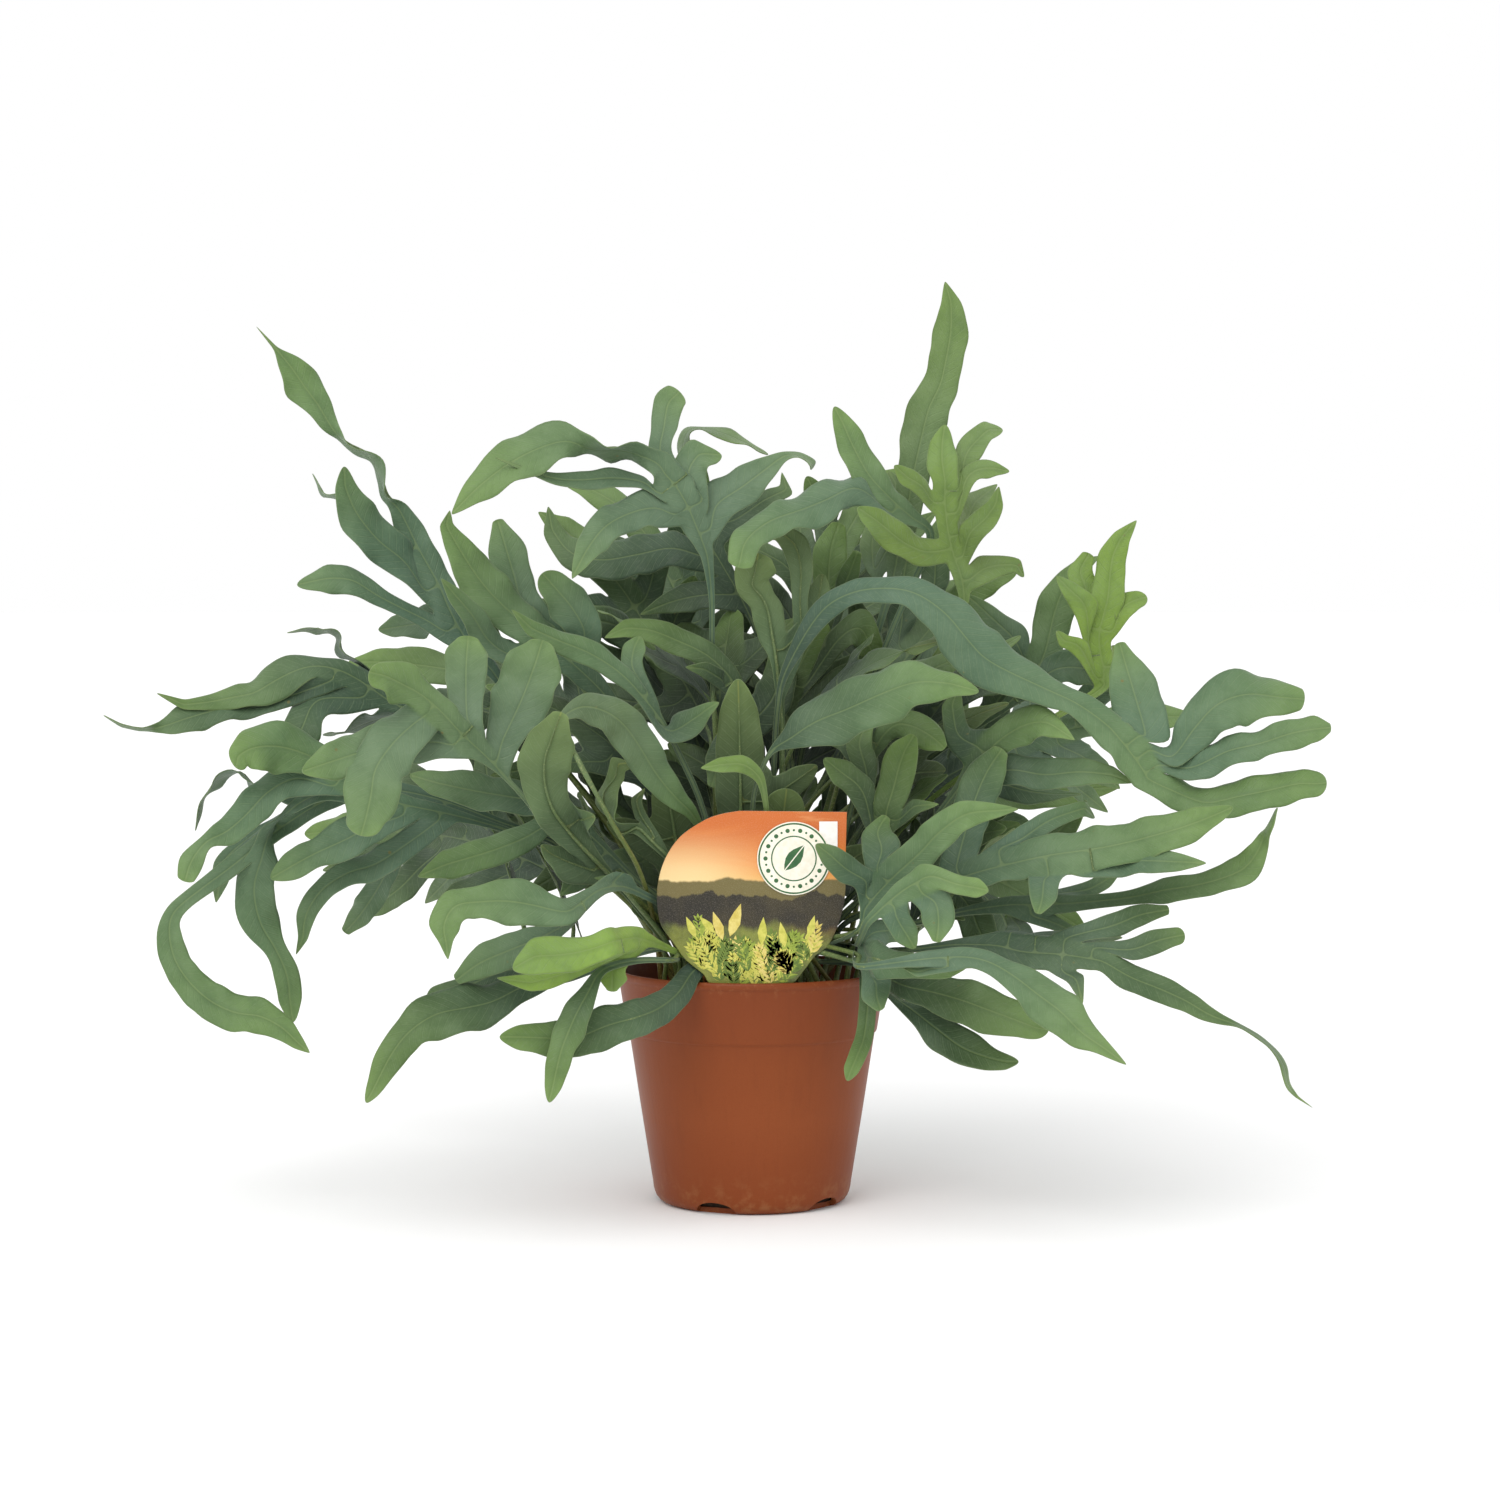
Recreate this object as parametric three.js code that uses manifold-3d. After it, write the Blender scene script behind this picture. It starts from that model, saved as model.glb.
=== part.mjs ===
// Potted fern: a blue-green polypody with deeply lobed fronds, in a round
// nursery pot, with a printed plant label standing at the front.
// Units are millimetres, +Z up, the front faces -Y. The origin is the centre
// of the pot's underside.
import * as THREE from 'three';
import { mergeVertices } from 'three/addons/utils/BufferGeometryUtils.js';
import Module from 'manifold-3d';

// ---- driving dimensions -------------------------------------------------
const RIM_RADIUS = 60;          // outside of the rolled lip
const POT_HEIGHT = 103;         // underside to top of the lip
const BAND_BOTTOM = 75.4;       // lower line of the band under the lip
const BODY_TOP_RADIUS = 54.4;   // outside of the body where the band starts
const BODY_LOW_RADIUS = 43.9;   // outside of the body just above the foot
const WALL = 1.35;              // plastic thickness
const FLOOR = 2.2;              // floor thickness
const POT_SEGMENTS = 56;
const NOTCH_COUNT = 5;          // arched recesses round the foot
const NOTCH_WIDTH = 18.5;
const NOTCH_HEIGHT = 5.4;
const NOTCH_ANGLE = -112.7;     // degrees, middle of the front-left recess
const DRAIN_COUNT = 6;          // round holes in the floor
const DRAIN_RADIUS = 3.4;
const DRAIN_RING = 24;
const MIX_TOP = 87.8;           // surface of the potting mix
const MIX_GAP = 0.35;           // clearance between the mix and the pot
const LABEL_Y = -53.4;           // middle plane of the label
const LABEL_THICK = 0.8;
const BADGE_RADIUS = 15.7;
const BADGE_THICK = 0.4;
const BADGE_X = 17.8;
const BADGE_Z = 156.0;
const GAP = 0.35;               // clearance between touching pieces

// ---- helpers ------------------------------------------------------------
const wasm = await Module();
wasm.setup();

const closed = (geometry) => {
  const g = geometry.index ? geometry.toNonIndexed() : geometry.clone();
  for (const name of Object.keys(g.attributes)) if (name !== 'position') g.deleteAttribute(name);
  return mergeVertices(g, 1e-3);
};
const toSolid = (geometry) => {
  const g = closed(geometry);
  return new wasm.Manifold(new wasm.Mesh({
    numProp: 3,
    vertProperties: new Float32Array(g.attributes.position.array),
    triVerts: new Uint32Array(g.index.array),
  }));
};
const fromSolid = (solid) => {
  const m = solid.getMesh();
  const p = new Float32Array(m.numVert * 3);
  for (let i = 0; i < m.numVert; i++) for (let k = 0; k < 3; k++) p[i * 3 + k] = m.vertProperties[i * m.numProp + k];
  const g = new THREE.BufferGeometry();
  g.setAttribute('position', new THREE.BufferAttribute(p, 3));
  g.setIndex(new THREE.BufferAttribute(new Uint32Array(m.triVerts), 1));
  g.computeVertexNormals();
  return g;
};
// a body turned about +Z from [radius, height] pairs
const turned = (profile, segments) => {
  const g = new THREE.LatheGeometry(profile.map(([r, z]) => new THREE.Vector2(r, z)), segments);
  g.rotateX(Math.PI / 2);
  return g;
};

const group = new THREE.Group();
const addMesh = (name, geometry, color, roughness) => {
  const mesh = new THREE.Mesh(geometry, new THREE.MeshStandardMaterial({ color, roughness, metalness: 0 }));
  mesh.name = name;
  group.add(mesh);
  return mesh;
};

// ---- pot ----------------------------------------------------------------
// outside from the middle of the underside up to the lip, then down inside
const potProfile = [
  [0, 0], [38, 0], [41.2, 1.2], [43.0, 3.6], [BODY_LOW_RADIUS, 8.5],
  [BODY_TOP_RADIUS, BAND_BOTTOM], [BODY_TOP_RADIUS + 1.0, BAND_BOTTOM + 1.0],
  [RIM_RADIUS - 0.9, POT_HEIGHT - 3.4], [RIM_RADIUS, POT_HEIGHT - 2.6],
  [RIM_RADIUS, POT_HEIGHT - 0.6], [RIM_RADIUS - 0.7, POT_HEIGHT],
  [RIM_RADIUS - 2.2, POT_HEIGHT], [RIM_RADIUS - 2.6, POT_HEIGHT - 4],
  [BODY_TOP_RADIUS + 1.0 - WALL, BAND_BOTTOM + 1.6], [BODY_TOP_RADIUS - WALL, BAND_BOTTOM - 0.4],
  [BODY_LOW_RADIUS - WALL, 9], [41.2, 4.8], [38.4, FLOOR], [0, FLOOR],
];
let pot = toSolid(turned(potProfile, POT_SEGMENTS));
if (pot.volume() < 0) pot = toSolid(turned([...potProfile].reverse(), POT_SEGMENTS));
// arched recesses in the foot, from the floor's edge outwards
const arch = new THREE.Shape();
arch.moveTo(-NOTCH_WIDTH / 2, -1);
for (let i = 0; i <= 8; i++) {
  const a = Math.PI * (1 - i / 8);
  arch.lineTo((NOTCH_WIDTH / 2) * Math.cos(a), NOTCH_HEIGHT * Math.pow(Math.sin(a), 0.7));
}
arch.lineTo(NOTCH_WIDTH / 2, -1);
for (let i = 0; i < NOTCH_COUNT; i++) {
  const notch = new THREE.ExtrudeGeometry(arch, { depth: 12, steps: 1, bevelEnabled: false });
  notch.rotateX(Math.PI / 2);
  notch.rotateZ(Math.PI);
  notch.translate(0, 37.5, 0);
  notch.rotateZ(THREE.MathUtils.degToRad(NOTCH_ANGLE - 90 + i * 360 / NOTCH_COUNT));
  pot = pot.subtract(toSolid(notch));
}
for (let i = 0; i < DRAIN_COUNT; i++) {
  const a = (i + 0.5) * 2 * Math.PI / DRAIN_COUNT;
  const hole = new THREE.CylinderGeometry(DRAIN_RADIUS, DRAIN_RADIUS, 12, 14);
  hole.rotateX(Math.PI / 2);
  hole.translate(DRAIN_RING * Math.cos(a), DRAIN_RING * Math.sin(a), 0);
  pot = pot.subtract(toSolid(hole));
}
addMesh('pot', fromSolid(pot), 0x8e4a2e, 0.6);

// ---- potting mix --------------------------------------------------------
let mix = toSolid(turned([
  [0, FLOOR + GAP], [34, FLOOR + GAP], [40.2, 9.4],
  [BODY_TOP_RADIUS - WALL - MIX_GAP - 0.3, BAND_BOTTOM - 0.8],
  [BODY_TOP_RADIUS + 1.0 - WALL - MIX_GAP - 0.2, BAND_BOTTOM + 2.4],
  [55.1, MIX_TOP], [0, MIX_TOP],
], 40));
// the slot the label's stake stands in
const slot = new THREE.BoxGeometry(18.6, 8, 14);
slot.translate(0, LABEL_Y + LABEL_THICK / 2 + GAP - 4, MIX_TOP - 9.6 + 7);
const slotSolid = toSolid(slot);
mix = mix.subtract(slotSolid);
addMesh('potting_mix', fromSolid(mix), 0x2b2119, 0.95);

// ---- rhizomes -----------------------------------------------------------
// creeping stems that lie on the mix between the stalks
const rhizomes = [
  { radius: 5.0, path: [[-23.9, 17.0], [-20.9, 24.8], [-16.5, 32.0], [-10.9, 38.2], [-4.3, 43.2], [3.1, 47.0]] },
  { radius: 5.0, path: [[12.6, -28.4], [7.5, -24.7], [1.8, -22.0], [-4.2, -20.4], [-10.4, -19.8], [-16.7, -20.3]] },
  { radius: 3.6, path: [[-38.1, 20.0], [-39.7, 12.8], [-41.1, 5.5], [-42.3, -1.7], [-43.5, -9.1], [-44.4, -16.4]] },
];
rhizomes.forEach(({ radius, path }, i) => {
  const z = MIX_TOP + GAP + radius;
  const curve = new THREE.CatmullRomCurve3(path.map(([x, y]) => new THREE.Vector3(x, y, z)));
  const ring = new THREE.Shape();
  for (let k = 0; k < 8; k++) {
    const a = (k / 8) * 2 * Math.PI;
    if (k === 0) ring.moveTo(radius * Math.cos(a), radius * Math.sin(a));
    else ring.lineTo(radius * Math.cos(a), radius * Math.sin(a));
  }
  ring.closePath();
  const g = new THREE.ExtrudeGeometry(ring, { steps: 12, extrudePath: curve, bevelEnabled: false });
  addMesh(`rhizome_${i + 1}`, fromSolid(toSolid(g)), 0x8a5a2c, 0.85);
});

// ---- label and badge ----------------------------------------------------
// a round card with one square corner; the narrow foot stands in the mix
const labelOutline = [
  [-5.6, 176.3], [40.4, 175.8], [40.0, 160.0], [39.6, 139.5], [36.7, 127.5], [32.4, 118.5], [26.9, 114.2], [22.6, 108.6], [18.3, 103.1], [13, 98.5], [8.5, 90], [6.5, 82], [0, 79], [-6.5, 82], [-8.5, 90], [-13, 98.5], [-18.8, 103.1], [-21.0, 106.5], [-28.7, 112.9], [-34.2, 120.7], [-38.9, 127.5], [-40.6, 137.4], [-40.1, 145.9], [-37.1, 155.8], [-30.7, 165.2], [-20.9, 172.0], [-13.7, 174.8],
];
const labelShape = new THREE.Shape(labelOutline.map(([x, z]) => new THREE.Vector2(x, z)));
const labelGeometry = new THREE.ExtrudeGeometry(labelShape, { depth: LABEL_THICK, steps: 1, bevelEnabled: false });
labelGeometry.rotateX(Math.PI / 2);
labelGeometry.translate(0, LABEL_Y + LABEL_THICK / 2, 0);
addMesh('label', fromSolid(toSolid(labelGeometry)), 0xd9a860, 0.45);

const badgeGeometry = new THREE.CylinderGeometry(BADGE_RADIUS, BADGE_RADIUS, BADGE_THICK, 40);
badgeGeometry.translate(BADGE_X, LABEL_Y - LABEL_THICK / 2 - 0.3 - BADGE_THICK / 2, BADGE_Z);
addMesh('label_badge', fromSolid(toSolid(badgeGeometry)), 0xe9e2cf, 0.4);

// ---- fronds -------------------------------------------------------------
// Each frond is one strip from the stalk's foot to the end blade, with lobes
// joined to its sides. A row is [x, y, z, ex, ey, ez(, t)]: the middle of the
// blade, the vector from the middle to the left edge, and half the thickness.
// A lobe starts on rows at-1, at and at+1 of its side of the strip.
const fronds = [
  { name: 'frond_01', tint: 0, stalk: 6, tip: [-217.9, 1, 386],
    axis: [
      [-13.5, 5.4, 88.6, -1.11, -0.47, -0.61, 1.2], [-27.5, 5.3, 114, -1.15, -0.47, -0.43, 1.18], [-38, 4.9, 134, -1, -0.45, -0.66, 1.16],
      [-53.8, 3.9, 155.9, -0.89, -0.42, -0.71, 1.12], [-72.2, 3.2, 178.5, -0.82, -0.4, -0.69, 1.08], [-90.6, 3.4, 200.8, -0.79, -0.38, -0.62, 1.04],
      [-106.3, 5, 221.6, -1.07, -0.48, -0.73, 0.9], [-113, 6.3, 231.5, -2, -0.91, -1.4, 0.55], [-119, 7.4, 239.1, -2.69, -1.69, -2.55, 0.55],
      [-125.4, 8.5, 246.3, -4.22, -2.01, -3.08, 0.55], [-130.6, 9.6, 254.5, -5.07, -1.88, -2.93, 0.55], [-135.1, 10.7, 263.3, -5.75, -1.57, -2.49, 0.55],
      [-138.9, 11.7, 272.3, -5.85, -1.79, -2.84, 0.55], [-143.8, 12.8, 280.9, -5.57, -2.2, -3.46, 0.55], [-148.6, 13.9, 289.4, -5.7, -1.86, -2.97, 0.55],
      [-152.9, 15, 298.2, -5.41, -1.74, -2.79, 0.55], [-157.3, 14.3, 306.6, -3.12, -1.49, -2.34, 0.5], [-162.5, 13.6, 311.9, -1.5, 6.9, -0.27, 0.5],
      [-165.4, 12.6, 320.7, -2.86, 7.64, -0.67, 0.5], [-170.1, 11.4, 329.5, -2.52, 8.66, -1.26, 0.5], [-180.1, 10, 335.2, -1.24, 6.91, -0.23, 0.5],
      [-186.6, 8.7, 343.1, -3.08, -1.48, -2.36, 0.5], [-191.6, 7.3, 351.8, -4.54, -2.03, -3.28, 0.5], [-197.6, 5.9, 360.1, -6.46, -3.1, -5.01, 0.5],
      [-203.1, 4.5, 368.3, -4.29, -2.22, -3.58, 0.5], [-209.4, 3, 376.1, -0.62, -0.37, -0.59, 0.5],
    ],
    lobes: [
      { side: 1, at: 12, tip: [-178.2, -10.8, 324.3], rows: [
        [-153.6, 7.6, 282.6, -4.07, -4.32, -6.07], [-165, 2.9, 292.2, -5.86, -4.3, -6.22], [-174, -2.6, 304.4, -6.77, -2.98, -4.46],
        [-178.2, -7.1, 315.3, -4.57, -0.79, -1.24],
      ] },
      { side: 1, at: 10, tip: [-200.2, -5.4, 272.4], rows: [
        [-142.7, 8, 256, -0.93, -2.28, -3.8], [-153.5, 5.9, 261.4, -1.41, -1.86, -3.15], [-165.2, 3.3, 267.6, -1.75, -2.02, -3.45],
        [-176.3, 0.4, 274.6, -1.72, -3.44, -5.8], [-186.5, -2, 275.5, 0.97, -3.67, -6.13],
      ] },
      { side: 1, at: 14, tip: [-200.1, 51.4, 323.3], rows: [
        [-163.8, 20.4, 292.5, -1.91, -1.65, -3.46], [-183.3, 35.6, 309.3, -2.1, 8.75, -1.25], [-193.2, 42.3, 312.2, -1.47, 6.89, -0.49],
      ] },
      { side: -1, at: 8, tip: [-169, 37.4, 252.1], rows: [
        [-135.6, 17.7, 255.9, 2.48, 4.67, 4.98], [-148.8, 25, 254.9, -1.36, 6.58, 6.6], [-160.7, 32.3, 253.1, -1.07, 4.38, 4.4],
      ] },
    ] },
  { name: 'frond_02', tint: 0.25, stalk: 6, tip: [-254.9, -46, 226.3],
    axis: [
      [-20, -2, 88.6, -0.29, -1.31, -0.18, 1.2], [-34, -2.4, 114, -0.07, -1.31, -0.04, 1.18], [-45.7, -2.1, 138, -0.32, -1.23, -0.15, 1.16],
      [-64.1, -1.5, 166.8, -0.39, -1.12, -0.25, 1.12], [-85.5, -1.2, 194.2, -0.41, -1, -0.37, 1.08], [-106.7, -2.1, 213.9, -0.32, -0.84, -0.57, 1.04],
      [-124, -5, 219.7, 0.4, -0.95, -1.24, 0.9], [-136.9, -8.8, 216.8, 0.15, -0.99, -1.28, 0.9], [-145.1, -11, 217.4, -0.11, -1.22, -1.58, 0.9],
      [-153.1, -13.3, 219, -0.52, -1.71, -2.24, 0.55], [-159.8, -15.7, 222.8, -2.18, -2.73, -3.71, 0.55], [-166.5, -18, 227.8, -2.64, -3.05, -4.18, 0.55],
      [-173.3, -20.3, 232.4, -2.08, -3.06, -4.16, 0.55], [-180.5, -22.7, 235.9, -1.18, -3.33, -4.43, 0.55], [-188.3, -25, 237.3, -0.06, -3.56, -4.66, 0.55],
      [-195.9, -26.4, 236.1, 2.79, -4.84, -6.46, 0.5], [-205.9, -29.2, 231.4, 4.25, -4.97, -6.76, 0.5], [-215, -32.2, 225.9, 2.82, -4.08, -5.47, 0.5],
      [-223.3, -34.7, 224.2, 1.44, -3.44, -4.53, 0.5], [-233.2, -38, 222.2, 0.92, -2.52, -3.31, 0.5], [-243.7, -41.6, 221, -0.11, -1.57, -2.06, 0.5],
    ],
    lobes: [
      { side: -1, at: 11, tip: [-208.1, 19.5, 251], rows: [
        [-178.6, -7.6, 241.7, 2.4, -7.75, 1.12], [-182.4, -1.4, 249.1, 1.77, -6.82, 1.04], [-192.2, 6.7, 253.4, 1, -6.82, 1.41],
      ] },
      { side: 1, at: 11, tip: [-199.7, -51, 197], rows: [
        [-187.8, -29.5, 222.7, 4.83, -6.15, -6.92], [-193.2, -38.1, 211.8, 7.95, -3.16, -3.97], [-197, -45.7, 202.7, 4.78, -1.84, -2.31],
      ] },
      { side: 1, at: 13, tip: [-275, -60.2, 217.4], rows: [
        [-211.6, -32.2, 220.7, 1.85, -3.18, -3.97], [-226.8, -37.8, 219.6, 1.6, -4.36, -5.35], [-241.7, -44.1, 215.5, 2.59, -4.82, -5.97],
        [-250.8, -48.2, 212.3, 1.3, -2.59, -3.2], [-258, -51.5, 211.1, -0.87, 4.85, -1.06], [-267.8, -56.1, 212.6, -0.73, 2.88, -0.73],
      ] },
      { side: 1, at: 9, tip: [-190.1, 1.7, 206.2], rows: [
        [-168.6, -8.1, 212.3, 0.11, 8.55, -2.75], [-179.3, -3.2, 207.3, -0.57, 8.76, -2.08],
      ] },
    ] },
  { name: 'frond_03', tint: 0, stalk: 4, tip: [-217.3, -70.2, 195.5],
    axis: [
      [-25.9, -16.2, 88.6, -0.96, -0.75, -0.57, 1.2], [-39.8, -17.8, 114, -0.96, -0.81, -0.39, 1.18], [-53.8, -18.9, 133.5, -0.74, -0.58, -0.8, 1.13],
      [-76.9, -21, 151.7, -0.5, -0.49, -0.87, 1.07], [-100.9, -25, 163.9, -0.37, -0.56, -1.2, 0.9], [-117.9, -29.1, 169.8, -0.43, -0.76, -1.62, 0.9],
      [-127.4, -31.3, 172.5, -0.54, -1.18, -2.52, 0.55], [-134.6, -33, 174.3, -0.63, -1.52, -3.25, 0.55], [-142.1, -34.7, 176, -0.54, -1.75, -3.75, 0.55],
      [-149.2, -36.4, 177.6, -0.87, -1.88, -4.04, 0.55], [-156.5, -38.1, 179.8, -1.3, -2.04, -4.4, 0.55], [-163.3, -39.9, 182.7, -2.12, -2.11, -4.58, 0.55],
      [-169.6, -41.6, 186.8, -2.96, -2.17, -4.75, 0.55], [-175.8, -43.3, 191, -3.18, -2.23, -4.9, 0.55], [-181.7, -45, 195.4, -3.16, -2.2, -4.83, 0.55],
      [-192.9, -50.6, 201.3, -2.7, -3.98, -8.65, 0.5], [-202.7, -56.6, 204.1, -0.3, -4.98, -10.78, 0.5], [-211.6, -62.5, 203.5, 2.96, -4.04, -8.8, 0.5],
      [-216.9, -66.8, 200.4, 4.14, -1.37, -3.1, 0.5],
    ],
    lobes: [
      { side: 1, at: 13, tip: [-238.7, -73.3, 147.7], rows: [
        [-194.2, -47.9, 190, 2.03, -3.45, -6.9], [-206.4, -52.5, 184.3, 4.56, -2.8, -5.74], [-215.1, -57.4, 174.8, 5.31, -2.45, -5.08],
        [-223, -61.8, 167.9, 3.64, -2.33, -4.76], [-230.9, -65.7, 163.9, 2.08, -1.06, -2.17], [-236.6, -70.2, 155.8, 4.97, -1.22, -2.57],
        [-238.2, -73.3, 149.3, 3.69, -0.51, -1.09],
      ] },
      { side: 1, at: 11, tip: [-200.5, -21.9, 81.3], rows: [
        [-181.7, -38.4, 183.4, 0.66, -2.04, -3.3], [-194.9, -36.9, 178.6, 1.77, -1.48, -2.47], [-207.3, -34.9, 167.6, -0.4, 7.86, -1.06],
        [-212, -33.2, 154.5, 6.34, -1, -1.79], [-215.8, -31.3, 141.3, 8.68, -0.14, -0.26], [-213.6, -29.1, 126.3, 7.99, 1.55, 2.72],
        [-207.4, -27.2, 114.8, 4.11, 1.19, 2.05], [-202.6, -25.2, 102.8, 5.34, 0.84, 1.48], [-201.6, -23.5, 91.6, 5.15, 0.35, 0.61],
      ] },
      { side: 1, at: 9, tip: [-206.4, -48.4, 146.7], rows: [
        [-163.7, -38.6, 168.8, 3.62, -2.19, -5.85], [-175.1, -40.9, 162.9, 4.23, -2.99, -7.93], [-186.4, -43.3, 157.9, 3.07, -2.12, -5.63],
        [-197.3, -46, 152.1, 3.39, -2.05, -5.45],
      ] },
      { side: 1, at: 7, tip: [-199.6, -18, 110.7], rows: [
        [-161.4, -28.7, 152.4, 3.86, -2.82, -5.22], [-174.7, -26.5, 147.9, 2.74, -2.66, -4.88], [-187.3, -23.9, 139.8, 3.55, -1.74, -3.28],
        [-194.6, -21.5, 128.6, 4.15, -0.79, -1.53], [-196.2, -19.6, 118.3, 2.15, -0.26, -0.5],
      ] },
    ] },
  { name: 'frond_04', tint: 0.05, stalk: 3, tip: [-188.5, -58, 73.1],
    axis: [
      [-30.1, -9.8, 88.6, -0.98, -0.79, -0.49, 1.2], [-42, -11, 114, -0.96, -0.84, -0.33, 1.18], [-58.4, -12.4, 139.3, -0.72, -0.59, -0.71, 1.1],
      [-84.1, -15, 158.7, -0.44, -0.62, -1.18, 0.9], [-110.1, -18, 169, -0.56, -0.82, -1.58, 0.9], [-124.6, -19.6, 174.8, -0.78, -1.15, -2.22, 0.55],
      [-133.5, -20.7, 178.1, -0.78, -1.41, -2.71, 0.55], [-142.8, -21.7, 180.8, -0.69, -1.64, -3.16, 0.55], [-152, -22.8, 182.8, -0.35, -1.87, -3.59, 0.55],
      [-161.3, -23.8, 183.5, 0.21, -2.04, -3.9, 0.55], [-171, -24.8, 182.9, 0.78, -2.12, -4.07, 0.55], [-180.2, -25.9, 181, 1.54, -2.08, -4.03, 0.55],
      [-188.8, -26.9, 177.1, 2.36, -1.9, -3.72, 0.55], [-196.9, -27.9, 172.3, 2.51, -1.81, -3.55, 0.55], [-204.7, -29, 166.9, 2.66, -1.62, -3.21, 0.55],
      [-212.4, -30, 161.2, 2.48, -1.55, -3.06, 0.55], [-226, -32.3, 150.1, 2.88, -1.67, -3.3, 0.5], [-240.3, -35.4, 139.5, 2.37, -1.3, -2.58, 0.5],
      [-250.3, -37.9, 130.2, 3.56, -0.85, -1.74, 0.5], [-250.8, -40.2, 118.8, 5.94, 0.33, 0.67, 0.5], [-247.1, -42.4, 108.6, 5.51, 1.41, 2.84, 0.5],
      [-240.3, -44.7, 100.2, 4.96, 2.42, 4.75, 0.5], [-231.9, -47, 93.6, 3.85, 3.4, 6.52, 0.5], [-221.2, -49.5, 89.2, 1.79, 3.9, 7.35, 0.5],
      [-211, -51.7, 88.2, 1.81, 3.68, 6.92, 0.5], [-201.3, -54.1, 83.8, 2.88, 2.24, 4.3, 0.5], [-193.8, -56.4, 77.2, 1.86, 1.08, 2.09, 0.5],
    ],
    lobes: [
      { side: -1, at: 12, tip: [-245.5, -4.4, 163.7], rows: [
        [-213.5, -21, 183.2, 1.95, -8.72, 2.14], [-223.6, -17.2, 190.9, 1.47, -7.79, 1.71], [-233.8, -13.7, 187.2, 0.47, -7.78, 1.53],
        [-241, -10.1, 179, -0.11, -6.78, 0.96],
      ] },
      { side: -1, at: 14, tip: [-237.4, 1, 131.7], rows: [
        [-229.5, -14.9, 153.9, -2.41, 0.97, 2.59], [-234.3, -6.9, 142.7, -3.89, 0.35, 0.95],
      ] },
      { side: 1, at: 6, tip: [-183.3, 24.3, 116.2], rows: [
        [-155, -6.1, 155.8, 3.62, -1.69, -2.6], [-166.2, 6.7, 137.9, 5.11, -1.85, -2.87], [-175.5, 17.2, 124.8, 4.52, -1.98, -3.03],
        [-182.7, 24.3, 116.9, 1.79, -0.92, -1.39],
      ] },
    ] },
  { name: 'frond_05', tint: -0.25, stalk: 4, tip: [-156.8, -108.8, 236.9],
    axis: [
      [-18.9, -29.3, 88.6, -1.06, -0.54, -0.65, 1.2], [-30.9, -24.3, 113.3, -1.1, -0.55, -0.46, 1.18], [-43.4, -31, 130.7, -0.73, -0.44, -0.89, 1.13],
      [-65, -51.5, 148.9, -0.6, -0.36, -0.87, 1.07], [-83, -64.6, 165.5, -0.82, -0.43, -0.63, 0.9], [-95, -70.3, 181.9, -0.77, -0.46, -0.67, 0.9],
      [-103.2, -71.7, 191, -0.68, -0.49, -0.72, 0.9], [-108.9, -73.4, 197.6, -1.75, -1.08, -1.59, 0.55], [-114.5, -76.1, 203.4, -2.77, -2.43, -3.51, 0.55],
      [-120.7, -79.5, 209.6, -3.74, -2.73, -4.01, 0.55], [-126.4, -83.5, 216.2, -4.05, -2.6, -3.87, 0.55], [-132.2, -87.7, 222.7, -3.87, -3.08, -4.53, 0.55],
      [-138.8, -92, 228.2, -3.37, -3.37, -4.91, 0.55], [-144.6, -96.4, 231.6, -3.64, -5.54, -7.91, 0.5], [-150.5, -102.3, 235.1, -1.82, -4.3, -6.06, 0.5],
    ],
    lobes: [
      { side: -1, at: 7, tip: [-88.7, -57.3, 249.1], rows: [
        [-105.2, -70.6, 206.4, 6.7, -2.01, -2.79], [-100.6, -67, 216.4, 10.24, -3.11, -4.32], [-95.6, -63.3, 228.1, 12.01, -3.24, -4.54],
        [-91.5, -59.7, 239.9, 10.99, -2.57, -3.64], [-89.5, -57.4, 246.6, 5.75, -1.23, -1.75],
      ] },
      { side: -1, at: 9, tip: [-120.7, -52.6, 250.9], rows: [
        [-119.1, -76.9, 215.1, 6.29, -0.2, -0.38], [-120.3, -70.7, 225, 7.55, 0.16, 0.3], [-120.9, -63, 235.7, 8.88, -0.1, -0.19],
        [-121, -56.5, 244, 8.92, -0.3, -0.57], [-120.9, -52.6, 248.6, 5.1, -0.24, -0.46],
      ] },
      { side: 1, at: 9, tip: [-183.8, -116.4, 196.4], rows: [
        [-131.1, -82.9, 207, 1.24, -3.48, -6.45], [-144.2, -89.2, 206.5, 1.57, -4.77, -8.85], [-159.3, -98.4, 204, 2.71, -4.83, -9],
        [-173, -108, 200, 2.68, -3.66, -6.84],
      ] },
      { side: 1, at: 11, tip: [-157.7, -132.6, 171.4], rows: [
        [-139.3, -92.2, 215.8, 6.56, -4.05, -6.52], [-147.6, -99.8, 207.8, 8.49, -4.21, -6.84], [-154.1, -109.1, 197.6, 11.17, -2.74, -4.59],
        [-155.2, -117.9, 187.1, 11.31, -1.28, -2.16], [-156.4, -126, 178.2, 7.98, -1.1, -1.85],
      ] },
    ] },
  { name: 'frond_06', tint: -0.2, stalk: 6, tip: [-127.7, -55, 302.1],
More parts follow.
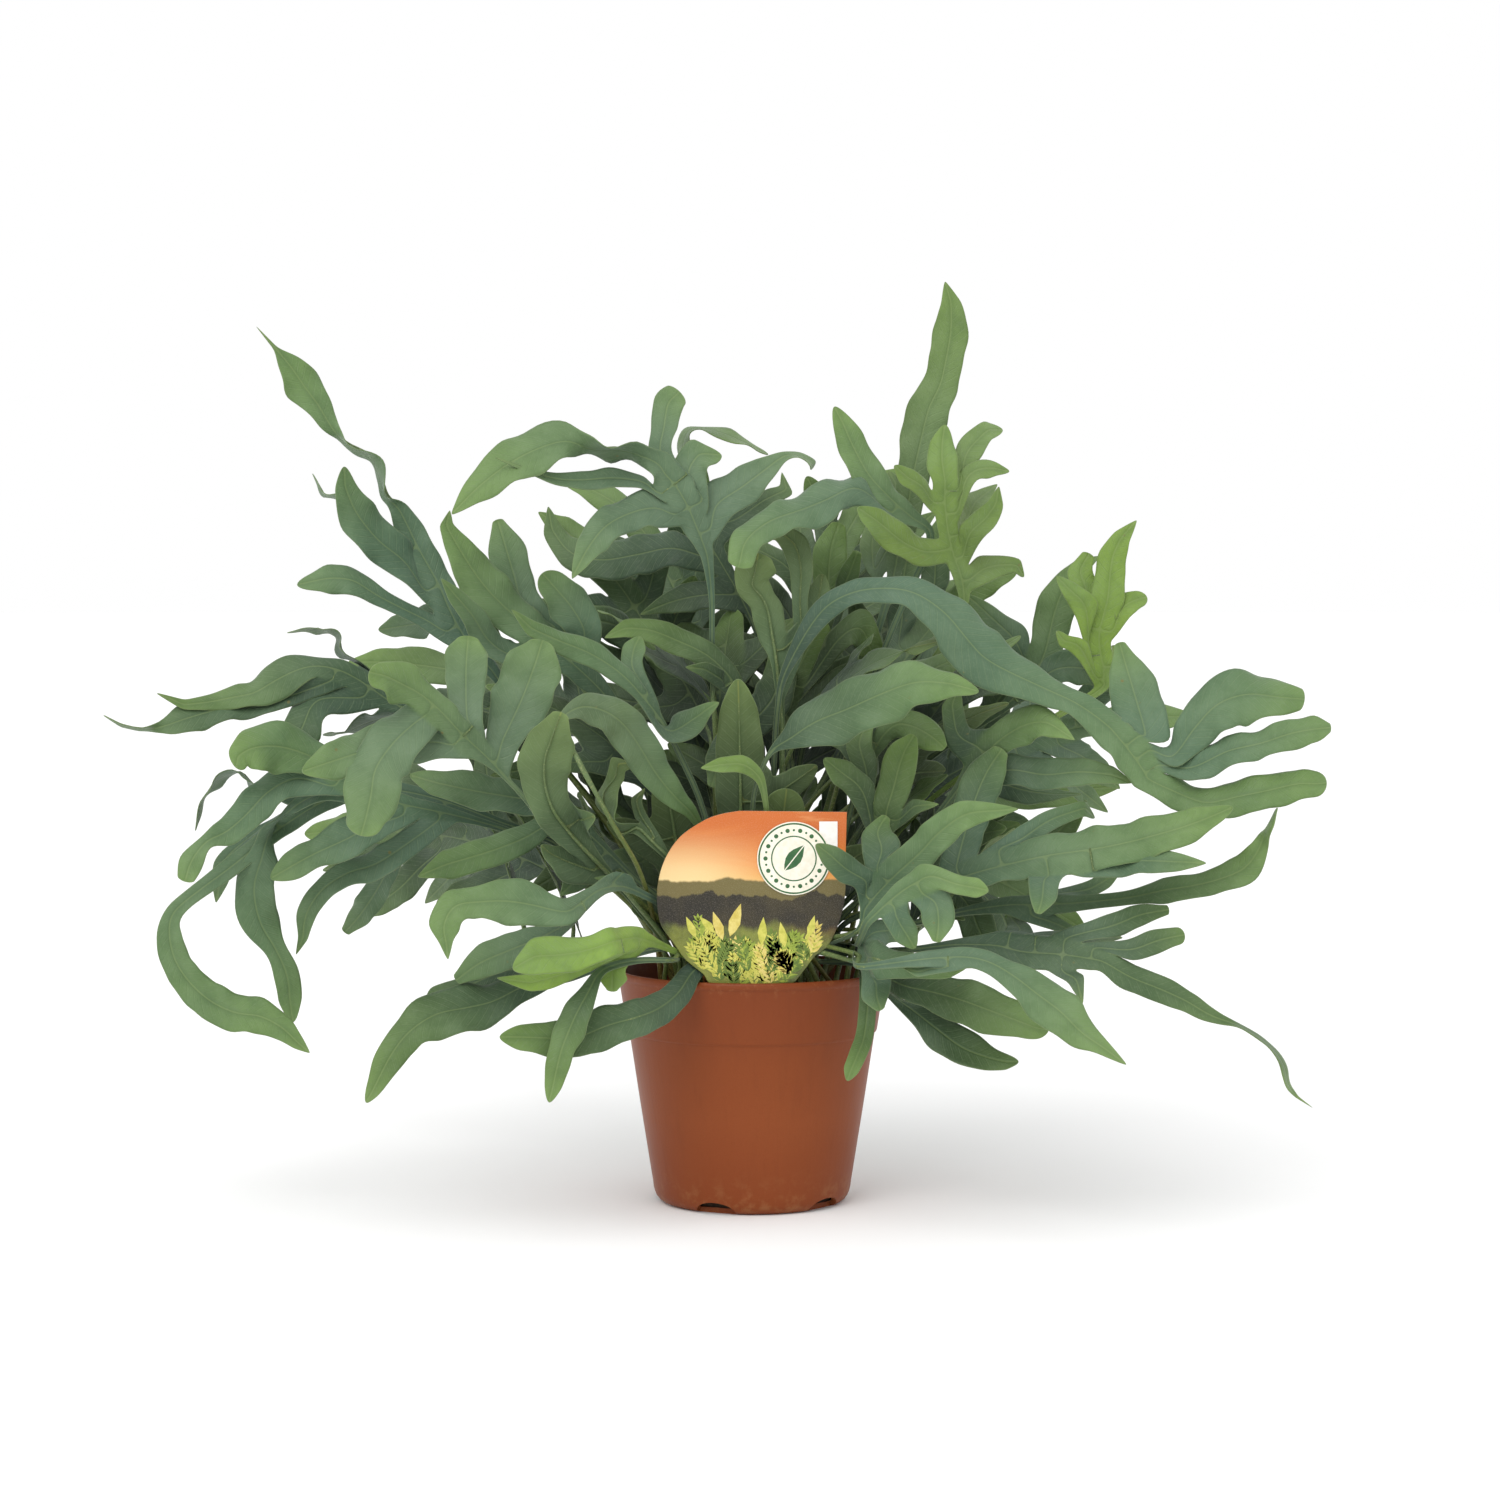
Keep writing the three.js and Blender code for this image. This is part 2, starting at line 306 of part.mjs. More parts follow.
    axis: [
      [-7, 0, 88.6, -1.34, 0.01, -0.12, 1.2], [-9.3, -1.1, 114, -1.31, 0.01, -0.08, 1.18], [-11, -1.1, 137, -1.28, 0, -0.1, 1.16],
      [-13.2, -0.7, 164.3, -1.21, 0, -0.1, 1.12], [-15.3, -0.6, 193.5, -1.14, 0, -0.08, 1.08], [-17, -1.8, 222.3, -1.07, 0.01, -0.05, 1.04],
      [-17.6, -5, 248.3, -1.32, 0, 0.01, 0.9], [-17.6, -8.4, 265.9, -1.31, -0.03, -0.06, 0.9], [-19.3, -11.8, 283.3, -2.56, -0.31, -0.55, 0.55],
      [-20.9, -12.9, 289.1, -3.55, -0.7, -1.23, 0.55], [-23, -14.1, 294.7, -4.77, -1.09, -1.93, 0.55], [-25.3, -15.3, 300.4, -5.67, -1.34, -2.37, 0.55],
      [-27.7, -16.4, 305.9, -6.08, -1.67, -2.95, 0.55], [-30.6, -17.6, 311.3, -6.18, -2.12, -3.72, 0.55], [-33.7, -18.8, 316.2, -5.78, -2.65, -4.59, 0.55],
      [-37.8, -20, 320.5, -4.94, -2.84, -4.89, 0.55], [-42.1, -21.3, 325.7, -2.46, -2.77, -4.63, 0.5], [-56.2, -25.2, 330.7, -1.08, 11.48, -2.94, 0.5],
      [-69, -29.1, 330.6, -1.09, 11.48, -2.95, 0.5], [-80, -33, 334.3, 0.37, -4.85, -7.92, 0.5], [-94.3, -38.2, 329.8, 4.14, -5.59, -9.28, 0.5],
      [-106, -43.2, 322.8, 5.02, -4.29, -7.23, 0.5], [-116.7, -48.5, 314.1, 4.49, -2.81, -4.8, 0.5],
    ],
    lobes: [
      { side: -1, at: 14, tip: [-31.7, 3.7, 357.4], rows: [
        [-39.7, -13, 329, 4.7, 0.64, 0.89], [-38.5, -6.3, 341.1, 5.65, -0.57, -0.8], [-36.9, 0.4, 351.9, 6.21, -1.73, -2.4],
        [-33.5, 3.7, 355.6, 4.11, -3.26, -4.21],
      ] },
      { side: -1, at: 12, tip: [-13.1, -8.9, 329.2], rows: [
        [-27.9, -13.9, 320.7, 8.14, -0.67, -1.61], [-23.2, -11.6, 329.5, 3.66, -2.85, -6.56],
      ] },
      { side: 1, at: 14, tip: [-109.8, -48.8, 326.8], rows: [
        [-47.3, -22.1, 317, -0.21, -1.63, -2.63], [-60.5, -26.6, 318.6, -0.04, -2.72, -4.39], [-73.2, -31.5, 317.6, 0.18, -2.44, -3.94],
        [-84.2, -36.1, 317.9, -0.36, -1.59, -2.58], [-95, -41.2, 321.1, -0.38, -0.75, -1.23],
      ] },
      { side: 1, at: 12, tip: [-76.3, -58.4, 275], rows: [
        [-41.6, -22.7, 305.8, 0.88, -4.99, -8.73], [-52.7, -29.6, 303.4, 2.61, -3.95, -6.97], [-62.7, -37.5, 297.7, 4.68, -3.17, -5.74],
        [-69.2, -45.4, 289.5, 4.97, -1.86, -3.45], [-73.2, -52.3, 281.8, 3.04, -0.85, -1.59],
      ] },
      { side: -1, at: 10, tip: [26.4, 0.9, 323.4], rows: [
        [-15.7, -11.9, 306.9, 6.48, -2.79, -5.93], [-4.8, -9.1, 314.8, 5.16, -3.4, -7.14], [5.2, -6.1, 322.3, 3.39, -2.19, -4.63],
        [14, -3.3, 328.9, 0.88, -0.98, -2.04], [20.2, -1.6, 329, -0.31, -4.92, -1.03], [26.4, 0.3, 325.6, -1.3, -5.73, -1.49],
      ] },
    ] },
  { name: 'frond_07', tint: 0.35, stalk: 6, tip: [7.6, 34, 330.8],
    axis: [
      [1.6, 12.3, 88.6, -1.33, -0.24, 0.08, 1.2], [2.2, 15.7, 114.2, -1.28, -0.28, 0.06, 1.18], [4.1, 19.3, 137.4, -1.23, -0.29, 0.19, 1.16],
      [7.4, 25.3, 165, -1.17, -0.27, 0.18, 1.12], [10.1, 30.1, 194.5, -1.11, -0.25, 0.1, 1.08], [9.6, 34.8, 222.9, -1.04, -0.23, -0.07, 1.04],
      [3.6, 39.4, 247.5, -1.24, -0.37, -0.55, 0.9], [-1.7, 41.6, 259.7, -1.39, -0.42, -0.62, 0.9], [-6.4, 43.3, 269.2, -1.92, -0.72, -1.05, 0.55],
      [-11.8, 45.2, 278.4, -3.13, -1.28, -1.87, 0.55], [-17.3, 47.8, 287.7, -4.11, -1.7, -2.5, 0.55], [-22.8, 50.9, 296.6, -4.71, -1.96, -2.89, 0.55],
      [-28.3, 54, 305.6, -4.64, -1.95, -2.88, 0.55], [-31.4, 50.8, 324.6, -2.44, 8.7, 0.1, 0.5], [-30.8, 47.3, 338.1, -1.9, 7.78, 0.79, 0.5],
      [-26.3, 45.3, 343.4, -0.54, 8.81, 2.16, 0.5], [-14.5, 41.8, 341.4, 0.42, 8.81, 2.12, 0.5], [-2.7, 37.8, 336.3, 0.76, 7.79, 1.95, 0.5],
    ],
    lobes: [
      { side: 1, at: 8, tip: [-51.3, 58.1, 258.7], rows: [
        [-21.3, 45.2, 267.9, 0.88, -3.42, -6.3], [-33.7, 49, 265.6, 1.67, -3.34, -6.16], [-44.3, 54.1, 261.9, 1.04, -1.37, -2.54],
      ] },
      { side: 1, at: 10, tip: [-95, 87.7, 309.1], rows: [
        [-36.5, 53, 289.2, 0.48, -4.76, -8.25], [-53.6, 60.6, 286.1, 1.67, -5.23, -9.08], [-70, 68.7, 283.9, -0.2, -5.07, -8.77],
        [-84.2, 75.6, 287.6, -3.52, -3.32, -5.9], [-92.8, 82, 297.9, -4.13, -1.07, -2.02],
      ] },
      { side: -1, at: 11, tip: [13.8, 70.6, 324.4], rows: [
        [-7.7, 56, 302, 1.86, -2.67, -3.72], [6, 62.5, 311.3, 2.05, -2.58, -3.63], [16.1, 67, 316, 3.13, -1.28, -1.94],
      ] },
    ] },
  { name: 'frond_08', tint: -0.1, stalk: 4, tip: [-130.9, -23.4, 304.9],
    axis: [
      [-15, -10, 88.6, -1.27, -0.34, -0.32, 1.2], [-21.6, -9.6, 114, -1.25, -0.34, -0.22, 1.18], [-26.8, -8.6, 138, -1.16, -0.3, -0.28, 1.13],
      [-34.8, -7.4, 166, -1.03, -0.28, -0.33, 1.07], [-44.8, -8, 191.2, -1.17, -0.34, -0.56, 0.9], [-53.5, -9.7, 208.9, -1.49, -0.52, -0.88, 0.9],
      [-64.4, -11.3, 224.3, -2.96, -1.5, -2.49, 0.55], [-74.2, -12.5, 234.3, -3.87, -2.65, -4.35, 0.55], [-79.7, -13.1, 239, -3.9, -3.15, -5.12, 0.55],
      [-85.3, -13.8, 243.4, -4.2, -3.26, -5.33, 0.55], [-90.7, -14.4, 248.1, -4.58, -3.26, -5.37, 0.55], [-96, -15, 252.8, -4.68, -3.36, -5.54, 0.55],
      [-105.5, -16.1, 260.7, -5.61, -3.87, -6.41, 0.5], [-115, -17.7, 270.2, -7.28, -3.89, -6.56, 0.5], [-122.6, -19.4, 280.7, -6.62, -2.71, -4.66, 0.5],
      [-128.5, -21.1, 290.6, -4.37, -1.53, -2.64, 0.5], [-132.7, -22.4, 298.4, -2.96, -0.31, -0.55, 0.5],
    ],
    lobes: [
      { side: -1, at: 10, tip: [-112.6, 6.6, 301.4], rows: [
        [-99.9, -9.3, 263.7, 7.05, 1.87, 3.28], [-104.6, -4, 276.8, 7.45, 1.34, 2.39], [-108.9, 1.8, 290, 7.51, 1.29, 2.3],
        [-112.3, 6.6, 300.2, 2.51, 0.43, 0.78],
      ] },
      { side: -1, at: 8, tip: [-91, -25.1, 277.6], rows: [
        [-72.9, -15.9, 251.9, 7.85, -0.18, -0.32], [-78.3, -19, 262.4, 7.76, 3.16, 5.37], [-85.5, -22.4, 271.1, 5.13, 2.68, 4.51],
      ] },
      { side: 1, at: 10, tip: [-133.3, -41.4, 275.4], rows: [
        [-105.4, -19.4, 242, 0.21, -4.59, -6], [-114.5, -24.3, 248.6, -3.9, -2.69, -3.84], [-120.9, -30.4, 259.5, -4.02, -2.08, -3.04],
        [-127.7, -36.2, 268.1, -2.51, -1.51, -2.2],
      ] },
    ] },
  { name: 'frond_09', tint: 0.1, stalk: 2, tip: [-77.7, -115.4, 220.7],
    axis: [
      [-30.5, -24.8, 88.6, -1.06, -0.76, -0.34, 1.2], [-35.4, -29.7, 114, -1.06, -0.75, -0.23, 1.18], [-51.7, -46.1, 137.4, -0.89, -0.61, -0.86, 0.9],
      [-58.5, -50.9, 145.5, -1.27, -0.88, -1.24, 0.9], [-65, -59.4, 153.5, -2.14, -1.34, -1.91, 0.55], [-71.8, -69.3, 161.9, -3.88, -2.23, -3.22, 0.55],
      [-77.9, -79.4, 170.5, -5.6, -2.68, -3.94, 0.55], [-83, -90.2, 179.1, -6.63, -3.11, -4.59, 0.55], [-85.6, -96.2, 189.9, -9.39, -0.82, -1.27, 0.5],
      [-85.2, -103.6, 200.6, -11.08, 1.02, 1.59, 0.5], [-81.9, -110.2, 209.9, -8.66, 1.84, 2.84, 0.5], [-78.3, -115.6, 219.2, -3.5, 0.79, 1.23, 0.5],
    ],
    lobes: [
      { side: 1, at: 4, tip: [-88.6, -77.5, 163.5], rows: [
        [-77.6, -66.8, 155.5, -1.79, -6.37, -7.67], [-85.3, -73.6, 159.9, -1.72, -2.1, -2.65],
      ] },
      { side: -1, at: 6, tip: [-65, -93.5, 176.8], rows: [
        [-70.6, -86.1, 174.7, 2.08, -2.41, -4.43],
      ] },
    ] },
  { name: 'frond_10', tint: -0.45, stalk: 6, tip: [-19.2, -29.3, 162.9],
    axis: [
      [-38.9, -19.1, 88.6, -1.19, -0.59, -0.26, 1.2], [-40.9, -27, 113.9, -1.18, -0.55, -0.17, 1.18], [-43.5, -38.7, 133.2, -1.04, -0.36, -0.65, 1.16],
      [-48.5, -65.4, 153.4, -0.96, -0.23, -0.7, 1.12], [-57.6, -94.4, 173.4, -0.88, -0.2, -0.69, 1.08], [-66.6, -109.1, 192, -0.83, -0.27, -0.61, 1.04],
      [-75.5, -105, 208.9, -0.54, -0.19, -0.34, 0.9], [-79.7, -98.7, 216, -1.19, 0.19, 0.34, 0.9], [-71.7, -91.2, 221.9, -1.23, 2.6, 4.32, 0.55],
      [-62.3, -84.4, 220.4, 2.42, 4.11, 6.87, 0.55], [-54, -77, 214.3, 5.67, 3.41, 5.91, 0.55], [-47.1, -67.7, 203.8, 6.95, 2.57, 4.54, 0.55],
      [-40.7, -57.5, 192.2, 5.83, 2.31, 4.05, 0.55], [-32.9, -47.2, 181.8, 3.66, 2, 3.44, 0.55], [-26.6, -40.2, 175.3, 2.29, 1.08, 1.86, 0.55],
    ],
    lobes: [
    ] },
  { name: 'frond_11', tint: -0.1, stalk: 4, tip: [-101.9, -61.8, 262.3],
    axis: [
      [-10.1, -33.8, 88.6, -1.3, -0.35, -0.12, 1.2], [-12.9, -32.6, 114, -1.27, -0.35, -0.08, 1.18], [-14.1, -30.5, 134.3, -1.2, -0.29, -0.05, 1.13],
      [-16.8, -27.9, 158, -1.07, -0.28, -0.16, 1.07], [-22.6, -28, 179.3, -1.18, -0.35, -0.51, 0.9], [-30.3, -30.6, 196.8, -1.16, -0.37, -0.55, 0.9],
      [-35.3, -32.1, 207, -1.06, -0.37, -0.55, 0.9], [-40.7, -33.6, 216.1, -1.21, -0.59, -0.85, 0.9], [-47, -35, 224, -2.1, -1.16, -1.67, 0.55],
      [-53.8, -36.3, 231.9, -2.63, -1.99, -2.81, 0.55], [-62, -37.4, 238.5, -3.06, -2.87, -4, 0.55], [-71.7, -41.2, 244.2, -2.24, -3.65, -4.95, 0.5],
      [-82.1, -46.3, 248.5, -1.63, -3.17, -4.28, 0.5], [-93.6, -53.6, 253.8, -1.74, -2.03, -2.81, 0.5],
    ],
    lobes: [
      { side: -1, at: 8, tip: [-48.7, -20, 250.3], rows: [
        [-51.9, -28.8, 236.6, 4.66, 0.56, 0.84], [-51.2, -23.7, 245.1, 5.08, -0.82, -1.25],
      ] },
      { side: 1, at: 7, tip: [-14.1, -51.6, 222.6], rows: [
        [-35.3, -36.9, 209.2, 0.58, 4.84, 5.35], [-25.8, -42.8, 214.6, -2.98, 3.91, 4.59], [-18.4, -48.3, 220, -1.44, 1.74, 2.07],
      ] },
    ] },
  { name: 'frond_12', tint: 0.2, stalk: 4, tip: [-64.4, -21.2, 249.4],
    axis: [
      [-0.7, -12.7, 88.6, -1.35, -0.04, 0.01, 1.2], [-0.5, -9.9, 114, -1.31, -0.04, 0.01, 1.18], [0.1, -5.7, 138.8, -1.23, -0.02, 0.04, 1.13],
      [0.7, -0.3, 168, -1.12, -0.03, 0.01, 1.07], [0, 0, 195.2, -1.32, -0.05, -0.12, 0.9], [-0.6, -1.3, 202.8, -1.44, -0.05, -0.1, 0.9],
      [-1.6, -3.1, 212.2, -1.68, -0.13, -0.3, 0.9], [-4.2, -4.8, 221.7, -2.61, -0.42, -0.96, 0.55], [-8.4, -6.5, 230.1, -3.47, -1.02, -2.31, 0.55],
      [-14.5, -8.3, 237.3, -3.63, -1.76, -3.95, 0.55], [-21.9, -10, 243.1, -3.45, -2, -4.47, 0.55], [-33.3, -12.4, 248.4, -2.34, -2.54, -5.59, 0.5],
      [-44.5, -15.3, 252.8, -1.14, -2.31, -5.06, 0.5], [-55.3, -18.3, 253.7, 0.73, -1.75, -3.84, 0.5],
    ],
    lobes: [
      { side: 1, at: 8, tip: [-29, -27.5, 237], rows: [
        [-13.2, -9.6, 230.8, -1.55, -1.16, -3.59], [-20.9, -18.3, 235.9, -1.14, -1.05, -3.26],
      ] },
      { side: -1, at: 6, tip: [9.5, 11.9, 244.7], rows: [
        [8.8, 1.4, 221.7, 7.44, -2.07, -4.67], [12.4, 7, 233.9, 7.08, -0.12, -0.28], [9.8, 11.9, 243.6, 2.57, 0.3, 0.7],
      ] },
      { side: 1, at: 6, tip: [-17.7, -24.1, 184.7], rows: [
        [-7.5, -7.4, 205.3, 6.47, -2.25, -4.46], [-14, -15.8, 195.2, 6.29, -1.5, -3], [-17.4, -24.1, 185.6, 2.06, -0.35, -0.69],
      ] },
    ] },
  { name: 'frond_13', tint: 0.1, stalk: 2, tip: [-139, -93.9, 151.5],
    axis: [
      [-26.2, -31, 88.6, -1.17, -0.65, -0.17, 1.2], [-28.9, -31.7, 113.8, -1.15, -0.63, -0.11, 1.18], [-37.2, -32.3, 134, -0.81, -0.43, -0.96, 0.9],
      [-49.9, -36.2, 145.2, -0.86, -0.41, -0.91, 0.9], [-56.3, -38.6, 151.7, -1.14, -0.48, -1.09, 0.9], [-62.5, -40.6, 158, -1.42, -0.64, -1.45, 0.55],
      [-69.1, -42.3, 164.5, -1.81, -0.87, -1.97, 0.55], [-75.8, -45.2, 169.5, -1.42, -1.52, -3.37, 0.55], [-83.8, -49, 172.1, -1.44, -2.32, -5.13, 0.55],
      [-96.6, -57.5, 165, 2.63, -2.33, -5.19, 0.5], [-112.3, -73.7, 159.9, 2.32, -2.79, -6.16, 0.5], [-127.3, -85.5, 156.2, 2.29, -2.57, -5.7, 0.5],
    ],
    lobes: [
      { side: -1, at: 7, tip: [-147.3, -41.7, 190.9], rows: [
        [-88.7, -45.5, 179.1, 2.15, 3.2, 5.28], [-104.5, -46.4, 181.8, 0.93, 4.23, 6.89], [-121.6, -46.8, 184.8, 1.13, 4.46, 7.29],
        [-135.5, -44.8, 187.7, 1.1, 3.18, 5.22],
      ] },
      { side: 1, at: 5, tip: [-81.4, -63.1, 140.8], rows: [
        [-69.4, -43.6, 151.9, 4.73, -2.73, -4.79], [-75.6, -51.1, 146.5, 3.99, -2.11, -3.72],
      ] },
    ] },
  { name: 'frond_14', tint: -0.15, stalk: 2, tip: [-123.6, -124, 120.3],
    axis: [
      [-22.1, -37.6, 88.6, -1.25, -0.51, -0.08, 1.2], [-23.8, -40.4, 114.5, -1.2, -0.53, -0.05, 1.18], [-32.8, -36.3, 130.1, -0.8, -0.42, -0.98, 0.9],
      [-50.2, -60.2, 143.1, -0.53, -0.74, -1.67, 0.9], [-58.5, -71.6, 145.6, 0.01, -0.98, -2.21, 0.55], [-65.1, -81.4, 144.3, 1.6, -1.06, -2.44, 0.55],
      [-70.8, -91.5, 140.7, 2.05, -1.53, -3.51, 0.55], [-77, -102, 137.7, 3.07, -2.28, -5.23, 0.55], [-88.3, -104.5, 140.4, -1.34, -3.44, -7.79, 0.5],
      [-100.3, -108, 142.8, -0.41, -4.19, -9.48, 0.5], [-111.5, -111.7, 142.8, 0.81, -2.77, -6.29, 0.5], [-121.4, -115.3, 141.5, 3.93, -2.44, -5.64, 0.5],
      [-125.7, -118.5, 134, 6.38, -0.63, -1.52, 0.5], [-124.6, -121.2, 127.3, 2.82, 0.13, 0.31, 0.5],
    ],
    lobes: [
      { side: 1, at: 6, tip: [-125.5, -66, 105.1], rows: [
        [-86.9, -84.4, 126, 2.78, -1.2, -4.1], [-101.8, -77.6, 119.3, 2.85, -1.89, -6.42], [-114.8, -71.4, 113.2, 3.4, -1.68, -5.73],
        [-124.6, -66, 105.8, 1.54, -0.58, -2],
      ] },
      { side: -1, at: 4, tip: [-67.2, -60.6, 148.2], rows: [
        [-54.3, -68.7, 151.5, 2.39, -0.25, -0.87], [-57.9, -66.8, 147.9, -0.52, 0.72, 2.44],
      ] },
    ] },
  { name: 'frond_15', tint: -1, stalk: 2, tip: [-97.4, -127.6, 117],
    axis: [
      [-29.6, -37.8, 88.6, -0.63, -1.19, -0.08, 1.2], [-28.7, -35, 110.3, -0.65, -1.14, -0.05, 1.18], [-26.8, -40.6, 111.8, -0.42, -0.64, -0.91, 0.9],
      [-39, -66.8, 120.3, -0.56, -1.03, -1.48, 0.9], [-43.2, -78.5, 123.2, -0.88, -1.85, -2.64, 0.55], [-46.7, -86.8, 125.1, -0.74, -2.85, -4.03, 0.55],
      [-50.3, -94.2, 126.1, 0.48, -3.49, -4.91, 0.55], [-54, -101.1, 126.1, 1.45, -3.56, -5.05, 0.55], [-57.6, -108, 125.9, 1.32, -3.72, -5.26, 0.55],
      [-67.3, -111.5, 123, 1.67, -3.92, -5.57, 0.5], [-78.5, -116.8, 121.5, 1.14, -5.1, -7.18, 0.5], [-88.4, -121.9, 121.7, 2.32, -4.61, -6.55, 0.5],
    ],
    lobes: [
      { side: 1, at: 5, tip: [-58.2, -96.4, 104], rows: [
        [-57.5, -91.8, 115.9, 4.5, -1.45, -2.93], [-57.8, -94.5, 109.5, 6.22, -0.21, -0.44], [-58.1, -96.4, 105.1, 2.48, -0.1, -0.21],
      ] },
      { side: 1, at: 7, tip: [-107.2, -83.2, 108.2], rows: [
        [-79.8, -93.2, 110.6, 1.71, -2.08, -3.16], [-92.6, -88.6, 106.7, 0.32, -2.36, -3.49],
      ] },
    ] },
  { name: 'frond_16', tint: 0.3, stalk: 2, tip: [-161.3, -88.4, 56.3],
    axis: [
      [-39.5, -26.6, 88.6, 0.47, -1.25, -0.19, 1.2], [-37.1, -33.6, 112.5, 0.47, -1.22, -0.12, 1.18], [-39.9, -48.3, 116.9, 0.33, -0.81, -1.17, 0.9],
      [-56.7, -53.2, 113.2, 0.49, -1.07, -1.54, 0.9], [-70.3, -57.2, 109.5, 0.98, -1.92, -2.77, 0.55], [-78.6, -60.1, 107.5, 1.03, -2.38, -3.42, 0.55],
      [-86.6, -63.3, 105.9, 1.16, -2.67, -3.83, 0.55], [-98.4, -65.3, 101.9, 2.54, -3.48, -5.07, 0.5], [-109.2, -68, 96.6, 3.25, -5.09, -7.36, 0.5],
      [-121.2, -71.1, 94, 2.71, -6.39, -9.14, 0.5], [-133.2, -74.3, 91.9, 4.41, -5.94, -8.62, 0.5], [-143.8, -77.9, 85.2, 5.33, -3.47, -5.24, 0.5],
      [-150.7, -81.1, 76.8, 5.42, -2.08, -3.25, 0.5], [-155.4, -84.2, 67.9, 4.59, -1.37, -2.15, 0.5], [-158.9, -86.8, 60.7, 2.68, -0.78, -1.23, 0.5],
    ],
    lobes: [
      { side: -1, at: 5, tip: [-140.2, -41.8, 85.9], rows: [
        [-103.3, -54.6, 108.3, -0.64, 2.68, 3.53], [-120.9, -49.4, 101.2, -1.82, 2.73, 3.67], [-135.9, -44.3, 94.2, -3.3, 2.76, 3.83],
        [-139.7, -41.8, 86.9, -2.38, 0.72, 1.07],
      ] },
    ] },
  { name: 'frond_17', tint: 0.25, stalk: 2, tip: [-103.7, -114.8, 87.6],
    axis: [
      [-15.1, -40.3, 88.6, 0.03, -1.35, -0.05, 1.2], [-15, -38.4, 109.1, 0.03, -1.31, -0.03, 1.18], [-14.7, -41, 111.1, 0.01, -0.59, -1.23, 0.9],
      [-24.8, -52.6, 108.1, 3.09, -1.31, -2.82, 0.55], [-30.9, -67.8, 100.4, 4.45, -1.74, -3.74, 0.55], [-39.4, -82.5, 95.1, 3.56, -2.8, -5.88, 0.55],
      [-49.1, -95.2, 92.9, 2.71, -3.39, -7.05, 0.55], [-60.6, -98.2, 90, 2.98, -3.75, -7.78, 0.5], [-72.8, -102.6, 85.5, 1.7, -3.52, -7.27, 0.5],
      [-84.9, -107.1, 86.2, 0.05, -3.21, -6.61, 0.5], [-95.3, -111.3, 87.1, 0.04, -2.45, -5.04, 0.5],
    ],
    lobes: [
    ] },
  { name: 'frond_18', tint: 0.25, stalk: 2, tip: [-83, -119.6, 61.1],
    axis: [
      [-33.8, -31.6, 88.6, -0.1, -1.3, -0.34, 1.2], [-30.8, -38.2, 111.4, -0.14, -1.29, -0.22, 1.18], [-32.9, -77, 114.9, -0.16, -0.75, -0.96, 0.9],
      [-45.4, -86.9, 116.2, 0.02, -0.91, -1.16, 0.9], [-56.8, -94.8, 115, 0.71, -1.07, -1.41, 0.9], [-63.4, -99.4, 112, 1.76, -0.74, -1.06, 0.55],
      [-67.4, -105.3, 105.1, 3.44, -0.95, -1.38, 0.55], [-71.4, -111.2, 98.2, 5.2, -1.66, -2.4, 0.55], [-74.7, -112.4, 91, 6.13, -1.62, -2.35, 0.5],
      [-77.9, -114.2, 83, 5.12, -1.04, -1.51, 0.5], [-79.9, -116, 75, 4.82, -0.71, -1.04, 0.5], [-81.4, -117.8, 67.9, 3.61, -0.51, -0.75, 0.5],
    ],
    lobes: [
    ] },
  { name: 'frond_19', tint: -0.1, stalk: 6, tip: [36.2, 8.4, 351.4],
    axis: [
      [8.7, 9, 88.6, -1.21, 0.33, 0.51, 1.2], [19.3, 8.8, 114, -1.22, 0.33, 0.35, 1.18], [25.1, 9, 135.6, -1.2, 0.32, 0.32, 1.16],
      [32, 9.5, 161.2, -1.13, 0.3, 0.3, 1.12], [39.7, 9.8, 188.6, -1.06, 0.28, 0.31, 1.08], [48, 9.4, 215.3, -0.98, 0.27, 0.33, 1.04],
      [56.7, 8, 239.2, -1.22, 0.34, 0.5, 0.9], [67.6, 5.4, 265.8, -1.2, 0.35, 0.52, 0.9], [79.4, 2.7, 293.1, -1.76, -0.01, -0.01, 0.9],
      [71, 1.6, 301.5, -2.13, -1.95, -2.79, 0.55], [64.3, 0.8, 307.2, -3.22, -2.45, -3.57, 0.55], [58.1, 0, 313.3, -3.85, -2.55, -3.76, 0.55],
      [51.1, 1.5, 321.2, -5.91, -2.67, -4.04, 0.5], [44.9, 4, 332.7, -5.97, -1.95, -3.03, 0.5], [40.6, 6.2, 342.5, -4.42, -1.38, -2.14, 0.5],
    ],
    lobes: [
      { side: 1, at: 10, tip: [-5.9, -44.2, 279.8], rows: [
        [46.4, -6.3, 314.9, -0.68, -6.22, -6.27], [32.2, -13.9, 309.4, 2.95, -8, -8.32], [19.9, -21.3, 304.5, 2.52, -6.79, -7.02],
        [6.9, -29.7, 299.6, 3.21, -5.33, -5.69], [-2.6, -37.9, 291.3, 5.63, -3.37, -3.97], [-5.2, -44.2, 282.2, 5.35, -1.24, -1.53],
      ] },
    ] },
  { name: 'frond_20', tint: -0.75, stalk: 5, tip: [84.9, 1, 343.1],
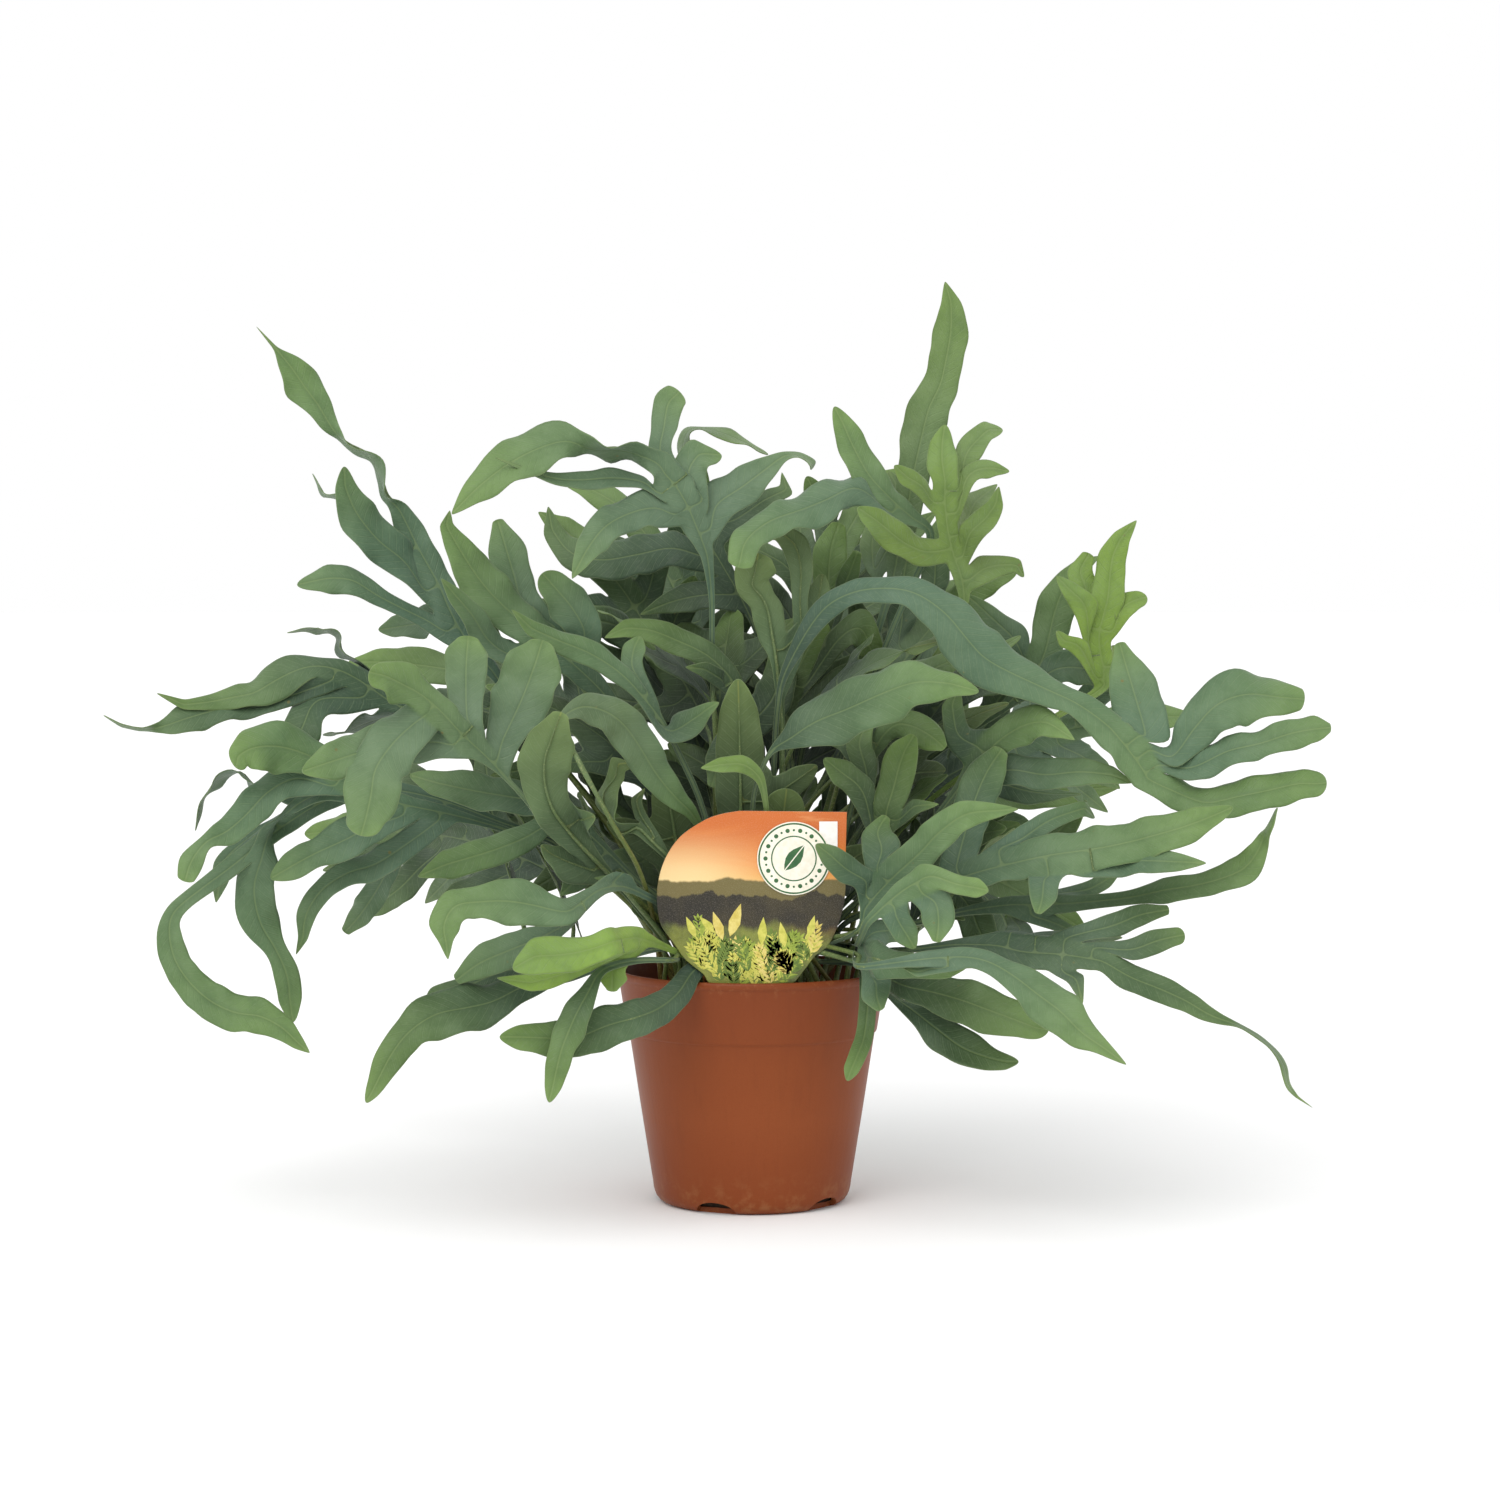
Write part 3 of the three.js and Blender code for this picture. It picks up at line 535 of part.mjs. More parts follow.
    axis: [
      [14.7, 13.6, 88.6, -1.11, 0.53, 0.57, 1.2], [24.9, 14.8, 113.6, -1.14, 0.53, 0.39, 1.18], [33, 9.9, 138.3, -1.09, 0.52, 0.38, 1.15],
      [42.7, 5.3, 167.5, -1, 0.48, 0.39, 1.1], [53.9, 2.2, 196.7, -0.9, 0.42, 0.44, 1.05], [67.5, 0, 221.7, -1.06, 0.52, 0.74, 0.9],
      [82.8, -1.5, 243.8, -1.09, 0.48, 0.7, 0.9], [92.4, -2.7, 261.4, -1.67, 0.33, 0.49, 0.9], [93.1, -3.1, 269.5, -2.81, -0.17, -0.26, 0.55],
      [92.3, -3.4, 274.2, -3.45, -0.4, -0.61, 0.55], [91, -3.7, 279.1, -3.6, -0.85, -1.28, 0.55], [89.1, -4, 283.7, -3.69, -0.89, -1.35, 0.55],
      [87.7, -4.3, 288.6, -3.94, -0.64, -0.99, 0.55], [86.5, -4.6, 293.5, -4.11, -0.55, -0.85, 0.55], [85.6, -4.8, 298.4, -4.34, -0.43, -0.66, 0.55],
      [85, -5.1, 303.6, -4.75, -0.24, -0.38, 0.55], [84.6, -5.4, 308.5, -5.18, -0.15, -0.24, 0.55], [84.5, -5.7, 313.5, -5.48, 0.02, 0.03, 0.55],
      [84.5, -6, 318.4, -5.69, 0.03, 0.05, 0.55], [83.3, -4.2, 326.3, -7.01, -0.37, -0.58, 0.5], [83.4, -1.8, 334.7, -5.24, 0.27, 0.42, 0.5],
    ],
    lobes: [
      { side: 1, at: 16, tip: [61.7, -17.4, 324.5], rows: [
        [74.2, -10, 315.7, -2.28, -2.7, -3.3], [68, -13.1, 319, -2.79, -2.84, -3.53],
      ] },
      { side: -1, at: 17, tip: [111.7, 18.3, 341.3], rows: [
        [94.3, 3.5, 329.6, 4.66, -2.52, -3.2], [99.9, 9, 336.5, 3.8, -2.92, -3.62], [104.6, 13.4, 341.1, 1.4, -3.78, -4.27],
      ] },
      { side: -1, at: 15, tip: [113.3, 1, 322.3], rows: [
        [94.8, -2.5, 320.2, 2.82, -1.47, -2.72], [103.7, -0.7, 323.8, 0.41, -2.52, -4.43], [110.3, 0.6, 322.7, -0.36, -1, -1.76],
      ] },
      { side: -1, at: 11, tip: [107.7, -13, 315.5], rows: [
        [95.5, -6.4, 295.2, 4.36, -2.75, -3.5], [101.9, -8.4, 300.8, 4.35, -3.3, -4.14], [106.6, -10.7, 307.8, 3.16, -1.01, -1.35],
      ] },
      { side: -1, at: 9, tip: [120.5, 8.6, 275.9], rows: [
        [101.2, -0.6, 279, 2.21, -2.95, -5.69], [109.4, 2.6, 281.2, 0.52, -2.52, -4.81], [117.1, 5.8, 281.2, -1.49, -1.42, -2.77],
      ] },
      { side: 1, at: 12, tip: [45.3, -28.3, 306.1], rows: [
        [76.2, -8.3, 286.8, -1, -4.82, -6.12], [65.8, -13.6, 291.2, -3.67, -4.18, -5.58], [55.5, -20.8, 299.3, -4.08, -3.85, -5.24],
      ] },
      { side: -1, at: 13, tip: [111.1, 40.4, 318], rows: [
        [99.4, 19.1, 309.3, 3.82, -1.81, -3.67],
      ] },
    ] },
  { name: 'frond_21', tint: -0.45, stalk: 5, tip: [86.5, 33.2, 408.5],
    axis: [
      [12.4, 20.8, 88.6, -1.28, 0.25, 0.34, 1.2], [19.3, 21.7, 114, -1.27, 0.24, 0.23, 1.18], [23.9, 22.4, 135.7, -1.21, 0.23, 0.26, 1.15],
      [30.4, 22.6, 161.5, -1.12, 0.22, 0.27, 1.1], [37.8, 22.6, 188, -1.03, 0.2, 0.28, 1.05], [44.3, 24, 211.9, -1.28, 0.25, 0.39, 0.9],
      [53.8, 24, 243.3, -1.28, 0.25, 0.39, 0.9], [61.7, 23.3, 270.2, -2.15, 0.36, 0.57, 0.55], [63.7, 23.1, 278.5, -3.25, 0.45, 0.72, 0.55],
      [65.6, 22.8, 287.6, -4.86, 0.63, 1.01, 0.55], [67.5, 22.5, 297.2, -5.79, 0.72, 1.16, 0.55], [69.3, 22.3, 306.2, -6.3, 0.74, 1.2, 0.55],
      [71, 22, 315.7, -6.99, 0.81, 1.31, 0.55], [73.2, 22.9, 327.3, -7.38, 0.98, 1.6, 0.5], [75.9, 24.1, 338.9, -9.49, 1.44, 2.35, 0.5],
      [79.1, 25.6, 351.4, -8.75, 1.97, 3.21, 0.5], [84.1, 26.9, 361.7, -7.5, 1.69, 2.77, 0.5], [86.8, 28.4, 373, -7.41, 0.93, 1.55, 0.5],
      [89.1, 30.1, 386.4, -8, 0.44, 0.73, 0.5], [89.2, 31.8, 398.6, -4.47, -0.34, -0.57, 0.5],
    ],
    lobes: [
      { side: 1, at: 9, tip: [55.4, 43.8, 301.2], rows: [
        [55.2, 29.5, 279.1, -0.67, -2.7, -5.36], [54.1, 36.1, 289.1, -5.86, -0.06, -0.13], [55.3, 43.8, 299.5, -3.61, 0.15, 0.32],
      ] },
      { side: 1, at: 11, tip: [61.3, 37.3, 324.2], rows: [
        [64.6, 30.7, 317.7, -3.26, -0.86, -1.6],
      ] },
    ] },
  { name: 'frond_22', tint: 0, stalk: 4, tip: [242.3, -69, 189.1],
    axis: [
      [8, -14.1, 88.6, -1.35, 0.06, 0.03, 1.2], [8.5, -15.4, 114, -1.31, 0.06, 0.02, 1.18], [8.5, -16, 141.4, -1.23, 0.05, 0, 1.13],
      [8.7, -17.2, 173.9, -1.12, 0.05, 0.02, 1.07], [10, -20, 204.1, -1.3, 0.06, 0.1, 0.9], [11.3, -22.4, 220.3, -1.29, 0.1, 0.18, 0.9],
      [14.3, -24.5, 234.7, -2.06, 0.37, 0.64, 0.55], [28.5, -28.8, 259.5, -3.65, 2.16, 3.62, 0.55], [41.4, -31.1, 268.5, -1.92, 2.94, 4.76, 0.55],
      [56, -33.3, 271.1, 0.04, 3.51, 5.59, 0.55], [70.1, -35.4, 269, 2.71, 3.94, 6.38, 0.55], [82.9, -37.7, 260.4, 6.57, 4.15, 6.96, 0.55],
      [92.6, -40, 248.9, 8.9, 4.53, 7.64, 0.55], [102, -42, 239.5, 7.29, 5.55, 9.14, 0.55], [125.7, -46, 228, 2.88, 3.59, 5.76, 0.55],
      [138.3, -48.1, 222.1, 3.02, 2.92, 4.72, 0.55], [151, -50.4, 213.2, 5.19, 3.17, 5.24, 0.55], [156.9, -51.8, 206.6, 6.27, 2.81, 4.72, 0.55],
      [159.1, -52.3, 203.8, 6.39, 2.75, 4.63, 0.55], [161.2, -52.9, 201.1, 6.33, 2.7, 4.55, 0.55], [163.4, -53.4, 198.2, 6.22, 2.49, 4.2, 0.55],
      [165.4, -53.9, 195.3, 5.92, 2.27, 3.84, 0.55], [167.3, -54.5, 192.4, 5.5, 2.1, 3.55, 0.55], [169.3, -55, 189.5, 5.08, 1.98, 3.33, 0.55],
      [181.1, -56.6, 184.1, 2.84, 3.6, 5.69, 0.5], [192.7, -58.7, 180, 0.87, 3.69, 5.7, 0.5], [205.1, -61, 182.7, -0.89, 4.63, 7.2, 0.5],
      [217.4, -63.6, 185.4, -0.91, 4.35, 6.78, 0.5], [229.7, -66.2, 188.5, -0.36, 4.14, 6.45, 0.5], [237, -67.8, 188.6, 0.34, 3.4, 5.29, 0.5],
    ],
    lobes: [
      { side: 1, at: 18, tip: [159.1, -25.3, 247.6], rows: [
        [168.2, -48.7, 208.4, -10.17, 1.35, 2.7], [165.2, -41.4, 221.9, -10.88, -1.5, -3.01], [162.1, -33.2, 234.9, -8.4, -1.19, -2.4],
        [159.5, -25.3, 246.4, -2.53, -0.36, -0.73],
      ] },
      { side: 1, at: 20, tip: [235.7, -50.4, 223.7], rows: [
        [178.9, -53, 199.2, -1.97, 3.46, 4.36], [188.2, -52.5, 211.2, -5.95, 4.01, 5.42], [198.5, -51.9, 221.8, -5.32, 7.25, 9.4],
        [211.3, -51.4, 226, -0.09, 8.34, 10.31], [224.2, -50.8, 224.7, 1.79, 6.68, 8.27], [233.6, -50.4, 223.9, 0.98, 3.67, 4.55],
      ] },
      { side: 1, at: 22, tip: [244.3, -66.5, 212.3], rows: [
        [186.1, -56.4, 194.7, -1.09, 3.78, 5.55], [201.9, -58.9, 202.1, -1.58, 3.93, 5.83], [215.9, -61.3, 205.6, -1.08, 3.74, 5.54],
        [228.2, -63.6, 209.9, -1, 4.02, 5.97], [238.1, -65.4, 211.7, -0.2, 3.85, 5.7], [243.4, -66.5, 212.2, 0.06, 1.38, 2.05],
      ] },
    ] },
  { name: 'frond_23', tint: -0.9, stalk: 4, tip: [171.3, 16.4, 301.3],
    axis: [
      [23.9, 1.7, 88.6, -1.02, 0.74, 0.49, 1.2], [42.6, 16.6, 113, -1.02, 0.76, 0.34, 1.18], [48.1, 7.7, 135.2, -0.9, 0.67, 0.51, 1.13],
      [60.8, 0.3, 159.1, -0.75, 0.57, 0.59, 1.07], [78.6, 0, 177.5, -0.62, 0.6, 0.86, 0.9], [103, 2, 195.1, -0.57, 0.62, 0.89, 0.9],
      [131.9, 4.2, 212.7, -0.6, 0.78, 1.12, 0.9], [153.9, 5.8, 225.7, -1.52, 0.85, 1.29, 0.9], [155.7, 6.2, 230.6, -3.18, 0.26, 0.41, 0.55],
      [155.7, 6.5, 236, -4.16, -0.45, -0.73, 0.55], [154.6, 6.9, 241.6, -4.88, -0.46, -0.74, 0.55], [153.8, 7.3, 247.2, -5.18, -0.27, -0.44, 0.55],
      [154.1, 7.6, 252.7, -5.41, 0.7, 1.13, 0.55], [155.5, 8, 258.2, -5.95, 0.88, 1.42, 0.55], [157.8, 9.2, 267.1, -7.36, 0.76, 1.23, 0.5],
      [158.8, 10.8, 276.8, -6.56, 0.48, 0.79, 0.5], [160.3, 12.5, 285.7, -5.81, 1.16, 1.88, 0.5], [164.4, 14.3, 293.7, -3.15, 1.44, 2.28, 0.5],
    ],
    lobes: [
      { side: 1, at: 12, tip: [150.8, 22.6, 286.6], rows: [
        [148.6, 14.4, 270.2, -5.97, -1.03, -2.04], [146.2, 18.5, 278.2, -5.77, 0.17, 0.34], [150.2, 22.6, 285.4, -2.73, 0.71, 1.4],
      ] },
      { side: 1, at: 10, tip: [133.7, -2.1, 276.4], rows: [
        [147.4, 2.9, 262.3, -5.31, -1.44, -2.47], [140.1, 0.2, 270.2, -3.03, -1.62, -2.71],
      ] },
      { side: -1, at: 12, tip: [175.3, 10.6, 267.1], rows: [
        [164, 9, 262.2, 3.4, -2.41, -4.44], [170.3, 9.9, 265.8, 1.4, -2.01, -3.64],
      ] },
      { side: 1, at: 8, tip: [133.2, -8.8, 252.3], rows: [
        [144.5, -1.3, 245.1, -2.97, -2.26, -2.8], [137, -5.5, 247.8, -1.89, -2.11, -2.52],
      ] },
      { side: -1, at: 9, tip: [169, 15.5, 241.8], rows: [
        [161.7, 11, 241.3, 2.13, -3.23, -4.66], [168, 15.5, 241.7, 0.01, -1.56, -2.19],
      ] },
    ] },
  { name: 'frond_24', tint: 0.1, stalk: 4, tip: [157, 37, 285.5],
    axis: [
      [22.3, 14.3, 88.6, -1.15, 0.64, 0.31, 1.2], [29.1, 17, 113.9, -1.12, 0.66, 0.2, 1.18], [35.7, 16.2, 134.7, -1.06, 0.57, 0.26, 1.13],
      [44.9, 18.1, 158, -0.92, 0.49, 0.41, 1.07], [57.6, 21.4, 176.1, -0.84, 0.63, 0.99, 0.9], [84.4, 24.3, 198.4, -0.77, 0.67, 1.05, 0.9],
      [110.1, 25, 215.5, -1.2, 1.06, 1.68, 0.9], [117.5, 25.3, 221.8, -2.18, 1.45, 2.33, 0.55], [123.1, 25.9, 227.8, -3.65, 1.89, 3.09, 0.55],
      [128.3, 26.9, 235, -5.41, 1.81, 3.02, 0.55], [131.8, 28, 242.8, -6.91, 1.35, 2.3, 0.55], [133.9, 29.1, 251.3, -7.79, 1.08, 1.86, 0.55],
      [136.7, 31, 262.1, -8.38, 1.68, 2.89, 0.5], [141.4, 33.1, 272.4, -5.56, 2.1, 3.55, 0.5], [148.7, 35.2, 281, -2.19, 1.68, 2.75, 0.5],
    ],
    lobes: [
      { side: -1, at: 7, tip: [166.4, 12.3, 222.2], rows: [
        [133.4, 22, 233.5, 2.57, -2.69, -6.05], [146.5, 19.3, 235.4, -0.84, -3.35, -7.5], [157.4, 16.4, 231.9, -3.12, -2.41, -5.47],
        [164.7, 13.5, 225.7, -2.68, -1.05, -2.43],
      ] },
      { side: 1, at: 9, tip: [94.8, 37.5, 269.2], rows: [
        [118.2, 29.6, 247.7, -5.49, -2.38, -4.8], [108.1, 33.1, 257.6, -3.85, -1.94, -3.9], [100.6, 35.7, 264.7, -1.83, -1.02, -2.04],
      ] },
    ] },
  { name: 'frond_25', tint: 0.05, stalk: 4, tip: [95.2, -79.2, 227.8],
    axis: [
      [6.7, -34.6, 88.6, -1.33, 0.22, -0.05, 1.2], [5.2, -37.6, 114, -1.3, 0.2, -0.04, 1.18], [2.6, -39.7, 134.5, -1.2, 0.23, -0.17, 1.13],
      [-0.7, -42.8, 158.5, -1.1, 0.2, -0.06, 1.07], [0.5, -45.9, 180.5, -1.04, 0.14, 0.22, 0.9], [3.2, -48.1, 191.3, -1.01, 0.22, 0.34, 0.9],
      [8.3, -51.3, 201.7, -0.95, 0.54, 0.82, 0.9], [16.6, -54.6, 207.4, -2.7, 2.85, 4.18, 0.55], [27.3, -59, 214.8, -4.84, 6.59, 9.58, 0.55],
      [41.4, -63.8, 220.5, -4.2, 7.1, 10.27, 0.55], [56, -68.3, 227.4, -3.87, 7.16, 10.37, 0.55], [69.6, -72.2, 231.8, -1.01, 6.28, 8.97, 0.55],
      [82.1, -75.5, 231.4, 1.11, 3.68, 5.26, 0.55],
    ],
    lobes: [
    ] },
  { name: 'frond_26', tint: 0.3, stalk: 2, tip: [69.7, -39.7, 208],
    axis: [
      [21, -20.3, 88.6, -1.28, 0.22, 0.35, 1.2], [26, -11.7, 113, -1.27, 0.22, 0.24, 1.18], [50.3, -33.3, 140.6, -1.25, 0.21, 0.32, 0.9],
      [54.3, -37.7, 154, -1.68, 0.25, 0.37, 0.9], [55.2, -38.5, 158.3, -2.35, 0.3, 0.46, 0.55], [56.1, -39.4, 163, -3.37, 0.4, 0.61, 0.55],
      [56.8, -40.2, 167.5, -4.28, 0.51, 0.78, 0.55], [57.5, -41.5, 172.3, -5.14, 0.57, 0.89, 0.55], [58, -43.2, 176.8, -5.9, 0.66, 1.02, 0.55],
      [60.7, -43.2, 185.4, -6.9, 1.42, 2.18, 0.5], [62.9, -42.8, 194, -6.87, 1.49, 2.29, 0.5], [65.7, -41.5, 201.6, -5.74, 1.79, 2.73, 0.5],
      [69.2, -39.8, 207.2, -1.8, 0.73, 1.1, 0.5],
    ],
    lobes: [
      { side: 1, at: 5, tip: [30.4, -48.1, 198.6], rows: [
        [47.5, -44.1, 183.8, -5.23, -1.98, -2.97], [38, -46.8, 192.5, -3.68, -2.84, -4.1],
      ] },
      { side: -1, at: 7, tip: [79.8, -55, 179.3], rows: [
        [69.4, -48.3, 178, 0.78, -2.17, -3.18],
      ] },
      { side: 1, at: 7, tip: [51.4, -24.1, 214], rows: [
        [49, -36.3, 193.6, -4.98, -0.81, -1.53], [46.3, -30.3, 204.6, -5.62, 0.25, 0.48], [50.8, -24.2, 213, -2.32, 0.61, 1.15],
      ] },
    ] },
  { name: 'frond_27', tint: 0, stalk: 2, tip: [110.4, -95.6, 179.9],
    axis: [
      [31.8, -26.8, 88.6, -1.31, 0.26, 0.2, 1.2], [21.3, -15.8, 111.7, -1.28, 0.25, 0.13, 1.18], [43.8, -72.8, 125.7, -1.19, 0.17, 0.43, 0.9],
      [47.2, -69.8, 134.9, -1.58, 0.49, 1.2, 0.9], [50.3, -68.5, 139.1, -2.66, 1.13, 2.77, 0.55], [53.6, -68.8, 143, -3.56, 1.73, 4.23, 0.55],
      [57.4, -70.6, 147.3, -4.76, 1.9, 4.67, 0.55], [61.7, -73.7, 151.9, -5.29, 2.1, 5.16, 0.55], [70.7, -77.9, 160.6, -5.08, 1.93, 4.77, 0.5],
      [78.3, -82.1, 169.3, -4.54, 2.13, 5.23, 0.5], [89, -87, 177.2, -1.99, 2.19, 5.3, 0.5], [100.4, -91.5, 178.8, -0.23, 1.34, 3.22, 0.5],
    ],
    lobes: [
      { side: 1, at: 4, tip: [26.5, -81.5, 164.3], rows: [
        [48.3, -68.7, 147.4, -4.62, -1.68, -2.89], [40.4, -71.9, 152.3, -3.61, -2.71, -4.5], [32.7, -76.8, 159.3, -2.96, -2.04, -3.41],
      ] },
      { side: 1, at: 6, tip: [57.4, -52.1, 174], rows: [
        [55.1, -63.6, 160.4, -8.19, -0.51, -2.17], [53.1, -57.8, 167.6, -6.36, 0.09, 0.39], [56.9, -52.1, 173.2, -1.84, 0.25, 1.04],
      ] },
    ] },
  { name: 'frond_28', tint: 0.05, stalk: 2, tip: [97.1, -109.7, 147.1],
    axis: [
      [39.2, -27.7, 88.6, -1.2, 0.61, -0.02, 1.2], [44, -22.5, 115.9, -1.21, 0.52, -0.03, 1.18], [44.5, -70.6, 120.7, -1.03, 0.3, 0.7, 0.9],
      [47.2, -91.5, 131.4, -1.28, 0.44, 1.03, 0.9], [51.7, -94.2, 136.5, -1.67, 0.66, 1.55, 0.55], [56.8, -95.3, 141.4, -2.15, 0.97, 2.26, 0.55],
      [62.4, -96.1, 146, -2.47, 1.45, 3.37, 0.55], [68.1, -97.7, 149.6, -2.2, 1.98, 4.55, 0.55], [74.2, -100.2, 152.5, -2.17, 2.23, 5.14, 0.55],
      [83.6, -103.1, 149.4, 1.15, 1.68, 3.85, 0.5], [92.4, -107.1, 148.1, 0.93, 1.7, 3.89, 0.5],
    ],
    lobes: [
      { side: -1, at: 7, tip: [75.7, -108.3, 125.9], rows: [
        [75.8, -100.8, 141.7, -6.19, -1.03, -3.34], [76.8, -104.6, 133.8, -7.01, -0.05, -0.18], [75.8, -108.3, 126.8, -2.04, 0.07, 0.22],
      ] },
      { side: -1, at: 5, tip: [67.5, -98.4, 122], rows: [
        [59.7, -97.1, 134.8, -4.79, -0.86, -2.53], [63.7, -98, 128.2, -4.65, -0.94, -2.74],
      ] },
    ] },
  { name: 'frond_29', tint: 0.05, stalk: 2, tip: [201.4, -81.2, 179.8],
    axis: [
      [28.6, -20.2, 88.6, -0.64, 1.13, 0.37, 1.2], [35.4, 8, 113.6, -0.65, 1.12, 0.25, 1.18], [41.7, -25.5, 126.5, -0.48, 0.74, 1.11, 0.9],
      [59.3, -50.7, 135.9, -0.46, 0.74, 1.12, 0.9], [79, -59.3, 144.8, -1.07, 1.93, 2.91, 0.55], [88.1, -61.4, 148.3, -1.39, 2.87, 4.33, 0.55],
      [96.6, -63.3, 151.2, -1.44, 3.76, 5.66, 0.55], [105.7, -65, 153.7, -1.33, 4.26, 6.4, 0.55], [114.8, -66.6, 156.1, -1.45, 4.73, 7.12, 0.55],
      [123.9, -68.1, 158.2, -1.09, 5.27, 7.92, 0.55], [133.2, -69.7, 159.7, -0.67, 5.72, 8.59, 0.55], [142.3, -71.2, 161.2, -0.89, 5.78, 8.69, 0.55],
      [151.4, -72.8, 162.8, -0.83, 5.52, 8.32, 0.55], [165.1, -74.5, 166.3, -1.6, 5.11, 7.76, 0.5], [179.4, -76.9, 170.6, -1.76, 4.51, 6.89, 0.5],
      [190.9, -79, 175, -1.46, 2.92, 4.49, 0.5],
    ],
    lobes: [
      { side: -1, at: 11, tip: [189.2, -89.2, 156.9], rows: [
        [152.6, -74.1, 156.1, -1.61, -3.82, -5.89], [165.9, -78.9, 156.9, -0.37, -3.38, -5.19], [178.6, -84.2, 156.9, -0.4, -2.32, -3.57],
      ] },
      { side: 1, at: 5, tip: [107.7, -36.9, 202], rows: [
        [95.2, -50.1, 180.7, -8.22, 1.19, 2.1], [101.2, -43.5, 193.2, -7.12, 2.1, 3.67], [106.8, -37.1, 200.6, -3.16, 1.21, 2.1],
      ] },
      { side: -1, at: 9, tip: [118.5, -91.9, 136], rows: [
        [122.6, -76.1, 148.7, -6.68, 0.28, 0.51], [121, -85.4, 141.1, -5.7, 0.57, 1.03], [118.8, -91.9, 136.7, -1.55, 0.28, 0.5],
      ] },
      { side: 1, at: 7, tip: [147.7, -37.9, 172.2], rows: [
        [113.7, -60.5, 164.4, -3.41, 1.6, 3.57], [127.1, -52.6, 172.3, -1.75, 1.69, 3.72], [143, -42.1, 176.8, -0.02, 1.53, 3.34],
      ] },
    ] },
  { name: 'frond_30', tint: 0.15, stalk: 2, tip: [221.7, -68.8, 178.9],
    axis: [
      [34.6, -15.6, 88.6, -0.26, 1.3, 0.27, 1.2], [41.8, 9.4, 111.1, -0.24, 1.28, 0.17, 1.18], [54.5, -15.6, 122.5, -0.1, 0.69, 1.23, 0.9],
      [67.9, -33.1, 125.8, -0.18, 0.68, 1.21, 0.9], [89.6, -42.8, 132, -0.26, 0.9, 1.61, 0.9], [109.1, -45.3, 135.2, -0.21, 1.99, 3.56, 0.55],
      [119.5, -45.7, 135.4, 0.33, 2.28, 4.08, 0.55], [129.5, -46.2, 135.6, -0.05, 2.19, 3.92, 0.55], [139.8, -47.5, 136.4, -0.04, 1.81, 3.25, 0.55],
      [153.4, -50.1, 137.9, -0.19, 1.58, 2.83, 0.5], [165.2, -53.3, 139.9, -0.45, 1.78, 3.2, 0.5], [175.7, -56.1, 142.7, -0.73, 2.88, 5.19, 0.5],
      [187, -58.6, 144.6, -0.69, 2.65, 4.78, 0.5], [198.6, -60.9, 147.8, -1.43, 2.75, 5, 0.5], [208.8, -63.1, 152.7, -3.88, 2.71, 5.08, 0.5],
      [214.8, -65.2, 161.7, -3.25, 0.88, 1.71, 0.5], [217.1, -66.8, 169.9, 0.03, 7.79, -0.04, 0.5],
    ],
    lobes: [
      { side: 1, at: 7, tip: [160, -28.7, 148.1], rows: [
        [144.3, -39.1, 141.2, -1.39, 1.28, 2.99], [152.8, -33.8, 145, -1.73, 1.41, 3.3],
      ] },
      { side: -1, at: 6, tip: [141.2, -57.8, 122.5], rows: [
        [127.7, -48.8, 128.4, -1.98, -2, -2.7], [136.9, -54.2, 124.7, -1.03, -1.35, -1.79],
      ] },
    ] },
  { name: 'frond_31', tint: 0.3, stalk: 2, tip: [231.5, -104.8, 56.8],
    axis: [
      [43, -13, 88.6, -0.03, 1.24, 0.53, 1.2], [50, -0.1, 110.1, -0.04, 1.27, 0.35, 1.18], [59.9, -39.7, 115.1, -0.03, 0.71, 1.2, 0.9],
      [69.2, -54.8, 117.2, -0.06, 0.71, 1.2, 0.9], [84.7, -66.3, 120.3, -0.06, 1.18, 1.99, 0.55], [101.5, -72.2, 120.8, 0.92, 3.12, 5.3, 0.55],
      [107.2, -74, 119.8, 1.76, 3.5, 5.96, 0.55], [112.8, -75.8, 118.6, 1.59, 3.84, 6.53, 0.55], [118.6, -77.6, 118.1, 0.74, 4.01, 6.8, 0.55],
      [124.4, -79.4, 118.1, 0.6, 3.9, 6.6, 0.55], [130.1, -80.9, 117.8, 1.08, 3.59, 6.1, 0.55], [136, -82.3, 117.1, 1.18, 3.04, 5.17, 0.55],
      [141.6, -83.4, 116.2, 1.18, 2.57, 4.38, 0.55], [147.1, -84.4, 115, 1.11, 2.26, 3.85, 0.55], [157.9, -85.2, 108.8, 2.84, 2.87, 4.96, 0.5],
      [170.3, -86.8, 104, 2.44, 2.72, 4.69, 0.5], [180.9, -88.7, 99.2, 2.38, 2.2, 3.82, 0.5], [189, -90.6, 94.4, 1.75, 1.59, 2.76, 0.5],
      [195.5, -92.1, 91.7, 0.89, 1.06, 1.81, 0.5], [203.6, -94, 89, 0.7, 2.88, 0.18, 0.5], [214, -96.9, 82.3, 1.27, 3.78, 0.26, 0.5],
      [219.9, -99.2, 74.3, 1.52, 3.78, -0.08, 0.5], [221.7, -101.4, 65.8, 1.73, 3.72, -0.06, 0.5], [225.2, -102.8, 61.1, 0.36, 0.19, 0.34, 0.5],
    ],
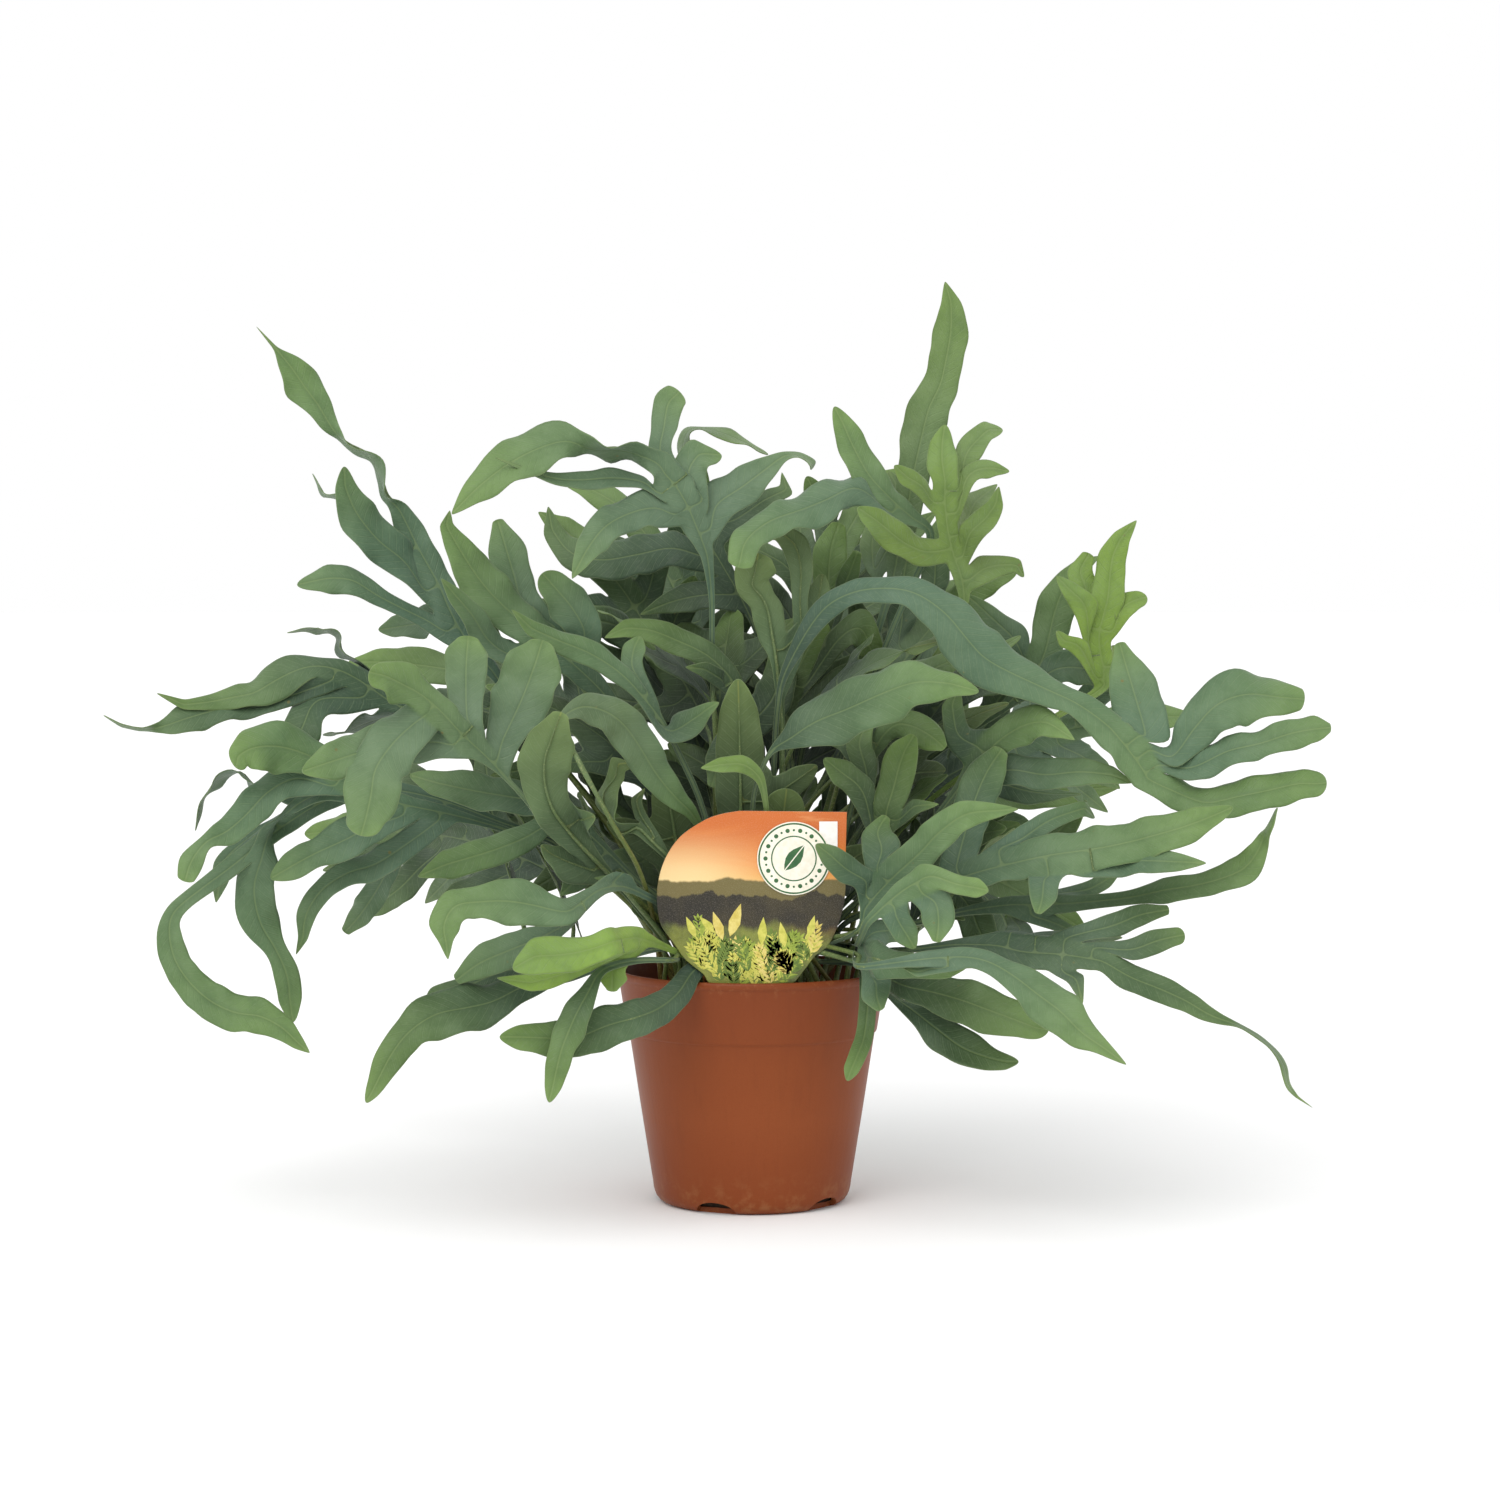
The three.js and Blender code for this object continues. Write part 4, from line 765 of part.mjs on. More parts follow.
    lobes: [
      { side: 1, at: 10, tip: [176.7, -64.1, 135.1], rows: [
        [151.3, -75, 129.2, -2.15, 1.69, 4.35], [163.7, -69.5, 133.3, -1.13, 1.68, 4.32], [175.8, -64.1, 134.9, -0.3, 0.79, 2.02],
      ] },
      { side: 1, at: 12, tip: [181.6, -78.4, 125.8], rows: [
        [158.2, -81.8, 119.8, -1.02, 2.08, 4.24], [169.3, -80.1, 123.4, -1.17, 2.26, 4.61], [178.6, -78.8, 125.4, -0.57, 1.73, 3.53],
      ] },
      { side: -1, at: 10, tip: [137.7, -91.1, 98.2], rows: [
        [135.3, -85.1, 108.4, -3.54, -0.68, -1.36],
      ] },
      { side: 1, at: 8, tip: [159.7, -41.3, 120.6], rows: [
        [139, -63.8, 123, -0.66, 2.51, 3.47], [150.9, -51.5, 122.5, 0.2, 2.03, 2.8],
      ] },
      { side: 1, at: 6, tip: [110.3, -34.5, 130.7], rows: [
        [114.2, -57.1, 125.7, -5.96, 0.11, 0.22], [110.9, -34.6, 129.9, -1.74, -0.69, -1.29],
      ] },
    ] },
  { name: 'frond_32', tint: -0.1, stalk: 3, tip: [150.4, -142.8, 80],
    axis: [
      [42.4, -21, 88.6, 0.04, 1.24, 0.54, 1.2], [24.4, -33.2, 115.2, 0.01, 1.26, 0.36, 1.18], [42.8, -74.3, 117.5, -0.09, -0.14, 1.16, 1.1],
      [43.1, -97.1, 114.5, -0.1, 0.79, 1.16, 0.9], [59.4, -104.6, 117, -0.17, 1.3, 1.93, 0.55], [70.7, -107.8, 118.8, -0.26, 2.11, 3.12, 0.55],
      [80.2, -110.7, 119.9, -0.08, 2.49, 3.69, 0.55], [89.2, -114.2, 120.2, 0.74, 2.58, 3.83, 0.55], [97.7, -118.5, 118.4, 1.38, 2.7, 4.04, 0.55],
      [106.6, -120.5, 113.3, 3.42, 2.85, 4.41, 0.5], [115.3, -124, 106.8, 5.22, 3.88, 6.03, 0.5], [124.7, -128.4, 100, 6.46, 4.19, 6.55, 0.5],
      [132.8, -133.1, 92.1, 4.47, 2.92, 4.55, 0.5], [140.9, -137.4, 86.6, 2.03, 1.57, 2.42, 0.5],
    ],
    lobes: [
      { side: -1, at: 6, tip: [61.6, -104.1, 115.3], rows: [
        [74.4, -109, 115.2, -1.07, 1.45, 2.04], [68, -106.7, 113.2, 0.2, 1.41, 1.91],
      ] },
    ] },
  { name: 'frond_33', tint: 0.45, stalk: 2, tip: [123.5, -92.8, 87.6],
    axis: [
      [26.9, -34.3, 88.6, -0.25, 1.3, 0.25, 1.2], [26.1, -22.6, 107.7, -0.2, 1.29, 0.15, 1.18], [34.2, -24.3, 108.5, -0.03, 0.58, 1.22, 0.9],
      [49.7, -46.1, 110.1, 1.23, 0.91, 1.97, 0.55], [56.8, -60.5, 106, 2.15, 1.34, 2.91, 0.55], [64.3, -72.9, 103.6, 2.12, 2.05, 4.39, 0.55],
      [73.9, -76.6, 101.9, 1.81, 3.11, 6.6, 0.5], [85.1, -80.3, 99.4, 2.95, 3.93, 8.37, 0.5], [97.8, -84.3, 95.3, 3.56, 4.02, 8.57, 0.5],
      [109.7, -88.2, 91.2, 2.88, 3.12, 6.65, 0.5], [118.2, -91.1, 88.2, 1.44, 1.96, 4.16, 0.5],
    ],
    lobes: [
      { side: -1, at: 4, tip: [112, -80.8, 72.5], rows: [
        [68.8, -68.9, 92.1, -3.1, -1.62, -2.75], [78.4, -72.7, 84.9, -4.52, -3.18, -5.3], [88.4, -75.5, 77.7, -3.99, -3.72, -6.1],
        [97.9, -77.7, 74.2, -1.99, -3.23, -5.19], [106.6, -79.6, 72.3, -0.62, -1.93, -3.07],
      ] },
    ] },
  { name: 'frond_34', tint: -0.05, stalk: 2, tip: [89.9, -90.2, 114],
    axis: [
      [34.3, -33.6, 88.6, -0.27, 1.32, 0.14, 1.2], [23.6, -43.5, 115.6, -0.29, 1.28, 0.08, 1.18], [45.8, -71.7, 113.3, -0.27, 0.95, 1.15, 0.9],
      [48.4, -75.9, 115.8, -1.41, 4.82, 5.83, 0.55], [51.2, -88.5, 117.1, 0.91, 5.69, 6.82, 0.55], [60.5, -87.4, 114.5, 1.4, 4.64, 5.6, 0.5],
      [71.2, -88.7, 113, 0.68, 3.47, 4.16, 0.5], [81.7, -89.8, 112.3, 0, 2.55, 3.04, 0.5],
    ],
    lobes: [
      { side: -1, at: 3, tip: [54, -85.5, 94.9], rows: [
        [52, -77.6, 105.7, -6.27, -1.68, -2.32], [52.1, -81.1, 100.2, -5.96, -1.36, -1.89], [53.6, -85.3, 95.7, -1.88, -0.63, -0.86],
      ] },
      { side: 1, at: 3, tip: [65.4, -55.3, 121.9], rows: [
        [51.2, -68.8, 125.8, -4.94, 3.3, 4.79], [59.4, -61.5, 126, 0.92, 3.48, 4.69],
      ] },
    ] },
  { name: 'frond_35', tint: 0.35, stalk: 2, tip: [39.9, -79, 64.2],
    axis: [
      [20, -38, 88.6, 0.76, 1.11, 0.07, 1.2], [21.6, -24.4, 108, 0.76, 1.07, 0.04, 1.18], [22.2, -24.7, 110.5, 0.63, 0.83, 1.04, 0.9],
      [33.6, -13.1, 113.7, 1.9, 2.31, 2.9, 0.55], [40.5, -5.8, 110.4, 2.29, 2.64, 3.33, 0.55], [47.5, -11.9, 115.8, 2.1, 2.35, 2.96, 0.55],
      [50, -44.9, 101.8, 3.76, 0.47, 0.67, 0.5], [48.1, -59.4, 82, 3.65, -0.67, -0.93, 0.5], [44.8, -69.1, 74.4, 3.48, -0.96, -1.32, 0.5],
      [41.7, -75.4, 68.4, 3.09, -0.84, -1.16, 0.5],
    ],
    lobes: [
      { side: 1, at: 4, tip: [57.5, -30.5, 89.8], rows: [
        [56.6, -15.8, 112.4, 1.91, 2.1, 2.64], [58.6, -25.8, 105.2, 2.54, 0.29, 0.41],
      ] },
    ] },
  { name: 'frond_36', tint: -0.4, stalk: 5, tip: [2.6, -31.2, 286.2],
    axis: [
      [4.6, -7.3, 88.6, -1.35, -0.04, 0.1, 1.2], [6.5, -8.7, 114, -1.31, -0.04, 0.06, 1.18], [8.2, -9.5, 134, -1.26, -0.04, 0.13, 1.15],
      [10.7, -10.4, 157.7, -1.17, -0.04, 0.12, 1.1], [12.8, -11.8, 182.3, -1.09, -0.04, 0.06, 1.05], [13.1, -14, 204.7, -1.31, -0.03, -0.06, 0.9],
      [12.2, -16.3, 222.5, -1.75, -0.07, -0.13, 0.9], [11.5, -17.2, 229.8, -1.93, -0.1, -0.18, 0.9], [10.8, -18.2, 236.9, -2.26, -0.14, -0.26, 0.55],
      [9.8, -19.1, 243.9, -3.56, -0.32, -0.59, 0.55], [8.7, -20, 250.3, -6, -0.56, -1.04, 0.55], [6.9, -22.6, 260.7, -6.72, -0.96, -1.76, 0.5],
      [4.3, -24.7, 266.8, -5.22, -1.7, -3.08, 0.5], [0, -27.1, 272.4, -7.1, -1.03, -1.91, 0.5], [1.3, -29.2, 278, -8.47, 0.91, 1.69, 0.5],
      [2.1, -31.2, 283.2, -6.8, 0.61, 1.14, 0.5],
    ],
    lobes: [
      { side: -1, at: 7, tip: [7.9, -8.2, 294.3], rows: [
        [20.9, -15.4, 248.4, 3.37, -0.41, -0.87], [20.9, -13.4, 265.9, 3.49, -0.02, -0.05], [21.4, -11.6, 279.8, 5.22, 0.25, 0.55],
        [18.3, -10, 290.8, 5.18, 1.55, 3.31], [11.4, -8.8, 295.6, 1.12, 1.63, 3.34],
      ] },
      { side: -1, at: 9, tip: [30.9, -1.1, 277.2], rows: [
        [26.2, -10.9, 258, 3.08, -1.73, -2.39], [29.8, -4.9, 269.3, 5.11, -0.83, -1.22], [30.8, -1.1, 276.4, 1.74, -0.15, -0.22],
      ] },
    ] },
  { name: 'frond_37', tint: 0.45, stalk: 4, tip: [32.9, 15.6, 255.9],
    axis: [
      [12, 0, 88.6, -1.35, -0.05, 0.05, 1.2], [13, -0.9, 114, -1.31, -0.05, 0.04, 1.18], [14.5, -3, 134.9, -1.23, -0.07, 0.1, 1.13],
      [16.5, -5.6, 159.5, -1.11, -0.05, 0.06, 1.07], [16.7, -4, 182.2, -1.32, -0.05, -0.11, 0.9], [15, 2, 205.4, -1.9, -0.01, -0.03, 0.9],
      [15.1, 4, 213.5, -3.06, 0.06, 0.14, 0.55], [15.8, 6, 220.8, -4.27, 0.28, 0.66, 0.55], [17.8, 8, 228.4, -5.03, 0.74, 1.73, 0.55],
      [20.4, 10, 235.6, -5.89, 0.82, 1.93, 0.55], [25.8, 12.3, 245.8, -5.75, 1.42, 3.31, 0.5], [30.3, 14.4, 252.4, -4, 1.2, 2.78, 0.5],
    ],
    lobes: [
      { side: -1, at: 6, tip: [60.9, 22, 238.9], rows: [
        [31.1, 9.3, 225, 2.49, -1, -3.63], [42.7, 14.2, 231.9, 2.63, -1.41, -5.1], [55.4, 19.6, 237.1, 1.3, -0.91, -3.3],
      ] },
      { side: -1, at: 8, tip: [55.3, 17, 239.9], rows: [
        [38.2, 12, 248, 3.38, -1.19, -4.08], [48, 14, 253.3, -2.34, -2.65, -9.02], [52.6, 15.9, 244.4, -5.13, -0.78, -2.71],
      ] },
    ] },
  { name: 'frond_38', tint: 0.3, stalk: 4, tip: [39.3, 35.6, 300.5],
    axis: [
      [9.3, 27.6, 88.6, -1.33, 0.17, 0.14, 1.2], [12, 24.2, 114.2, -1.3, 0.16, 0.1, 1.18], [14.6, 24.4, 138.5, -1.22, 0.16, 0.12, 1.13],
      [17.6, 27.9, 167, -1.1, 0.14, 0.15, 1.07], [21.6, 26.4, 193.9, -1.32, 0.17, 0.26, 0.9], [27, 27.4, 220.8, -1.32, 0.17, 0.26, 0.9],
      [31.2, 28.5, 241.6, -1.65, 0.18, 0.29, 0.9], [32.6, 29, 251.6, -3, 0.19, 0.31, 0.55], [33.4, 29.5, 260.7, -4.77, 0.27, 0.43, 0.55],
      [34.2, 30, 270.2, -6.27, 0.3, 0.48, 0.55], [34.6, 31.7, 280.9, -7.61, 0.41, 0.66, 0.5], [36, 33.7, 290.8, -7, 0.99, 1.59, 0.5],
      [38.8, 35.6, 299, -3.4, 0.72, 1.15, 0.5],
    ],
    lobes: [
      { side: -1, at: 7, tip: [46.4, -4, 287.4], rows: [
        [40.5, 13.9, 270.2, 3.65, -0.88, -1.58], [43.3, 5.5, 278.1, 4.11, -0.86, -1.57], [46.1, -4, 286.4, 2.05, -0.42, -0.76],
      ] },
      { side: 1, at: 8, tip: [-9.9, 41.5, 289.1], rows: [
        [17.1, 33.9, 279.1, -3.8, -2.46, -3.87], [8.1, 36.5, 285.5, -2.79, -3.05, -4.67], [-1.8, 39.3, 290.4, -0.88, -3, -4.46],
      ] },
    ] },
  { name: 'frond_39', tint: 0.1, stalk: 3, tip: [82.8, -41.3, 202.3],
    axis: [
      [17.3, -11.8, 88.6, -1.31, 0.17, 0.25, 1.2], [21.3, -8.9, 113.6, -1.29, 0.17, 0.17, 1.18], [29.2, -14.8, 134.6, -1.06, 0.1, 0.51, 1.1],
      [38.4, -21.1, 157, -1.27, 0.16, 0.29, 0.9], [44, -21.9, 178.9, -1.24, 0.21, 0.38, 0.9], [47.8, -21.4, 188.7, -1.49, 0.34, 0.6, 0.9],
      [49.9, -21.4, 193.5, -1.73, 0.43, 0.76, 0.9], [52.1, -21.7, 198.2, -2.13, 0.6, 1.05, 0.55], [54.6, -22.3, 202.9, -2.83, 0.96, 1.67, 0.55],
      [57.1, -23.8, 207.3, -3.71, 1.2, 2.11, 0.55], [62.8, -27.4, 212.2, -1.23, 3.27, 5.32, 0.5], [70.3, -31.7, 211.1, 2.36, 3.62, 5.93, 0.5],
      [77.7, -37, 207, 3.56, 2.88, 4.83, 0.5], [82.1, -41.2, 202.9, 1.49, 0.91, 1.54, 0.5],
    ],
    lobes: [
      { side: 1, at: 8, tip: [92.9, -5, 241], rows: [
        [64.7, -16.7, 226.7, -6.09, 3.23, 4.66], [80.2, -10.5, 236.1, -2.69, 3.91, 5.31], [91.4, -5, 240.4, -1.17, 2.39, 3.21],
      ] },
      { side: 1, at: 6, tip: [28, -7, 204.4], rows: [
        [41.7, -15, 203.9, -3.45, -2.4, -3.87], [33.7, -10.5, 206.7, -0.31, -2.49, -3.82],
      ] },
    ] },
  { name: 'frond_40', tint: 0.1, stalk: 3, tip: [137.2, -55.9, 206.6],
    axis: [
      [24.7, -13.7, 88.6, -1.05, 0.77, 0.36, 1.2], [29.3, -1.1, 112.8, -1.04, 0.76, 0.24, 1.18], [37.1, -11.4, 129.5, -0.7, 0.53, 0.78, 1.1],
      [50.7, -24.7, 144.3, -0.75, 0.55, 1, 0.9], [68.1, -30.9, 157.8, -0.89, 0.48, 0.89, 0.9], [85.5, -32.9, 179.6, -1.35, 0.53, 1.01, 0.9],
      [89.7, -32.3, 185.4, -1.88, 0.67, 1.27, 0.55], [94.7, -32.2, 192.6, -2.72, 1.07, 2.03, 0.55], [100.6, -32.8, 199.4, -3.29, 1.82, 3.4, 0.55],
      [106.9, -34.5, 205.6, -4.35, 2.4, 4.5, 0.55], [115.9, -40.5, 211.9, -2.73, 4.07, 7.39, 0.5], [125.3, -46.8, 213.9, 1.32, 3.43, 6.18, 0.5],
      [132.9, -52.4, 209.5, 1.41, 1.16, 2.14, 0.5],
    ],
    lobes: [
      { side: 1, at: 8, tip: [90, -14, 226.6], rows: [
        [89.3, -26.8, 207.5, -5.13, -1.82, -3.29], [87.1, -19.2, 220.2, -4.79, 0, 0],
      ] },
      { side: -1, at: 7, tip: [162.6, -50.2, 188], rows: [
        [112.1, -34.7, 192.7, -0.65, -2.69, -6.72], [126, -39.5, 190.8, -0.41, -2.69, -6.72], [140.6, -44.4, 192.4, -0.2, -2.35, -5.88],
        [153.9, -48, 191.3, -0.92, -1.47, -3.69],
      ] },
    ] },
  { name: 'frond_41', tint: 0, stalk: 2, tip: [-52.4, -55.6, 196.8],
    axis: [
      [-5.9, -40.2, 88.6, -1.25, -0.46, -0.19, 1.2], [-9.5, -40.6, 114, -1.23, -0.46, -0.12, 1.18], [-22.4, -42, 137.1, -1.07, -0.41, -0.67, 0.9],
      [-30.9, -45, 150.3, -0.99, -0.49, -0.78, 0.9], [-37, -46.6, 156.8, -1, -0.64, -1.02, 0.9], [-43.3, -48.3, 162.9, -1.23, -0.83, -1.3, 0.9],
      [-49.6, -50, 168.7, -1.66, -1.17, -1.84, 0.55], [-56.4, -50.6, 167, -1.45, 9.63, -3.03, 0.5], [-61.5, -51.6, 174.4, -3.19, 10.55, -1.91, 0.5],
      [-63.1, -52.8, 183, -2.97, 10.67, -0.19, 0.5], [-58.4, -54, 190.3, -3.53, 0.91, 1.53, 0.5], [-57.1, -54.9, 196.4, -3.17, 1.74, 2.81, 0.5],
    ],
    lobes: [
      { side: -1, at: 5, tip: [-46.2, -36.3, 185], rows: [
        [-48.1, -43.5, 173.8, 2.4, 0.54, 0.84], [-49.9, -40, 180.1, 2.55, -0.29, -0.45],
      ] },
    ] },
  { name: 'frond_42', tint: -0.7, stalk: 3, tip: [-22, -62.1, 195],
    axis: [
      [3.3, -41.4, 88.6, -1.35, -0.05, 0.05, 1.2], [4.3, -42.4, 114, -1.31, -0.04, 0.03, 1.18], [6.4, -43.2, 135.8, -1.17, -0.05, 0.13, 1.1],
      [7.5, -45.5, 158.9, -1.07, -0.03, -0.06, 0.9], [6.4, -49, 174.2, -1.06, -0.06, -0.09, 0.9], [4.4, -53.5, 187.3, -1.62, -0.32, -0.52, 0.9],
      [1, -55.7, 193, -2.4, -1.09, -1.71, 0.55], [-4.9, -57.4, 196.5, -0.77, -2.49, -3.62, 0.5], [-13.3, -59.6, 196.2, 0.35, -2.26, -3.27, 0.5],
    ],
    lobes: [
    ] },
  { name: 'frond_43', tint: 0.31, stalk: 4, tip: [-100.2, 93.5, 306.6],
    axis: [
      [-2.8, 18.4, 88.6, -1.32, -0.16, -0.22, 1.2], [-8.6, 23.8, 113.9, -1.3, -0.16, -0.14, 1.18], [-11.6, 24.7, 140.7, -1.21, -0.16, -0.18, 1.13],
      [-16.9, 28.7, 171.8, -1.09, -0.13, -0.2, 1.07], [-24, 37.2, 199, -1.37, -0.21, -0.44, 0.9], [-27.2, 42, 208.3, -4.41, -0.68, -1.47, 0.55],
      [-30.7, 47, 217.6, -5.48, -0.99, -2.12, 0.55], [-34.7, 52.1, 226.8, -5.6, -1.13, -2.43, 0.55], [-39.1, 57.5, 235.9, -5.77, -1.3, -2.78, 0.55],
      [-43.8, 62.8, 244.8, -5.73, -1.43, -3.06, 0.55], [-48.9, 67.7, 253.7, -5.1, -1.4, -3, 0.55], [-54.4, 72, 262.3, -4.76, -1.46, -3.12, 0.55],
      [-60.3, 76.1, 270.9, -5.55, -1.73, -3.71, 0.55], [-68.7, 79, 281.1, -6.03, -2.59, -5.52, 0.5], [-78.3, 83.2, 290.6, -5.44, -2.89, -6.14, 0.5],
      [-88.8, 88.2, 299.1, -3.45, -2.28, -4.82, 0.5],
    ],
    lobes: [
      { side: 1, at: 5, tip: [-78.9, 56.9, 226], rows: [
        [-45.5, 46.5, 217.3, -2.49, -2.52, -6.44], [-56.8, 49.7, 219.6, -1.72, -2.92, -7.45], [-67.9, 53.2, 222.4, -1.65, -2.19, -5.6],
      ] },
      { side: 1, at: 7, tip: [-79.5, 1.2, 248.3], rows: [
        [-51.3, 37.5, 236.4, -2.36, -3.59, -5.24], [-61, 26.2, 240, -1.2, 5.61, -2.85], [-70.4, 14, 244, -1.67, -3.06, -4.46],
      ] },
      { side: 1, at: 9, tip: [-81.3, 20.4, 259.4], rows: [
        [-60.3, 47.3, 253.2, -2.73, -3.29, -7], [-70.8, 34.2, 256.6, -1.7, -3.25, -6.89],
      ] },
      { side: 1, at: 11, tip: [-108.3, 40.8, 261.2], rows: [
        [-72.2, 63.8, 263.1, 0.13, -3.79, -5.54], [-84.4, 56.6, 262.6, -0.15, 5.21, -2.79], [-96.4, 49, 262, 0.46, -3.16, -4.61],
      ] },
      { side: -1, at: 5, tip: [-3.4, 58, 237.3], rows: [
        [-17.4, 47.7, 221.5, 5.58, -1.42, -4.43], [-10.2, 52.6, 229.2, 5.14, -1.42, -4.43],
      ] },
      { side: -1, at: 7, tip: [-4.2, 77.6, 266.6], rows: [
        [-24.5, 59.1, 239.1, 5.33, -1.66, -4.35], [-17.3, 65.2, 247.9, 6.04, -1.78, -4.66], [-10.5, 71.4, 257, 4.8, -1.26, -3.33],
      ] },
      { side: -1, at: 9, tip: [-25.8, 50.7, 276.9], rows: [
        [-35.1, 60, 257, 6.26, -1.36, -3.87], [-30, 56.2, 266.8, 6.34, -1.01, -2.9],
      ] },
      { side: -1, at: 11, tip: [-44.7, 73.6, 293.6], rows: [
        [-46.6, 73.2, 273.3, 6.17, -1.36, -2.89], [-44.5, 73.5, 283.3, 6.42, -0.29, -0.62],
      ] },
    ] },
  { name: 'frond_44', tint: 0.48, stalk: 3, tip: [-173.2, 152.2, 123.5],
    axis: [
      [-3.7, 6.8, 88.6, -1.15, -0.69, -0.1, 1.2], [-9.4, 12.7, 114, -1.07, -0.77, -0.04, 1.18], [-17.5, 20.5, 130.7, -1.01, -0.37, -0.47, 1.1],
      [-29.8, 33.5, 142.9, -1.01, -1.1, -1.46, 0.9], [-38.6, 43.5, 147.8, -1.89, -2.33, -3.07, 0.55], [-48, 52.9, 151.9, -2.15, -3.58, -4.67, 0.55],
      [-58.1, 62.8, 155, -1.94, -4.43, -5.72, 0.55], [-68.7, 74.2, 157.2, -1.27, -4.36, -5.59, 0.55], [-79.9, 88, 158.2, -0.7, -4.58, -5.84, 0.55],
      [-91.4, 102.4, 158.2, -0.09, -4.91, -6.25, 0.55], [-103, 114.7, 157.4, 0.54, -4.76, -6.06, 0.55], [-114.5, 125.2, 155.6, 1.23, -4.43, -5.67, 0.55],
      [-126.1, 134.9, 153, 1.21, -4.14, -5.29, 0.55], [-139.1, 137.8, 148.6, 3.7, -5.68, -7.42, 0.5], [-151.6, 141.9, 142.1, 4.91, -5.13, -6.85, 0.5],
      [-163, 146.8, 133.7, 4.31, -3.21, -4.39, 0.5],
    ],
    lobes: [
      { side: 1, at: 5, tip: [-80.6, 33.6, 136.6], rows: [
        [-60.3, 45.4, 145.2, 3.55, -6.24, -5.95], [-70.3, 35.8, 141.4, 3.14, -6.11, -5.76],
      ] },
      { side: 1, at: 7, tip: [-99.4, 19.3, 135.5], rows: [
        [-79, 45, 147.6, 4.45, -4.1, -4.62], [-88.7, 27.8, 141.5, 3.61, -4.37, -4.76],
      ] },
      { side: 1, at: 9, tip: [-124.8, 83.6, 130], rows: [
        [-102.9, 96.5, 144.7, 4.54, -3.91, -3.98], [-113.3, 90.1, 136.4, 3.57, -4.53, -4.35],
      ] },
      { side: 1, at: 11, tip: [-146.2, 150.1, 117], rows: [
        [-124.6, 132, 138.5, 5.87, -3.23, -3.58], [-134.4, 140.4, 126.9, 4.89, -4.07, -4.29],
      ] },
      { side: -1, at: 4, tip: [-40.5, -4.7, 199.3], rows: [
        [-39.9, 31.4, 165.3, 6.74, 0.22, 0.37], [-39.6, 20.7, 176.7, 7.41, 0.11, 0.19], [-39.9, 8.5, 188.1, 5.58, 0.23, 0.4],
      ] },
      { side: -1, at: 6, tip: [-80.2, 42.4, 207.8], rows: [
        [-65, 57.9, 173.1, 6.27, 1.17, 2.29], [-68.9, 53.7, 185.2, 6.83, 1.38, 2.7], [-74, 48.6, 196.9, 2.46, -4.79, 1.44],
      ] },
      { side: -1, at: 8, tip: [-109.1, 120.9, 195.6], rows: [
        [-95.1, 102.8, 172.7, 5.4, 2.59, 4.15], [-102.4, 113.1, 183.8, 5.77, 1.89, 3.1],
      ] },
      { side: -1, at: 10, tip: [-136.7, 83.6, 205.9], rows: [
        [-117.4, 113.2, 172.4, 4.41, 3.36, 3.68], [-124.1, 109.9, 183.5, 5.32, 3.1, 3.51], [-130.6, 100.1, 194.7, 3.93, 2.46, 2.78],
      ] },
    ] },
  { name: 'frond_45', tint: 0.33, stalk: 3, tip: [182.9, 183.3, 172.3],
    axis: [
      [-18.3, 11.2, 88.6, -1.25, 0.31, 0.41, 1.2], [-8.7, 17.2, 113.9, -1.24, 0.35, 0.27, 1.18], [7.4, 32, 129.5, -0.71, 0.39, 0.85, 1.1],
      [26.7, 44.4, 140.5, -1.53, 0.72, 1.62, 0.55], [34.3, 55.9, 146.1, -3.16, 1.62, 3.62, 0.55], [42.5, 69.1, 151.1, -3.41, 2.13, 4.75, 0.55],
      [51.3, 83.4, 155.4, -3.01, 2.24, 4.98, 0.55], [60.5, 97.7, 159.2, -2.89, 2.6, 5.75, 0.55], [70.3, 111.9, 162.4, -2.56, 2.85, 6.3, 0.55],
      [80.5, 126.2, 164.9, -1.88, 2.69, 5.93, 0.55], [91.1, 140.6, 166.8, -1.38, 2.72, 5.98, 0.55], [102.1, 155, 168, -0.99, 3.02, 6.64, 0.55],
      [113.4, 169.4, 168.3, -0.32, 3.01, 6.61, 0.55], [124.9, 183.8, 168.2, -0.3, 2.79, 6.14, 0.55], [139.4, 183.7, 169.3, -0.34, 3.46, 7.62, 0.5],
      [153.9, 183.6, 170.4, -0.27, 3.46, 7.62, 0.5], [168.4, 183.5, 171.4, -0.15, 2.49, 5.49, 0.5],
    ],
